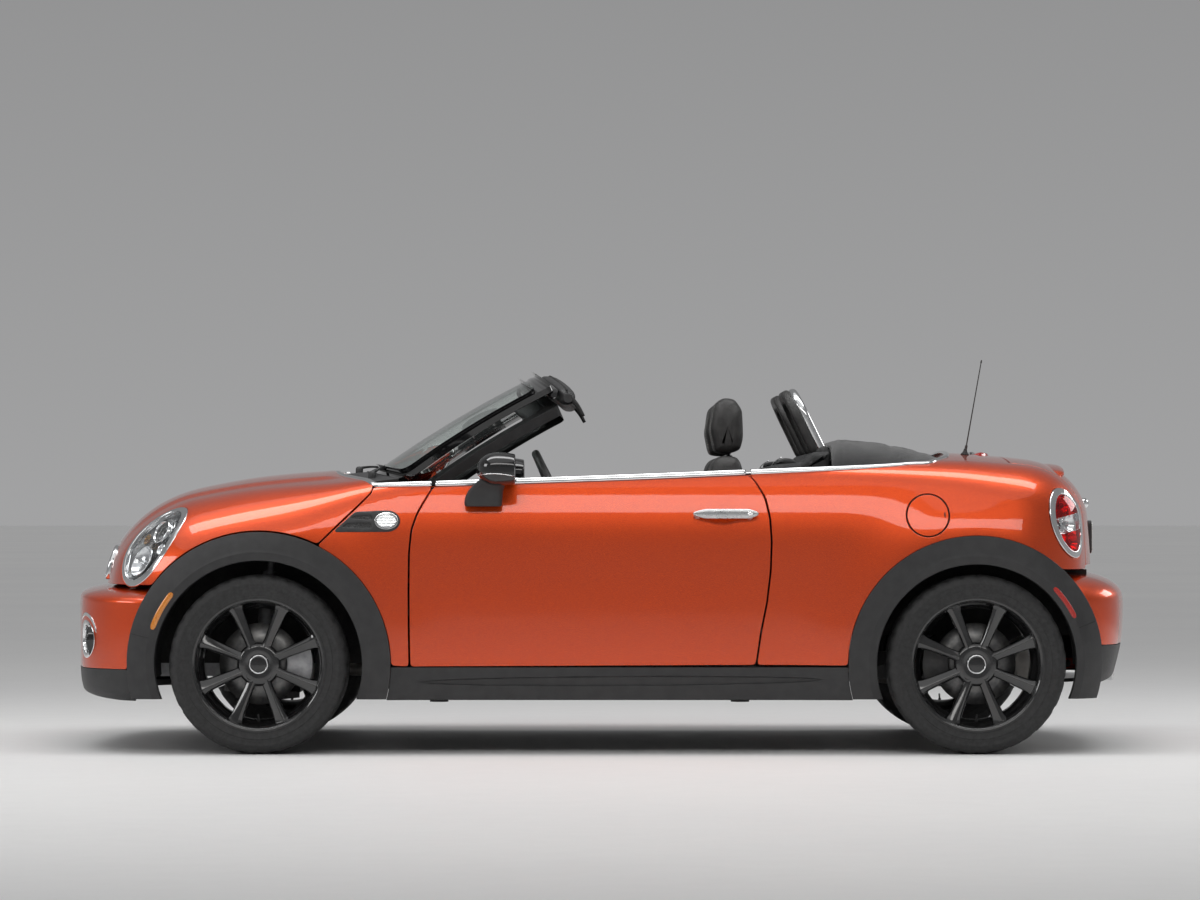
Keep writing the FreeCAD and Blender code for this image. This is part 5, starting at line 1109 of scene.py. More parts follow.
af = arch_trim("arch_trim_front_left", FAX, ARF_IN, ARF_OUT, FRONT_RIM, -1)
ar = arch_trim("arch_trim_rear_left", RAX, ARR_IN, ARR_OUT, REAR_RIM, 1)
add(af, "body", "black_plastic", "arch_trims")
add(ar, "body", "black_plastic")
add(mirrored(af, "arch_trim_front_right"), "body", "black_plastic")
add(mirrored(ar, "arch_trim_rear_right"), "body", "black_plastic")


def sill_piece():
    Z = np.concatenate([[300.5], np.linspace(297.5, 190, 44), [187, 185, 184.5, 185]])
    Y0 = np.concatenate([[-14], np.zeros(44), [-1.5, -5, -12, -40]])
    U = np.linspace(0, 1, 150)
    rows = []
    for i, (z, dy) in enumerate(zip(Z, Y0)):
        zz = np.clip(z, 186, 300)
        xa = FAX + math.sqrt(455.6 ** 2 - (zz - AZ) ** 2)
        xb = RAX - math.sqrt(442.6 ** 2 - (zz - AZ) ** 2)
        x = xa + (xb - xa) * U
        base = -on_side(x, np.full_like(x, max(z, 196.0)))[:, 1] + 5 + dy
        zm = 251 + 0.006 * (x - 90)
        hh = 17 * np.sqrt(np.clip(1 - ((x - 70) / 700.0) ** 2, 0, 1))
        d = np.clip((hh - np.abs(z - zm)) / 3.0, 0, 1) * (hh > 1)
        base = base - 6.0 * d * np.clip(hh / 6, 0, 1)
        rows.append(np.stack([x, -base, np.full_like(x, z)], 1))
    V = np.array(rows)
    n, m = V.shape[:2]
    faces = [(i * m + k, i * m + k + 1, (i + 1) * m + k + 1, (i + 1) * m + k) for i in range(n - 1) for k in range(m - 1)]
    ob = make_obj("sill_left", V.reshape(-1, 3), faces, [TRIM])
    me = ob.data
    if sum(p.normal.y * p.area for p in me.polygons) > 0:
        me.flip_normals()
    sharp(ob, 22)
    return ob


sill = sill_piece()
add(sill, "body", "black_plastic", "lower_cladding")
add(mirrored(sill, "sill_right"), "body", "black_plastic")

add(wing_l, "body", "paint", "front_wings")
add(wing_r, "body", "paint")
add(rear, "body", "paint", "rear_body")
add(lid, "boot_lid", "paint", "boot_lid")
add(fb, "body", "paint", "front_bumper")
add(lip, "body", "black_plastic")
add(rb, "body", "paint", "rear_bumper")
add(diff, "body", "black_plastic")
add(door_skin, "door_left", "paint", "door_left")
add(door_skin_r, "door_right", "paint", "door_right")

# ------------------------------------------------------------------ wheels and tyres

def tyre_mesh(name, cx, s):
    w = 102.5
    P = []
    # inner side to outer side: (radius, y, kind) with kind 1 a shoulder, 2 a rib, 3 a groove
    side = [(219, -w + 12, 0), (222, -w + 7, 0), (228, -w + 3.5, 0), (233, -w + 2.5, 0), (235, -w + 4.0, 0), (242, -w + 3.0, 0), (252, -w + 0.8, 0), (256, -w - 0.0, 0), (258, -w + 1.6, 0), (266, -w + 1.0, 0),
            (274, -w + 1.6, 0), (276, -w + 0.6, 0), (280, -w + 1.2, 0), (286, -w + 4, 0), (292, -w + 7, 0), (297, -w + 10, 1), (301.5, -w + 14, 1), (304.5, -w + 19, 1), (306.4, -w + 26, 1), (307.2, -w + 34, 1)]
    P += side
    for g in (-52, -18, 18, 52):
        P += [(307.9, g - 6, 2), (307.8, g - 4.5, 2), (300.5, g - 3.2, 3), (300.5, g + 3.2, 3), (307.8, g + 4.5, 2), (308.0, g + 6, 2)]
        if g != 52:
            P += [(308.0, g + 12, 2), (308.0, g + 22, 2)]
    P += [(r, -y, k) for r, y, k in reversed(side)]
    prof = np.array(P, float)
    N = 144
    m = len(P)
    V = np.zeros((N, m, 3))
    for i in range(N):
        a = 2 * math.pi * i / N
        r = prof[:, 0].copy()
        for k in range(m):
            kind = P[k][2]
            ph = i + (2 if P[k][1] > 0 else 0)
            if kind == 1 and ph % 4 == 0:
                r[k] -= 5.0 if r[k] > 300 else 2.0
            elif kind == 2 and (i + int(abs(P[k][1]) // 14)) % 8 == 0:
                r[k] -= 3.0
        V[i, :, 0] = cx + r * math.cos(a)
        V[i, :, 1] = s * TH + prof[:, 1]
        V[i, :, 2] = AZ + r * math.sin(a)
    faces = [(i * m + k, ((i + 1) % N) * m + k, ((i + 1) % N) * m + k + 1, i * m + k + 1) for i in range(N) for k in range(m - 1)]
    ob = make_obj(name, V.reshape(-1, 3), faces, [TYRE])
    me = ob.data
    bm = bmesh.new()
    bm.from_mesh(me)
    bmesh.ops.recalc_face_normals(bm, faces=bm.faces)
    bm.to_mesh(me)
    bm.free()
    c = me.polygons[(m - 1) * 3 + m // 2]
    if (Vector(c.center) - Vector((cx / 1000, s * TH / 1000, AZ / 1000))).dot(c.normal) < 0:
        me.flip_normals()
    sharp(ob, 38)
    return ob


def face_y(r):
    """How far the wheel's face stands out of its middle plane."""
    return 60 + 15.5 * np.clip((r - 66) / 148.0, 0, 1) ** 1.25


def wheel_mesh(name, cx, s):
    W = np.array([0, s, 0.0])
    C = np.array([cx, s * TH, AZ])
    parts = []
    rim = [(229, 98), (229.4, 96), (229.2, 92), (226, 90.5), (219, 88), (218.6, 40), (201, 22), (201, -42), (218.6, -60), (219, -88), (229, -91), (229, -98), (225, -98), (212, -94), (209, -64), (192, -46), (192, 26),
           (203, 41), (207, 58), (211, 74), (213.5, 84), (216.5, 89.5), (220, 93.5), (223.5, 96.8), (226.5, 98)]
    parts.append(lathe("rim", rim, [WHEEL], C, W, 112, closed=True, sharp_deg=34))
    hub = [(0, 50), (33, 50), (33, 63), (34.5, 64.5), (60, 61.5), (67, 58.5), (73, 53), (76, 44), (76, 30), (40, 28), (40, 10)]
    parts.append(lathe("hub", hub, [WHEEL], C, W, 72, sharp_deg=30))
    cap = [(0, 69.5), (24, 69.2), (27.6, 68.2), (27.8, 67.2)]
    parts.append(lathe("cap", cap, [GLOSS], C, W, 56, sharp_deg=50))
    ring = [(27.8, 66), (28.2, 69.5), (29.5, 70.6), (31.5, 70.4), (33, 68.6), (33.2, 60)]
    parts.append(lathe("ring", ring, [CHROME], C, W, 56, sharp_deg=50))
    for i in range(5):
        a = math.radians(90 + 72 * i)
        c = C + np.array([math.cos(a) * 50, 0, math.sin(a) * 50])
        parts.append(lathe("seat", [(12.5, 63.2), (12.0, 60.5), (9.5, 52), (0, 52)], [WHEEL], c, W, 24, sharp_deg=40))
        parts.append(lathe("bolt", [(8.0, 50), (8.0, 58), (7.0, 59.4), (4.6, 59.6), (4.2, 56), (0, 56)], [SATIN], c, W, 6, sharp_deg=20))
    R = np.array([40, 52, 62, 74, 90, 112, 136, 160, 182, 198, 207, 213, 216.5])
    HW = np.array([21, 19.5, 17.2, 16.2, 15.8, 16.4, 17.4, 18.6, 20.0, 22.2, 25.5, 31, 37])
    for i in range(8):
        a = math.radians(22.5 + 45 * i)
        er, et = np.array([math.cos(a), 0, math.sin(a)]), np.array([-math.sin(a), 0, math.cos(a)])
        if s > 0:
            et = -et
        rows = []
        for r, h in zip(R, HW):
            y = float(face_y(r))
            rg = 0.30 * h
            sec = [(-h - 2.5, y - 34), (-h - 1.0, y - 13), (-h + 0.8, y - 9.5), (-h + 3.0, y - 7.6), (rg - 3.4, y + 0.2), (rg - 1.2, y + 1.1), (rg + 1.2, y + 1.1), (rg + 3.0, y + 0.2),
                   (h - 2.2, y - 5.4), (h - 0.4, y - 7.6), (h + 1.0, y - 12), (h + 2.5, y - 34)]
            # flat and low where it meets the hub
            rows.append([C + er * r + et * t + W * hh for t, hh in sec])
        V = np.array(rows)
        n, m = V.shape[:2]
        faces = [(p * m + k, (p + 1) * m + k, (p + 1) * m + (k + 1) % m, p * m + (k + 1) % m) for p in range(n - 1) for k in range(m)]
        faces += [tuple(range(m)), tuple((n - 1) * m + k for k in reversed(range(m)))]
        ob = make_obj("spoke", V.reshape(-1, 3), faces, [WHEEL])
        fix_normals(ob)
        sharp(ob, 26)
        parts.append(ob)
    # the valve
    a = math.radians(270)
    er = np.array([math.cos(a), 0, math.sin(a)])
    parts.append(lathe("valve", [(0, 30), (3.2, 30), (3.2, 12), (5, 8), (5, 0), (0, 0)], [RUBBER], C + er * 196 + W * 52, -er + W * 0.8, 16, up=(1, 0, 0), sharp_deg=30))
    disc = [(62, 20), (66, 18), (66, 4), (74, 2), (140, 2), (140.5, 0), (140.5, -7), (134, -7.2), (134, -11), (140.5, -11.2), (140.5, -19), (140, -20), (62, -20)]
    parts.append(lathe("disc", disc, [DISC], C, W, 120, sharp_deg=30))
    out = join(name, parts)
    return out


def make_disc():
    m = Mat("brake_disc", Metallic=1.0)
    g = m.node("ShaderNodeTexNoise", Scale=220.0, Detail=4.0)
    m.link(m.tc.outputs["Object"], g.inputs["Vector"])
    m.ramp(g.outputs["Fac"], [(0.3, (0.30, 0.29, 0.28)), (0.7, (0.50, 0.49, 0.48))], "Base Color")
    m.range(g.outputs["Fac"], 0.3, 0.7, 0.28, 0.44, "Roughness")
    m.bump(m.noise(900.0, 1.0), 0.15, 0.0003)
    return m.m


DISC = make_plain("brake_disc", (0.10, 0.10, 0.102), (0.16, 0.158, 0.155), 0.30, 0.45, 50.0, metallic=1.0, bump=0.12, bscale=500.0)
for end, cx in (("front", FAX), ("rear", RAX)):
    for hand, s in (("left", -1), ("right", 1)):
        t = tyre_mesh("tyre_%s_%s_look" % (end, hand), cx, s)
        add(t, "%s_%s_wheel" % (end, hand), "tyre_rubber", "tyre_%s_%s" % (end, hand))
        wob = wheel_mesh("wheel_%s_%s_look" % (end, hand), cx, s)
        add(wob, "%s_%s_wheel" % (end, hand), "wheel_black", "wheel_%s_%s" % (end, hand))

# ------------------------------------------------------------------ windscreen

def screen(u, v, off=0.0):
    u, v = np.asarray(u, float), np.asarray(v, float)

    def at(u, v):
        w = 688 + (560 - 688) * v
        x = (-819 + 151 * u * u) * (1 - v) + (-244 + 81 * u * u) * v
        z = (967 - 33 * u * u) * (1 - v) + (1313 - 63 * u * u) * v
        bow = 14 * 4 * v * (1 - v)
        return np.stack([x - 0.515 * bow, w * u, z + 0.857 * bow], -1)
    p = at(u, v)
    if np.ndim(off) == 0 and off == 0:
        return p
    h = 1e-3
    n = np.cross(at(u + h, v) - at(u - h, v), at(u, v + h) - at(u, v - h))
    n /= np.linalg.norm(n, axis=-1, keepdims=True)
    n = np.where(n[..., 2:3] < 0, -n, n)
    return p + n * (off if np.ndim(off) == 0 else np.asarray(off)[..., None])


SU, SV = 0.62, 0.68


def scr(off):
    f = Flat(lambda a, b: screen(a / SU, b / SV, off))
    return f


def rect_uv(u, v0, v1, cr=0.04, n=7):
    """A rounded rectangle in the screen's flat metres."""
    w, h = 2 * u * SU, (v1 - v0) * SV
    r = rounded(w, h, cr, n)
    return r + np.array([0, (v0 + v1) / 2 * SV])


outer_l = rect_uv(1.0, -0.02, 1.0, 0.022)
inner_l = rect_uv(0.915, 0.035, 0.93, 0.050)
fr = panel("screen_frame_front", scr(4.0), [outer_l, inner_l], [GLOSS], depth=20, r=3.0, corner=3, grid=0.014)
fr2 = panel("screen_frame_back", Flat(lambda a, b: screen(a / SU, b / SV, -50.0), -1), [rect_uv(0.992, -0.015, 0.99, 0.022), rect_uv(0.925, 0.03, 0.935, 0.045)], [CABIN], depth=34, r=3.0, corner=3, grid=0.014)
for o in (fr, fr2):
    bm = bmesh.new()
    bm.from_mesh(o.data)
    bmesh.ops.bisect_plane(bm, geom=bm.verts[:] + bm.edges[:] + bm.faces[:], plane_co=(-0.74, 0, 0.925), plane_no=(0, 0, -1), clear_outer=True)
    bm.to_mesh(o.data)
    bm.free()
add(fr, "body", "gloss_black", "windscreen_frame")
add(fr2, "body", "cabin_plastic")
glass = panel("windscreen_glass", scr(0.5), [rect_uv(0.9135, 0.0365, 0.9285, 0.049)], [SCREEN], depth=2.5, r=1.0, back=5.5, corner=3, grid=0.032)
add(glass, "body", "screen_glass", "windscreen")
# the dark printed band inside the glass's edge
band = panel("screen_band", scr(-6.2), [rect_uv(0.914, 0.0355, 0.9295, 0.05), rect_uv(0.885, 0.085, 0.895, 0.06)], [make_plain("screen_print", (0.004, 0.004, 0.004), (0.007, 0.007, 0.007), 0.2, 0.3, 80.0)], depth=1.0, r=0.4, corner=3, grid=0.02)
add(band, "body", "gloss_black")
# seal along the glass
sv = rect_uv(0.9145, 0.0355, 0.9295, 0.05)
sv = relax(resample(sv, 0.01), 3)
sp = screen(sv[:, 0] / SU, sv[:, 1] / SV, 3.0)
sn = Flat(lambda a, b: screen(a / SU, b / SV)).normal(sv)
t = np.roll(sp, -1, 0) - np.roll(sp, 1, 0)
t /= np.linalg.norm(t, axis=1, keepdims=True)
seal = sweep("screen_seal", sp, ring_section(4.5, 8), [RUBBER], closed_path=True, frames=(sn, np.cross(t, sn)))
add(seal, "body", "black_plastic")

# ------------------------------------------------------------------ lamps and small parts

class Proj:
    """A form seen along a direction: flat coordinates (a, b) in metres about a point."""

    def __init__(self, f, c, n, up, back=150.0):
        self.f, self.c, self.back = f, np.asarray(c, float), back
        self.n = np.asarray(n, float) / np.linalg.norm(n)
        u = np.asarray(up, float)
        u = u - self.n * u.dot(self.n)
        self.u = u / np.linalg.norm(u)
        self.w = np.cross(self.n, self.u)

    def flat(self, P):
        d = np.asarray(P, float) - self.c
        return np.stack([d @ self.u, d @ self.w], -1) / 1000.0

    def lift(self, q):
        O = self.c + self.u * q[:, :1] * 1000 + self.w * q[:, 1:] * 1000 - self.n * self.back
        return hit(self.f, O, np.broadcast_to(self.n, O.shape), 0, 700)

    def oval(self, a, b, k=80, ca=0.0, cb=0.0):
        t = np.linspace(0, 2 * math.pi, k, endpoint=False)
        return self.lift(np.stack([ca + a * np.cos(t), cb + b * np.sin(t)], 1) / 1000.0)

    def poly(self, pts):
        return self.lift(np.asarray(pts, float) / 1000.0)

    def at(self, a, b, depth=0.0):
        """A point at (a, b) mm, that deep under the surface along the view."""
        return self.lift(np.array([[a, b]]) / 1000.0)[0] - self.n * depth


def dish(name, pr, rings, mats, k=72, ca=0.0, cb=0.0):
    """A bowl of oval rings (a, b, depth under the form's own surface at that ring)."""
    V, t = [], np.linspace(0, 2 * math.pi, k, endpoint=False)
    for a, b, d in rings:
        q = np.stack([ca + a * np.cos(t), cb + b * np.sin(t)], 1) / 1000.0
        V.append(pr.lift(q) - pr.n * d)
    V = np.vstack(V)
    m = len(rings)
    faces = [(i * k + j, i * k + (j + 1) % k, (i + 1) * k + (j + 1) % k, (i + 1) * k + j) for i in range(m - 1) for j in range(k)]
    faces.append(tuple((m - 1) * k + j for j in range(k)))
    ob = make_obj(name, V, faces, mats)
    me = ob.data
    c = sum((p.normal * p.area for p in me.polygons), Vector())
    if c.dot(Vector(pr.n)) < 0:
        me.flip_normals()
    sharp(ob, 40)
    return ob


def both(obs, body, slot, *nodes):
    """Adds a left piece and its twin on the right."""
    right = mirrored(obs, obs.name.replace("left", "right") if "left" in obs.name else obs.name + "_right")
    rb_ = body.replace("left", "right")
    add(obs, body, slot, *nodes)
    add(right, rb_, slot)
    return obs, right


HP = Proj(upper, HEAD_C, HEAD_N, HEAD_UP)
o = panel("headlight_ring_left", HP, [HP.oval(165, 117), HP.oval(149, 102)], [CHROME], depth=16, r=3.5, inset=0, corner=3, grid=0.01, offset=0.5)
both(o, "body", "bright_trim", "headlights")
o = panel("headlight_lens_left", HP, [HP.oval(148, 101)], [CLEAR], depth=3, r=1.5, back=3.0, inset=0, corner=3, grid=0.012, offset=-1.5)
both(o, "body", "lamp_glass")
parts = [dish("bowl", HP, [(150, 103, 8), (148, 101, 14), (141, 95, 22), (132, 88, 40), (120, 78, 46), (60, 40, 50)], [make_plain("lamp_housing", (0.16, 0.165, 0.17), (0.24, 0.245, 0.25), 0.22, 0.34, 20.0, metallic=0.7)])]
# projector above, reflector bowl below, a marker lamp to the side
c = HP.at(52, 0, 22)
parts.append(lathe("pring", [(46, -18), (46, 2), (44, 4.5), (41, 4.5), (39, 2), (38, -6), (33, -10), (33, -16)], [CHROME], c, HP.n, 64, up=HP.u, sharp_deg=40))
parts.append(lathe("pshade", [(38.5, -2), (33.5, -9), (32, -10), (30.5, -10)], [GLOSS], c, HP.n, 64, up=HP.u, sharp_deg=40))
parts.append(lathe("plens", [(0, 4), (10, 3.3), (19, 1), (26, -3), (31, -9)], [CLEAR], c, HP.n, 48, up=HP.u))
parts.append(lathe("pin", [(31, -10), (26, -20), (0, -24)], [GLOSS], c, HP.n, 48, up=HP.u))
c = HP.at(-68, 4, 30)
parts.append(lathe("rbowl", [(58, 6), (57, 8), (55.5, 8), (54, 5), (47, -4), (36, -12), (20, -18), (9, -19.5), (8, -20)], [REFLECT], c, HP.n, 64, up=HP.u, sharp_deg=60))
parts.append(lathe("bulb", [(0, 8), (5, 7), (7.5, 3), (7.5, -8), (8.5, -12), (8.5, -20)], [SATIN], c, HP.n, 32, up=HP.u, sharp_deg=40))
c = HP.at(-6, -58, 26)
parts.append(lathe("side", [(22, 0), (21, 2), (19.5, 2), (16, -4), (8, -9), (0, -10)], [REFLECT], c, HP.n, 40, up=HP.u, sharp_deg=60))
c = HP.at(8, 60, 26)
parts.append(lathe("side2", [(20, 0), (19, 2), (17.5, 2), (14, -4), (7, -9), (0, -10)], [AMBER], c, HP.n, 40, up=HP.u, sharp_deg=60))
# bright brow over the projector
t = np.radians(np.linspace(-150, -30, 40))
arcp = np.array([HP.at(52 - 52 * math.sin(a) * -1 * 0 + 54 * math.cos(a + math.pi / 2), 54 * math.sin(a + math.pi / 2), 20) for a in t])
parts.append(sweep("brow", arcp, ring_section(3.0, 8), [CHROME], up=HP.n))
both(join("headlight_inside_left", parts), "body", "lamp_glass")

TP = Proj(upper, TAIL_C, TAIL_N, TAIL_UP)
o = panel("tail_ring_left", TP, [TP.oval(121, 91), TP.oval(104, 74)], [CHROME], depth=16, r=3.5, inset=0, corner=3, grid=0.01, offset=4.0)
both(o, "body", "bright_trim", "tail_lights")
t = np.linspace(0, 2 * math.pi, 240, endpoint=False)
ov = np.stack([103 * np.cos(t), 73 * np.sin(t)], 1)
for nm, lo, hi, mt in (("top", 26, 200, RED), ("mid", -30, 25, CLEAR), ("low", -200, -31, RED)):
    k = (ov[:, 0] > lo) & (ov[:, 0] < hi)
    q = ov[k]
    if nm == "mid":
        a = q[q[:, 1] > 0]
        b = q[q[:, 1] < 0]
        a = a[np.argsort(-a[:, 0])]
        b = b[np.argsort(b[:, 0])]
        q = np.vstack([[[25, a[0][1]]], a, [[-30, a[-1][1]]], [[-30, b[0][1]]], b, [[25, b[-1][1]]]])
    else:
        ang = np.arctan2(q[:, 1], q[:, 0] - (40 if nm == "top" else -50))
        q = q[np.argsort(ang)] if nm == "top" else q
    o = panel("tail_lens_%s_left" % nm, TP, [TP.poly(q)], [mt], depth=2.5, r=1.0, back=2.5, inset=0, corner=1, edge=3, grid=0.012, offset=1.5)
    both(o, "body", "red_lens")
parts = [dish("tbowl", TP, [(104, 74, 3), (102, 72, 8), (94, 65, 30), (80, 54, 38), (30, 20, 40)], [REFLECT])]
for a0, mt in ((62, RED), (-2, CLEAR), (-66, RED)):
    c = TP.at(a0, 0, 16)
    parts.append(lathe("cup", [(32 if a0 < 50 else 26, 6), (30 if a0 < 50 else 24, 8), (28 if a0 < 50 else 22, 5), (16, -10), (8, -14), (6, -14)], [CHROME], c, TP.n, 48, up=TP.u, sharp_deg=50))
    parts.append(lathe("glow", [(0, 4), (7, 2), (9, -4), (9, -14)], [mt if a0 != -2 else SATIN], c, TP.n, 32, up=TP.u))
both(join("tail_inside_left", parts), "body", "red_lens")

# fog lamps
FP = Proj(bumper_f, (-1800, -606, 390), (-1, 0, 0), (0, 0, 1))
parts = [panel("fring", FP, [FP.oval(64.5, 64.5), FP.oval(51, 51)], [CHROME], depth=14, r=3.0, inset=0, corner=2, grid=0.01, offset=1.0)]
c = FP.at(0, 0, 6)
o = lathe("flens", [(0, 9), (18, 7.5), (34, 3.5), (46, -2.5), (50.5, -7), (50.5, -12), (0, -12)], [CLEAR], c, FP.n, 64, up=FP.u, sharp_deg=50)
c2 = FP.at(0, 0, 20)
parts += [o, lathe("fbowl", [(51, 8), (44, -10), (30, -26), (12, -34), (0, -35)], [REFLECT], c2, FP.n, 64, up=FP.u),
          lathe("fbulb", [(0, -2), (7, -4), (9, -10), (9, -34)], [SATIN], c2, FP.n, 32, up=FP.u)]
parts.append(lathe("fback", [(64, 6), (64, -40), (0, -42)], [GLOSS], c2, FP.n, 48, up=FP.u, sharp_deg=40))
both(join("fog_lamp_left", parts), "body", "lamp_glass", "fog_lights")
# raised brow over each fog lamp
t = np.radians(np.linspace(-35, 75, 44))
q_out = np.stack([(92 - 0) * np.cos(t), -92 * np.sin(t) * 1.0], 1)
q_in = np.stack([80 * np.cos(t) + 2, -80 * np.sin(t)], 1)
k = np.sin(np.linspace(0, math.pi, 44)) ** 0.8
q_out = q_in + (q_out - q_in) * k[:, None] + 1e-3
brow = np.vstack([q_out, q_in[::-1][1:-1]])
o = panel("fog_brow_left", FP, [FP.poly(brow)], [CHROME], depth=2, r=1.5, inset=0, corner=1, edge=3, grid=0.01, offset=2.2)
both(o, "body", "bright_trim")

# upper grille: bright surround, bars and a mesh behind
GY = [(-386, 592), (-386, 652), (-364, 694), (-326, 711), (326, 711), (364, 694), (386, 652), (386, 592)]
gl = relax(resample(np.array(GY, float), 10), 4)
P = hit(upper, np.stack([np.full(len(gl), -1400.0), gl[:, 0], gl[:, 1]], 1), np.array([[-1.0, 0, 0]]), 20, 600)
N = grad(upper, P)
t = np.roll(P, -1, 0) - np.roll(P, 1, 0)
t /= np.linalg.norm(t, axis=1, keepdims=True)
B = np.cross(t, N)
cen = P.mean(0)
if np.mean(np.einsum("ij,ij->i", B, cen - P)) < 0:
    B = -B
a = np.linspace(0, math.pi, 9)
sec = np.vstack([np.stack([3 + 9 * np.sin(a) ** 0.7, 13 - 12.5 * np.cos(a)], 1), [[-14, 25.5], [-14, 0.5]]])
o = sweep("grille_surround", P, sec, [CHROME], closed_path=True, frames=(N, B))
sharp(o, 50)
add(o, "body", "bright_trim", "grille")
bars = []
for z in (612, 628, 644, 660, 676, 691):
    w = 366 if z < 655 else (356 if z < 680 else 338)
    y = np.linspace(-w, w, 60)
    Pb = hit(upper, np.stack([np.full(60, -1400.0), y, np.full(60, float(z))], 1), np.array([[-1.0, 0, 0]]), 20, 600)
    Nb = grad(upper, Pb)
    Nb[:, 2] = 0
    Nb /= np.linalg.norm(Nb, axis=1, keepdims=True)
    sec = np.array([[4.5, -1.0], [4.8, 0.4], [4.2, 1.6], [-12, 3.6], [-14, 2.0], [-14, -2.0], [-12, -3.6], [4.2, -1.6]]) + np.array([-6, 0])
    bars.append(sweep("bar", Pb, sec, [CHROME], frames=(Nb, np.broadcast_to(np.array([0, 0, 1.0]), Pb.shape))))
for b in bars:
    sharp(b, 30)
add(join("grille_bars", bars), "body", "bright_trim")
yg, zg = np.linspace(-376, 376, 60), np.linspace(594, 704, 14)
rows = [hit(upper, np.stack([np.full(60, -1400.0), yg * (1.0 if z < 655 else 1 - (z - 655) / 700), np.full(60, z)], 1), np.array([[-1.0, 0, 0]]), 20, 600) + np.array([24, 0, 0]) for z in zg]
V = np.vstack(rows)
F = [(i * 60 + j, i * 60 + j + 1, (i + 1) * 60 + j + 1, (i + 1) * 60 + j) for i in range(13) for j in range(59)]
o = make_obj("grille_mesh", V, F, [GRILLE_MESH])
if o.data.polygons[10].normal.x > 0:
    o.data.flip_normals()
add(o, "body", "black_plastic")

# lower mouth: deep frame, mesh and two bars
ml = relax(resample(np.array(MOUTH, float), 10), 6)
Pm = hit(bumper_f, np.stack([np.full(len(ml), -1450.0), ml[:, 0], ml[:, 1]], 1), np.array([[-1.0, 0, 0]]), 20, 700)
cm = np.array([0, 373.0])
rows = []
for d, s_ in ((4, 1.004), (2, 0.998), (0, 0.99), (3, 0.98), (26, 0.955), (60, 0.93)):
    q = Pm.copy()
    q[:, 1] = ml[:, 0] - np.sign(ml[:, 0]) * (1 - s_) * 380
    q[:, 2] = cm[1] + (ml[:, 1] - cm[1]) * (1 - (1 - s_) * 3.2)
    q[:, 0] += d
    rows.append(q)
V = np.vstack(rows)
n = len(ml)
F = [(i * n + j, i * n + (j + 1) % n, (i + 1) * n + (j + 1) % n, (i + 1) * n + j) for i in range(len(rows) - 1) for j in range(n)]
o = make_obj("mouth_frame", V, F, [GLOSS])
fix_normals(o)
me = o.data
if sum((p.normal.y * (0 - p.center.y) + p.normal.z * (0.373 - p.center.z)) * p.area for p in me.polygons) < 0:
    me.flip_normals()
sharp(o, 40)
add(o, "body", "black_plastic")
yg, zg = np.linspace(-425, 425, 86), np.linspace(310, 436, 14)
zz, yy = np.meshgrid(zg, yg, indexing="ij")
V = np.stack([np.full(yy.size, -1786.0), yy.ravel(), zz.ravel()], 1)
F = [(i * 86 + j, i * 86 + j + 1, (i + 1) * 86 + j + 1, (i + 1) * 86 + j) for i in range(13) for j in range(85)]
o = make_obj("mouth_mesh", V, F, [GRILLE_MESH])
if o.data.polygons[10].normal.x > 0:
    o.data.flip_normals()
add(o, "body", "black_plastic")
bars = []
for z in (352, 392):
    w = 398
    y = np.linspace(-w, w, 50)
    Pb = hit(bumper_f, np.stack([np.full(50, -1450.0), y, np.full(50, float(z))], 1), np.array([[-1.0, 0, 0]]), 20, 700) + np.array([16, 0, 0])
    bars.append(sweep("bar", Pb, rounded(16, 12, 4, 3), [TRIM], frames=(np.broadcast_to(np.array([-1.0, 0, 0]), Pb.shape), np.broadcast_to(np.array([0, 0, 1.0]), Pb.shape))))
add(join("mouth_bars", bars), "body", "black_plastic")

# scuttle vents with their side lamps
SP = Side(upper)
tip, tl = np.array([-918., 764.]), np.array([-846., 830.])
a1 = np.radians(np.linspace(84, -84, 30))
nose = np.stack([-736 + 44 * np.cos(a1), 800 + 35.5 * np.sin(a1)], 1)
vent = np.vstack([[tl], nose, [tip]])
vent_in = np.vstack([[tl + (8, -8)], nose * 0 + np.stack([-736 + 36 * np.cos(a1), 800 + 28 * np.sin(a1)], 1), [tip + (20, 7)]])


def vent_loop(v, k=3):
    return side_pts(relax(resample(v, 5), k))


slot_a = np.array([[-866, 808], [-852, 819], [-786, 821], [-782, 804], [-800, 802]])
slot_b = np.array([[-894, 778], [-874, 794], [-790, 796], [-784, 780], [-790, 774]])
o = panel("scuttle_vent_left", SP, [vent_loop(vent), vent_loop(slot_a, 2), vent_loop(slot_b, 2)], [TRIM], depth=8, r=2.0, inset=0, corner=1, edge=4, grid=0.008, offset=2.5)
m1 = panel("vent_mesh_left", SP, [vent_loop(vent * 0.97 + np.array([-800, 798]) * 0.03)], [GRILLE_MESH], depth=1, r=0.5, inset=0, corner=1, edge=5, grid=0.01, offset=0.6)
both(join("scuttle_vent_left", [o, m1]), "body", "black_plastic")
tt = np.linspace(0, 2 * math.pi, 60, endpoint=False)
ell = lambda a, b: side_pts(np.stack([-738 + a * np.cos(tt), 800.5 + b * np.sin(tt)], 1))
r1 = panel("side_lamp_ring_left", SP, [ell(39.5, 28), ell(34.5, 23)], [CHROME], depth=4, r=1.5, inset=0, corner=1, edge=4, grid=0.006, offset=5.5)
both(r1, "body", "bright_trim")


def dome_off(P):
    d = ((P[:, 0] + 738) / 34.0) ** 2 + ((P[:, 2] - 800.5) / 22.5) ** 2
    return 4.5 + 3.5 * np.clip(1 - d, 0, 1) ** 0.5


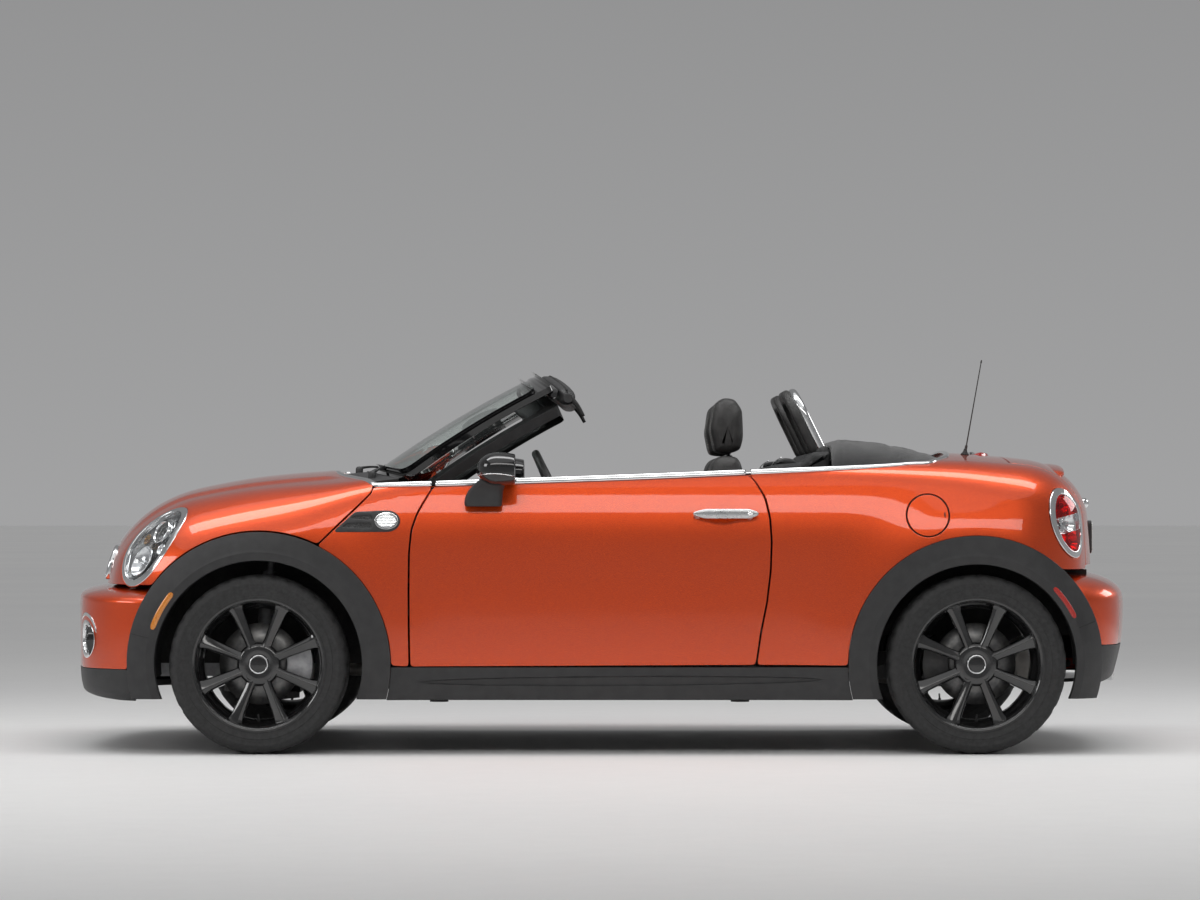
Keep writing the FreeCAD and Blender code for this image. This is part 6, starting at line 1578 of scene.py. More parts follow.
l1 = panel("side_lamp_left", SP, [ell(34.2, 22.8)], [CLEAR], depth=3, r=0.5, inset=0, corner=1, edge=4, grid=0.004, offset=dome_off)
both(l1, "body", "lamp_glass")
l2 = panel("side_lamp_back_left", SP, [ell(34, 22.5)], [REFLECT], depth=1, r=0.3, inset=0, corner=1, edge=4, grid=0.005, offset=3.0)
both(l2, "body", "lamp_glass")


def arch_patch(name, cx, rim, sgn, r_in, r_out, r0, r1, t0, t1, proud, mats, n=26):
    T = np.linspace(t0, t1, n)
    rows = []
    for i, t in enumerate(T):
        e = min(i, n - 1 - i)
        half = (r1 - r0) / 2 * (math.sqrt(1 - (1 - min(1, (e + 0.35) / 3.0)) ** 2))
        m = (r0 + r1) / 2
        row = []
        for f, h in ((-1, -4.0), (-1, proud - 1.2), (-0.86, proud), (0, proud + 0.8), (0.86, proud), (1, proud - 1.2), (1, -4.0)):
            r = m + f * half
            k = (r - r_in) / (r_out - 1 - r_in)
            y = float(arch_y(rim, t, k)) + h
            row.append((cx + sgn * r * math.cos(math.radians(t)), -y, AZ + r * math.sin(math.radians(t))))
        rows.append(row)
    V = np.array(rows)
    a, m = V.shape[:2]
    F = [(i * m + k, (i + 1) * m + k, (i + 1) * m + k + 1, i * m + k + 1) for i in range(a - 1) for k in range(m - 1)]
    F += [tuple(range(m)), tuple((a - 1) * m + k for k in reversed(range(m)))]
    ob = make_obj(name, V.reshape(-1, 3), F, mats)
    fix_normals(ob)
    sharp(ob, 40)
    return ob


AMBER_M = make_plain("amber_marker", (0.55, 0.17, 0.012), (0.72, 0.26, 0.03), 0.12, 0.2, 220.0, bump=0.4, bscale=160.0, dist=0.0006, Coat_Weight=1.0)
RED_M = make_plain("red_marker", (0.34, 0.012, 0.008), (0.50, 0.03, 0.02), 0.12, 0.2, 220.0, bump=0.4, bscale=160.0, dist=0.0006, Coat_Weight=1.0)
both(arch_patch("side_marker_front_left", FAX, FRONT_RIM, -1, ARF_IN, ARF_OUT, 373, 392, 18.5, 40, 2.5, [AMBER_M]), "body", "lamp_glass")
both(arch_patch("side_marker_rear_left", RAX, REAR_RIM, 1, ARR_IN, ARR_OUT, 364, 381, 25.5, 45, 2.5, [RED_M]), "body", "red_lens")

# joint lines in the arch trims
for nm, cx, rim, sgn, ri, ro, t0 in (("front", FAX, FRONT_RIM, -1, ARF_IN, ARF_OUT, 13.6), ("rear", RAX, REAR_RIM, 1, ARR_IN, ARR_OUT, 19.8)):
    R = np.linspace(ri + 30, ro - 2, 12)
    P = np.array([(cx + sgn * r * math.cos(math.radians(t0)), -float(arch_y(rim, t0, (r - ri) / (ro - 1 - ri))) - 0.15, AZ + r * math.sin(math.radians(t0))) for r in R])
    both(sweep("arch_joint_%s_left" % nm, P, rounded(2.4, 1.0, 0.4, 2), [RUBBER], up=(0, 1, 0)), "body", "black_plastic")

# high brake lamp on the deck
y = np.linspace(-150, 150, 40)
P = on_top(1372 - 10 * (y / 150) ** 2, y)
sec = [np.array([[a_ * (13 * (1 - (abs(yy_) / 150) ** 6) + 3), b_] for a_, b_ in ((-1.9, -3), (-1.7, 3.5), (-0.9, 8.5), (0.6, 9.5), (1.5, 6), (1.9, -3))]) for yy_ in y]
o = sweep("high_brake_lamp", P, sec, [RED_M], up=(0, 0, 1))
sharp(o, 40)
add(o, "body", "red_lens")
P = on_top(1338 - 10 * (y / 150) ** 2, y)
o = sweep("brake_lamp_base", P, [s_ * np.array([0.55, 0.9]) for s_ in sec], [CHROME], up=(0, 0, 1))
sharp(o, 40)
add(o, "body", "bright_trim")

# aerial
base = on_top(np.array([1293.]), np.array([-300.]))[0]
d = np.array([0.178, 0, 1.0]) / math.hypot(0.178, 1)
parts = [lathe("abase", [(0, 22), (5, 21.5), (6, 18), (7.5, 12), (11, 6), (15, 2), (15.5, -3), (0, -3)], [RUBBER], base, (0.12, 0, 1), 40, up=(1, 0, 0), sharp_deg=50)]
prof = [(4.6, 14), (4.8, 30), (4.0, 34), (2.6, 36)]
for k in range(60):
    z = 38 + k * 4.8
    prof += [(2.55 - 0.010 * k, z), (2.15 - 0.010 * k, z + 2.4)]
prof += [(1.6, 330), (2.6, 331), (2.8, 338), (1.8, 342), (0, 343)]
parts.append(lathe("mast", prof, [CHASSIS], base, d, 16, up=(1, 0, 0), sharp_deg=60))
add(join("aerial_mast", parts), "body", "black_plastic", "aerial")

# fuel flap: finger notch and edge seal
notch_c = on_side(np.array([1183.]), np.array([823.]))[0]
P = on_side(np.full(9, 1181.0), np.linspace(812, 832, 9))
o = sweep("fuel_flap_notch", P + np.array([0, -0.3, 0]), [rounded(5 * w_, 1.2, 0.5, 2) for w_ in (0.4, 0.7, 0.9, 1, 1, 1, 0.9, 0.7, 0.4)], [RUBBER], up=(0, 1, 0))
add(o, "fuel_flap", "black_plastic")
jr = flap_ring(74)
Nn = grad(upper, jr)
t = np.roll(jr, -1, 0) - np.roll(jr, 1, 0)
t /= np.linalg.norm(t, axis=1, keepdims=True)
o = sweep("fuel_flap_seal", jr - Nn * 9, rounded(6, 4, 1.5, 2), [RUBBER], closed_path=True, frames=(Nn, np.cross(t, Nn)))
add(o, "body", "black_plastic")

# door handles
X = np.concatenate([[316, 318, 322], np.linspace(330, 520, 22), [528, 534, 538.5, 540]])
skin = on_side(X, np.full(len(X), 820.0))
Nh = grad(upper, skin)
fr_ = np.minimum((X - 314) / 46.0, (541 - X) / 34.0).clip(0.02, 1) ** 0.5
secs = [np.stack([np.cos(tt[::4]) * (6.8 * (0.55 + 0.45 * f_)), np.sign(np.sin(tt[::4])) * np.abs(np.sin(tt[::4])) ** 0.85 * (17.0 * f_ if f_ > 0.1 else 3.0)], 1) for f_ in fr_]
Pc = skin + Nh * 23.0
o = sweep("handle_bar_left", Pc, secs, [SATIN], frames=(Nh, np.broadcast_to(np.array([0, 0.0, 1.0]), Pc.shape)))
parts = [o]
for xf, w_ in ((331, 15), (511, 17)):
    b = on_side(np.array([xf]), np.array([820.]))[0]
    nb_ = grad(upper, b[None])[0]
    parts.append(lathe("foot", [(w_ * 0.9, -8), (w_ * 0.9, 2), (w_ * 0.62, 6), (w_ * 0.55, 19)], [SATIN], b, nb_, 28, up=(1, 0, 0), sharp_deg=50))
b = on_side(np.array([511.]), np.array([820.]))[0]
nb_ = grad(upper, b[None])[0]
parts.append(lathe("lock", [(0, 31.6), (2.2, 31.4), (2.6, 30.6), (6.4, 30.6), (7.4, 31.3), (8.6, 31.1), (9.2, 29)], [CHROME], b, nb_, 32, up=(1, 0, 0), sharp_deg=40))
both(join("door_handle_left", parts), "door_left", "bright_trim", "handle_left")
for b_ in MADE:
    if b_.name.startswith("door_handle_right"):
        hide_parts("handle_right")

# door mirrors
MC = np.array([-352., -861., 976.])


def mirror_pieces():
    ph = np.linspace(-math.pi / 2, math.pi / 2, 30)
    th_ = np.linspace(0, 2 * math.pi, 64, endpoint=False)
    # sections across x, from the rounded nose at the front to the cut face behind
    xs = np.concatenate([[-1.0, -0.995, -0.98, -0.95, -0.9, -0.82, -0.72, -0.6], np.linspace(-0.45, 0.74, 12)])
    V = []
    for u in xs:
        s_ = math.sqrt(max(0.0, 1 - abs(u) ** 2.3)) if u < 0 else (1 - 0.10 * (u / 0.74) ** 2)
        if u < 0:
            s_ = max(0.004, s_)
        for a_ in th_:
            c_, d_ = math.cos(a_), math.sin(a_)
            e = 2 / 2.5
            yy_ = math.copysign(abs(c_) ** e, c_) * 80 * s_
            zz_ = math.copysign(abs(d_) ** e, d_) * 60 * s_
            if zz_ < 0:
                zz_ *= 0.92
            V.append((MC[0] + u * 74, MC[1] + yy_, MC[2] + zz_))
    V = np.array(V)
    m = len(th_)
    n_ = len(xs)
    F = [(i * m + k, (i + 1) * m + k, (i + 1) * m + (k + 1) % m, i * m + (k + 1) % m) for i in range(n_ - 1) for k in range(m)]
    F.append(tuple(range(m)))
    # return inwards behind and the recess for the glass
    base_ = V[(n_ - 1) * m:]
    extra = []
    for dx, sc in ((2.0, 0.985), (2.5, 0.955), (0.5, 0.94), (-8, 0.93)):
        q = (base_ - base_.mean(0)) * sc + base_.mean(0)
        q[:, 0] += dx
        extra.append(q)
    V = np.vstack([V] + extra)
    for i in range(n_ - 1, n_ + 3):
        F += [(i * m + k, (i + 1) * m + k, (i + 1) * m + (k + 1) % m, i * m + (k + 1) % m) for k in range(m)]
    shell = make_obj("mshell", V, F, [GLOSS])
    fix_normals(shell)
    sharp(shell, 45)
    # bright line round the cap
    ring = []
    for u_ in np.linspace(0.70, -0.985, 26):
        s_ = math.sqrt(max(0.0, 1 - abs(u_) ** 2.3)) if u_ < 0 else (1 - 0.10 * (u_ / 0.74) ** 2)
        zz_ = -14 - 10 * (u_ + 0.2) ** 2
        k_ = (1 - min(0.98, abs(zz_ / (60 * max(s_, 0.3)))) ** 2.5) ** (1 / 2.5)
        ring.append((MC[0] + u_ * 74, -k_ * 80 * s_, MC[2] + zz_))
    ring = np.array(ring)
    loop_ = np.vstack([ring * (1, 1, 1), (ring * (1, -1, 1))[::-1][1:]]) + np.array([0, MC[1], 0])
    loop_ = relax(resample(loop_, 6, closed=False), 2, closed=False)
    cm_ = MC + np.array([0, 0, -14])
    out_ = loop_ - cm_
    out_ /= np.linalg.norm(out_, axis=1, keepdims=True)
    line = sweep("mline", loop_ + out_ * 0.5, ring_section(1.7, 8), [CHROME], up=(0, 0, 1))
    g = (base_ - base_.mean(0)) * 0.92 + base_.mean(0)
    g[:, 0] += -5 + (g[:, 1] - MC[1]) * 0.10
    gm = np.vstack([g, [g.mean(0)]])
    glass_ = make_obj("mglass", gm, [(k, (k + 1) % m, m) for k in range(m)], [MIRROR])
    if glass_.data.polygons[0].normal.x < 0:
        glass_.data.flip_normals()
    # foot: wide at the door, slim under the shell
    rows = []
    for z, x0, x1, y0, y1 in ((850, -462, -345, -829, -803), (853, -468, -341, -835, -800), (866, -470, -340, -838, -796), (885, -466, -338, -842, -790), (905, -456, -336, -850, -790), (922, -440, -330, -866, -800), (936, -424, -322, -880, -812), (950, -410, -312, -890, -826)):
        sec_ = rounded(x1 - x0, y1 - y0, min(x1 - x0, y1 - y0) * 0.45, 5)
        rows.append(np.stack([sec_[:, 0] + (x0 + x1) / 2, sec_[:, 1] + (y0 + y1) / 2, np.full(len(sec_), float(z))], 1))
    m2 = len(rows[0])
    V = np.vstack(rows)
    F = [(i * m2 + k, (i + 1) * m2 + k, (i + 1) * m2 + (k + 1) % m2, i * m2 + (k + 1) % m2) for i in range(len(rows) - 1) for k in range(m2)]
    F += [tuple(range(m2)), tuple((len(rows) - 1) * m2 + k for k in range(m2))]
    foot = make_obj("mfoot", V, F, [TRIM])
    fix_normals(foot)
    sharp(foot, 40)
    return join("door_mirror_left", [shell, line, glass_, foot])


both(mirror_pieces(), "door_left", "gloss_black", "mirror_left")
for b_ in MADE:
    if b_.name.startswith("door_mirror_right"):
        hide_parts("mirror_right")

# boot: spoiler lip, handle and the blank plate on its holder
y = np.linspace(-486, 486, 90)
sec = np.array([(1566, 1004), (1590, 1006), (1612, 1006), (1632, 1004), (1646, 1000), (1651, 996), (1652, 990), (1640, 968), (1600, 985)], float)
rows = []
for yy_ in y:
    e = abs(yy_) / 486
    s_ = 1 - max(0, (e - 0.9) / 0.1) ** 2 * 0.75
    top = on_top(np.array([1590.]), np.array([yy_]))[0][2] - on_top(np.array([1590.]), np.array([0.]))[0][2]
    back = -26 * e ** 2.2
    c0 = np.array([1600, 985])
    rows.append([((x_ - c0[0]) * s_ + c0[0] + back, yy_, (z_ - c0[1]) * s_ + c0[1] + top) for x_, z_ in sec])
V = np.array(rows)
m = V.shape[1]
F = [(i * m + k, (i + 1) * m + k, (i + 1) * m + (k + 1) % m, i * m + (k + 1) % m) for i in range(len(y) - 1) for k in range(m)]
F += [tuple(range(m)), tuple((len(y) - 1) * m + k for k in range(m))]
o = make_obj("spoiler_lip", V.reshape(-1, 3), F, [PAINT])
fix_normals(o)
sharp(o, 32)
add(o, "boot_lid", "paint")
y = np.linspace(-151, 151, 40)
P = hit(upper, np.stack([np.full(40, 1400.0), y, np.full(40, 862.0)], 1), np.array([[1.0, 0, 0]]), 20, 700)
Nb = np.broadcast_to(np.array([1.0, 0, 0]), P.shape)
secs = []
for yy_ in y:
    f_ = min(1, (151.5 - abs(yy_)) / 16.0) ** 0.5
    a = np.linspace(0, math.pi, 9)
    secs.append(np.vstack([np.stack([-4 + 27 * f_ * np.sin(a) ** 0.6, -19.5 * max(f_, 0.3) * np.cos(a)], 1), [[-8, 19.5 * max(f_, 0.3)], [-8, -19.5 * max(f_, 0.3)]]]))
o = sweep("boot_handle", P, secs, [CHROME], frames=(Nb, np.broadcast_to(np.array([0, 0, 1.0]), P.shape)))
sharp(o, 50)
add(o, "boot_lid", "bright_trim")
px0 = float(hit(upper, np.array([[1400., 0, 742]]), np.array([[1.0, 0, 0]]), 20, 700)[0][0])
fn = lambda off: Flat(lambda a_, b_: np.stack([np.full_like(a_, off) + 0 * a_, a_ * 1000, b_ * 1000], -1))
rr = rounded(0.520, 0.112, 0.010, 5) + np.array([0, 0.742])
hold = panel("plate_holder_body", fn(1748.5), [rr], [TRIM], depth=14, r=2.5, corner=1, grid=0.03)
rr2 = rounded(0.508, 0.100, 0.006, 5) + np.array([0, 0.742])
plate = panel("blank_plate", fn(1752.0), [rr2], [make_plain("blank_plate_white", (0.72, 0.72, 0.70), (0.80, 0.80, 0.78), 0.35, 0.5, 60.0, bump=0.2, bscale=300.0)], depth=1.2, r=1.0, corner=1, grid=0.03)
parts = [hold, plate]
for yy_ in (-140, 140):
    parts.append(lathe("screw", [(0, 1.0), (3.6, 1.8), (5.6, 1.2), (6.2, 0)], [SATIN], (1752.6, yy_, 742), (1, 0, 0), 24, sharp_deg=60))
add(join("plate_holder_look", parts), "boot_lid", "black_plastic", "plate_holder")

# exhaust tips
parts = []
for yy_ in (-75, 75):
    prof = [(33, 1640), (33, 1838), (34, 1843), (36, 1845), (38, 1843.5), (38.6, 1838), (37.4, 1828), (37, 1640)]
    parts.append(lathe("tip", [(r_, x_ - 1640) for r_, x_ in prof], [CHROME], (1640, yy_, 262), (1, 0, 0), 56, up=(0, 0, 1), sharp_deg=50))
add(join("exhaust_tips", parts), "body", "exhaust_steel")

# ------------------------------------------------------------------ cabin

def loft_y(name, prof, half, r, mats, ny=26, step=12.0, yc=0.0, shape=None, corner=3, sharp_deg=None, lead=None):
    """A side-view outline (x, z) carried across from -half to half about yc, with edges rounded by r.
    shape(x, z, v, nx, nz) gives how far the surface stands out there, v from -1 to 1 across."""
    q = relax(resample(np.asarray(prof, float), step), corner)
    if area2(q) < 0:
        q = q[::-1]
    t = np.roll(q, -1, 0) - np.roll(q, 1, 0)
    t /= np.maximum(1e-9, np.linalg.norm(t, axis=1, keepdims=True))
    nrm = np.stack([t[:, 1], -t[:, 0]], 1)
    na = 7
    a = np.linspace(0, math.pi / 2, na)
    ys = np.concatenate([-half + r * (1 - np.sin(a)), np.linspace(-half + r, half - r, ny)[1:-1], half - r * (1 - np.sin(a[::-1]))])
    ins = np.concatenate([r * (1 - np.cos(a)) * 0 + r * (1 - np.cos(a[::-1]))[::1], np.zeros(ny - 2), r * (1 - np.cos(a))])
    ys = np.concatenate([-half + r - r * np.cos(a), np.linspace(-half + r, half - r, ny)[1:-1], half - r + r * np.cos(a[::-1])])
    ins = np.concatenate([r - r * np.sin(a), np.zeros(ny - 2), r - r * np.sin(a[::-1])])
    V = []
    for y, d in zip(ys, ins):
        off = -d * np.ones(len(q))
        if shape is not None:
            off = off + shape(q[:, 0], q[:, 1], np.full(len(q), y / half), nrm[:, 0], nrm[:, 1])
        p = q + nrm * off[:, None]
        V.append(np.stack([p[:, 0], np.full(len(q), y + yc), p[:, 1]], 1))
    m = len(q)
    V = np.vstack(V)
    n = len(ys)
    F = [(i * m + k, (i + 1) * m + k, (i + 1) * m + (k + 1) % m, i * m + (k + 1) % m) for i in range(n - 1) for k in range(m)]
    # end caps as fans round the middle of each end
    for row in (0, n - 1):
        c = len(V)
        P = V[row * m:(row + 1) * m]
        V = np.vstack([V, P.mean(0)[None]])
        F += [(row * m + k, row * m + (k + 1) % m, c) for k in range(m)]
    ob = make_obj(name, V, F, mats)
    fix_normals(ob)
    sharp(ob, sharp_deg or 60)
    return ob


def hill(v, c, w):
    return np.clip(1 - ((v - c) / w) ** 2, 0, 1) ** 2


def wrinkle(x, y, z, amp=1.2):
    return amp * (np.sin(x / 23.0 + 1.7 * np.sin(z / 31.0)) * np.sin(y / 27.0 + 1.3 * np.sin(x / 37.0)) + 0.6 * np.sin(z / 17.0 + y / 41.0))


def stitch_line(P, N, every=9.0, length=5.0, r=0.75):
    """Short threads along a line on a surface, one mesh."""
    P = np.asarray(P, float)
    n = resample(P, every, closed=False)
    k = kdtree.KDTree(len(P))
    for i, p in enumerate(P):
        k.insert(p, i)
    k.balance()
    V, F = [], []
    for a, b in zip(n[:-1], n[1:]):
        d = b - a
        L = np.linalg.norm(d)
        if L < 1e-6:
            continue
        d = d / L
        i = k.find(a)[1]
        w = np.asarray(N[i])
        s = np.cross(d, w)
        s /= max(1e-9, np.linalg.norm(s))
        p0, p1 = a + d * (L - length) / 2, a + d * (L + length) / 2
        base = len(V)
        for p, sc in ((p0, 0.35), ((p0 + p1) / 2, 1.0), (p1, 0.35)):
            lift_ = 0.5 * sc
            for cs, cw in ((1, 0), (0, 1), (-1, 0), (0, -1)):
                V.append(p + w * lift_ + s * r * cs * sc + w * r * cw * sc)
        for j in (0, 1):
            for q in range(4):
                F.append((base + j * 4 + q, base + j * 4 + (q + 1) % 4, base + (j + 1) * 4 + (q + 1) % 4, base + (j + 1) * 4 + q))
    return V, F


def surface_line(ob, pts, direction):
    """Points of an object's surface hit from pts along a direction, with its normals there, in millimetres."""
    me = ob.data
    from mathutils.bvhtree import BVHTree
    tree = BVHTree.FromPolygons([v.co for v in me.vertices], [p.vertices[:] for p in me.polygons])
    P, N = [], []
    for p in pts:
        h = tree.ray_cast(Vector(p) / 1000.0, Vector(direction))
        if h[0] is not None:
            n = h[1]
            if n.dot(Vector(direction)) > 0:
                n = -n
            P.append(np.array(h[0]) * 1000.0)
            N.append(np.array(n))
    return np.array(P), np.array(N)


CUSH = [(-128, 380), (-122, 412), (-60, 440), (60, 424), (200, 412), (300, 404), (318, 392), (318, 330), (300, 308), (-90, 308), (-118, 330)]
BACK = [(318, 402), (335, 560), (345, 700), (372, 860), (392, 1000), (416, 1028), (478, 1026), (496, 985), (484, 840), (470, 700), (452, 500), (446, 400), (420, 372), (350, 372)]
REST = [(402, 1042), (386, 1120), (400, 1208), (430, 1232), (470, 1228), (496, 1190), (500, 1090), (488, 1048), (445, 1036)]


def seat(side, yc):
    def cush_shape(x, z, v, nx, nz):
        up_ = np.clip(nz, 0, 1)
        bol = 30 * np.clip((np.abs(v) - 0.60) / 0.22, 0, 1) * np.clip((1.0 - np.abs(v)) / 0.08, 0, 1) ** 0.5
        seam = -6.5 * hill(np.abs(v), 0.60, 0.030) - 4.0 * (hill(x, 40, 9) + hill(x, 150, 9)) * (np.abs(v) < 0.6)
        puff = 5.0 * np.cos(np.clip(v / 0.6, -1, 1) * math.pi / 2) * (np.abs(v) < 0.6)
        return up_ * (bol + seam + puff) + wrinkle(x, v * 240, z, 0.7)

    def back_shape(x, z, v, nx, nz):
        fr = np.clip(-nx, 0, 1)
        bol = 34 * np.clip((np.abs(v) - 0.58) / 0.22, 0, 1) * np.clip((1.0 - np.abs(v)) / 0.08, 0, 1) ** 0.5 * np.clip((960 - z) / 160.0, 0.15, 1)
        seam = -6.5 * hill(np.abs(v), 0.58, 0.030) - 4.0 * (hill(z, 560, 9) + hill(z, 690, 9) + hill(z, 820, 9)) * (np.abs(v) < 0.58)
        puff = 6.0 * np.cos(np.clip(v / 0.58, -1, 1) * math.pi / 2) * (np.abs(v) < 0.58)
        narrow = 0
        return fr * (bol + seam + puff) + wrinkle(x, v * 235, z, 0.8)

    def rest_shape(x, z, v, nx, nz):
        fr = np.clip(-nx, 0, 1)
        return fr * (5 * np.cos(v * math.pi / 2) - 4.0 * hill(np.abs(v), 0.66, 0.05) - 3.5 * hill(z, 1150, 8) * (np.abs(v) < 0.66)) + wrinkle(x, v * 135, z, 0.5)

    c = loft_y("seat_cushion_%s" % side, CUSH, 238, 38, [LEATHER], ny=62, step=10, yc=yc, shape=cush_shape)
    b = loft_y("seat_back_%s" % side, BACK, 233, 40, [LEATHER], ny=62, step=11, yc=yc, shape=back_shape)
    # the back narrows towards the shoulders
    for v in b.data.vertices:
        z = v.co.z * 1000
        k = 1 - 0.16 * smooth((z - 820) / 220.0)
        v.co.y = (v.co.y - yc / 1000) * float(k) + yc / 1000
    h = loft_y("head_rest_%s" % side, REST, 133, 34, [LEATHER], ny=40, step=8, yc=yc, shape=rest_shape)
    for v in h.data.vertices:
        z = v.co.z * 1000
        k = 1 - 0.10 * smooth((z - 1150) / 80.0)
        v.co.y = (v.co.y - yc / 1000) * float(k) + yc / 1000
    nodes = "%s_seat" % side
    add(c, "body", "seat_leather", nodes)
    add(b, "body", "seat_leather")
    add(h, "body", "seat_leather")
    # stitching beside the seams
    V, F = [], []
    for o, lines, d in ((c, [[(x, yc + s * 238 * u, 520) for x in np.linspace(-90, 290, 90)] for s in (-1, 1) for u in (0.56, 0.64)], (0, 0, -1)),
                        (b, [[(150, yc + s * 233 * u * (1 - 0.16 * float(smooth((z - 820) / 220.0))), z) for z in np.linspace(450, 985, 110)] for s in (-1, 1) for u in (0.54, 0.62)], (1, 0, 0)),
                        (h, [[(300, yc + s * 133 * u, z) for z in np.linspace(1065, 1205, 40)] for s in (-1, 1) for u in (0.60, 0.72)], (1, 0, 0))):
        for L in lines:
            P, N = surface_line(o, L, d)
            if len(P) > 4:
                v_, f_ = stitch_line(P, N)
                F += [tuple(i + len(V) for i in q) for q in f_]
                V += v_
    st = make_obj("seat_stitching_%s" % side, V, F, [STITCH])
    fix_normals(st)
    add(st, "body", "seat_leather")
    parts = []
    for s in (-62, 62):
        parts.append(lathe("post", [(6, -60), (6, 60), (0, 61)], [SATIN], (452, yc + s, 1010), (-0.05, 0, 1), 20, up=(1, 0, 0), sharp_deg=50))
        parts.append(lathe("guide", [(13, 0), (13, 5), (11, 8), (7, 8.5), (6, 8)], [CABIN], (450.5, yc + s, 1022), (-0.05, 0, 1), 28, up=(1, 0, 0), sharp_deg=40))
    parts.append(loft_y("tray", [(-112, 312), (-100, 252), (-70, 226), (360, 226), (425, 262), (436, 330), (420, 366), (330, 330), (300, 310), (-90, 306)], 226, 12, [CABIN], ny=6, step=14, yc=yc, sharp_deg=40))
    for s in (-1, 1):
        parts.append(loft_y("rail", [(-110, 214), (-110, 228), (390, 228), (390, 214)], 17, 3, [SATIN], ny=4, step=12, yc=yc + s * 150, corner=0, sharp_deg=30))
        parts.append(lathe("pivot", [(0, 14), (22, 13.5), (30, 11), (33, 5), (33, -2), (0, -2)], [CABIN], (392, yc + s * 226, 352), (0, s, 0), 44, sharp_deg=40))
    # recliner wheel, lifting lever and belt buckle
    so = -1 if yc < 0 else 1
    prof = [(0, 24), (16, 23.5), (24, 22), (27, 18), (27, 8), (24, 6), (0, 6)]
    parts.append(lathe("reclin", prof, [CABIN], (330, yc + so * 226, 340), (0, so, 0), 40, sharp_deg=40))
    P = np.array([(120, yc + so * 236, 286), (60, yc + so * 242, 284), (-20, yc + so * 243, 292), (-70, yc + so * 241, 300)], float)
    parts.append(sweep("lever", resample(P, 10, closed=False), rounded(12, 24, 5, 3), [CABIN], up=(0, 0, 1)))
    P = np.array([(330, yc - so * 236, 330), (322, yc - so * 240, 400), (312, yc - so * 240, 452)], float)
    parts.append(sweep("stalk", resample(P, 8, closed=False), rounded(8, 26, 3, 3), [RUBBER], up=(1, 0, 0)))
    parts.append(sweep("buckle", np.array([(314, yc - so * 240, 446), (306, yc - so * 240, 486), (303, yc - so * 240, 500)], float), rounded(20, 36, 7, 4), [CABIN], up=(1, 0, 0)))
    parts.append(sweep("button", np.array([(304, yc - so * 240, 498), (302.4, yc - so * 240, 504)], float), rounded(12, 24, 4, 3), [RED_M], up=(1, 0, 0)))
    add(join("seat_frame_%s" % side, parts), "body", "cabin_plastic")


seat("driver", -360)
seat("passenger", 360)

# dashboard: a soft top, a bright strip, dials, vents and the middle panel
DS = [(-722, 905), (-650, 922), (-520, 912), (-420, 872), (-384, 826), (-372, 800), (-374, 750), (-378, 710), (-440, 640), (-540, 600), (-722, 600)]


def dash_shape(x, z, v, nx, nz):
    face = np.clip(nx, 0, 1)
    dip = -10 * hill(z, 760, 34) * face
    return dip - 4 * hill(z, 838, 4.0) * face + 6 * np.cos(v * math.pi / 2) * face


SOFT = make_grained("dash_soft_top", (0.014, 0.014, 0.0145), (0.021, 0.021, 0.0215), 0.55, 0.72, 380.0, 0.0006, 0.6)
dash = loft_y("dashboard_body", DS, 654, 30, [SOFT], ny=60, step=9, shape=dash_shape, corner=2)
add(dash, "body", "cabin_plastic", "dashboard")
parts = []
PIANO = GLOSS
for y0, y1 in ((-600, -515), (-205, -140), (140, 600)):
    P = np.array([(-381 + 0.00001 * y, y, 762) for y in np.linspace(y0, y1, 30)])
    parts.append(sweep("dstrip", P, np.array([[-2, -20], [3, -18], [4.4, -8], [4.8, 0], [4.4, 8], [3, 18], [-2, 20]]), [SATIN], frames=(np.broadcast_to(np.array([1.0, 0, 0]), P.shape), np.broadcast_to(np.array([0, 0, 1.0]), P.shape))))
for y in (-558, 558, -172, 172):
    c = np.array([-380., y, 812. if abs(y) < 200 else 806.])
    ax = (0.96, 0, 0.26)
    parts.append(lathe("vent", [(45, -12), (45, 3), (43, 6), (39, 6), (37, 3), (36, -14)], [CHROME], c, ax, 56, up=(0, 0, 1), sharp_deg=40))
    parts.append(lathe("vback", [(37, -12), (20, -16), (0, -17)], [RUBBER], c, ax, 40, up=(0, 0, 1), sharp_deg=40))
    parts.append(lathe("vhub", [(0, 2), (9, 1.5), (11, -2), (11, -14)], [CABIN], c, ax, 30, up=(0, 0, 1), sharp_deg=40))
    for k in range(-3, 4):
        if k == 0:
            continue
        hh = math.sqrt(36 ** 2 - (k * 10) ** 2) - 1
        a = np.array(ax)
        u = np.array([-0.26, 0, 0.96])
        p = c + u * k * 10 - a * 4
        parts.append(sweep("fin", np.array([p + np.array([0, -hh, 0]), p + np.array([0, -hh / 2, 0]), p + np.array([0, hh / 2, 0]), p + np.array([0, hh, 0])]), rounded(11, 2.2, 0.9, 2), [CABIN], frames=(np.broadcast_to(a, (4, 3)), np.broadcast_to(u, (4, 3)))))
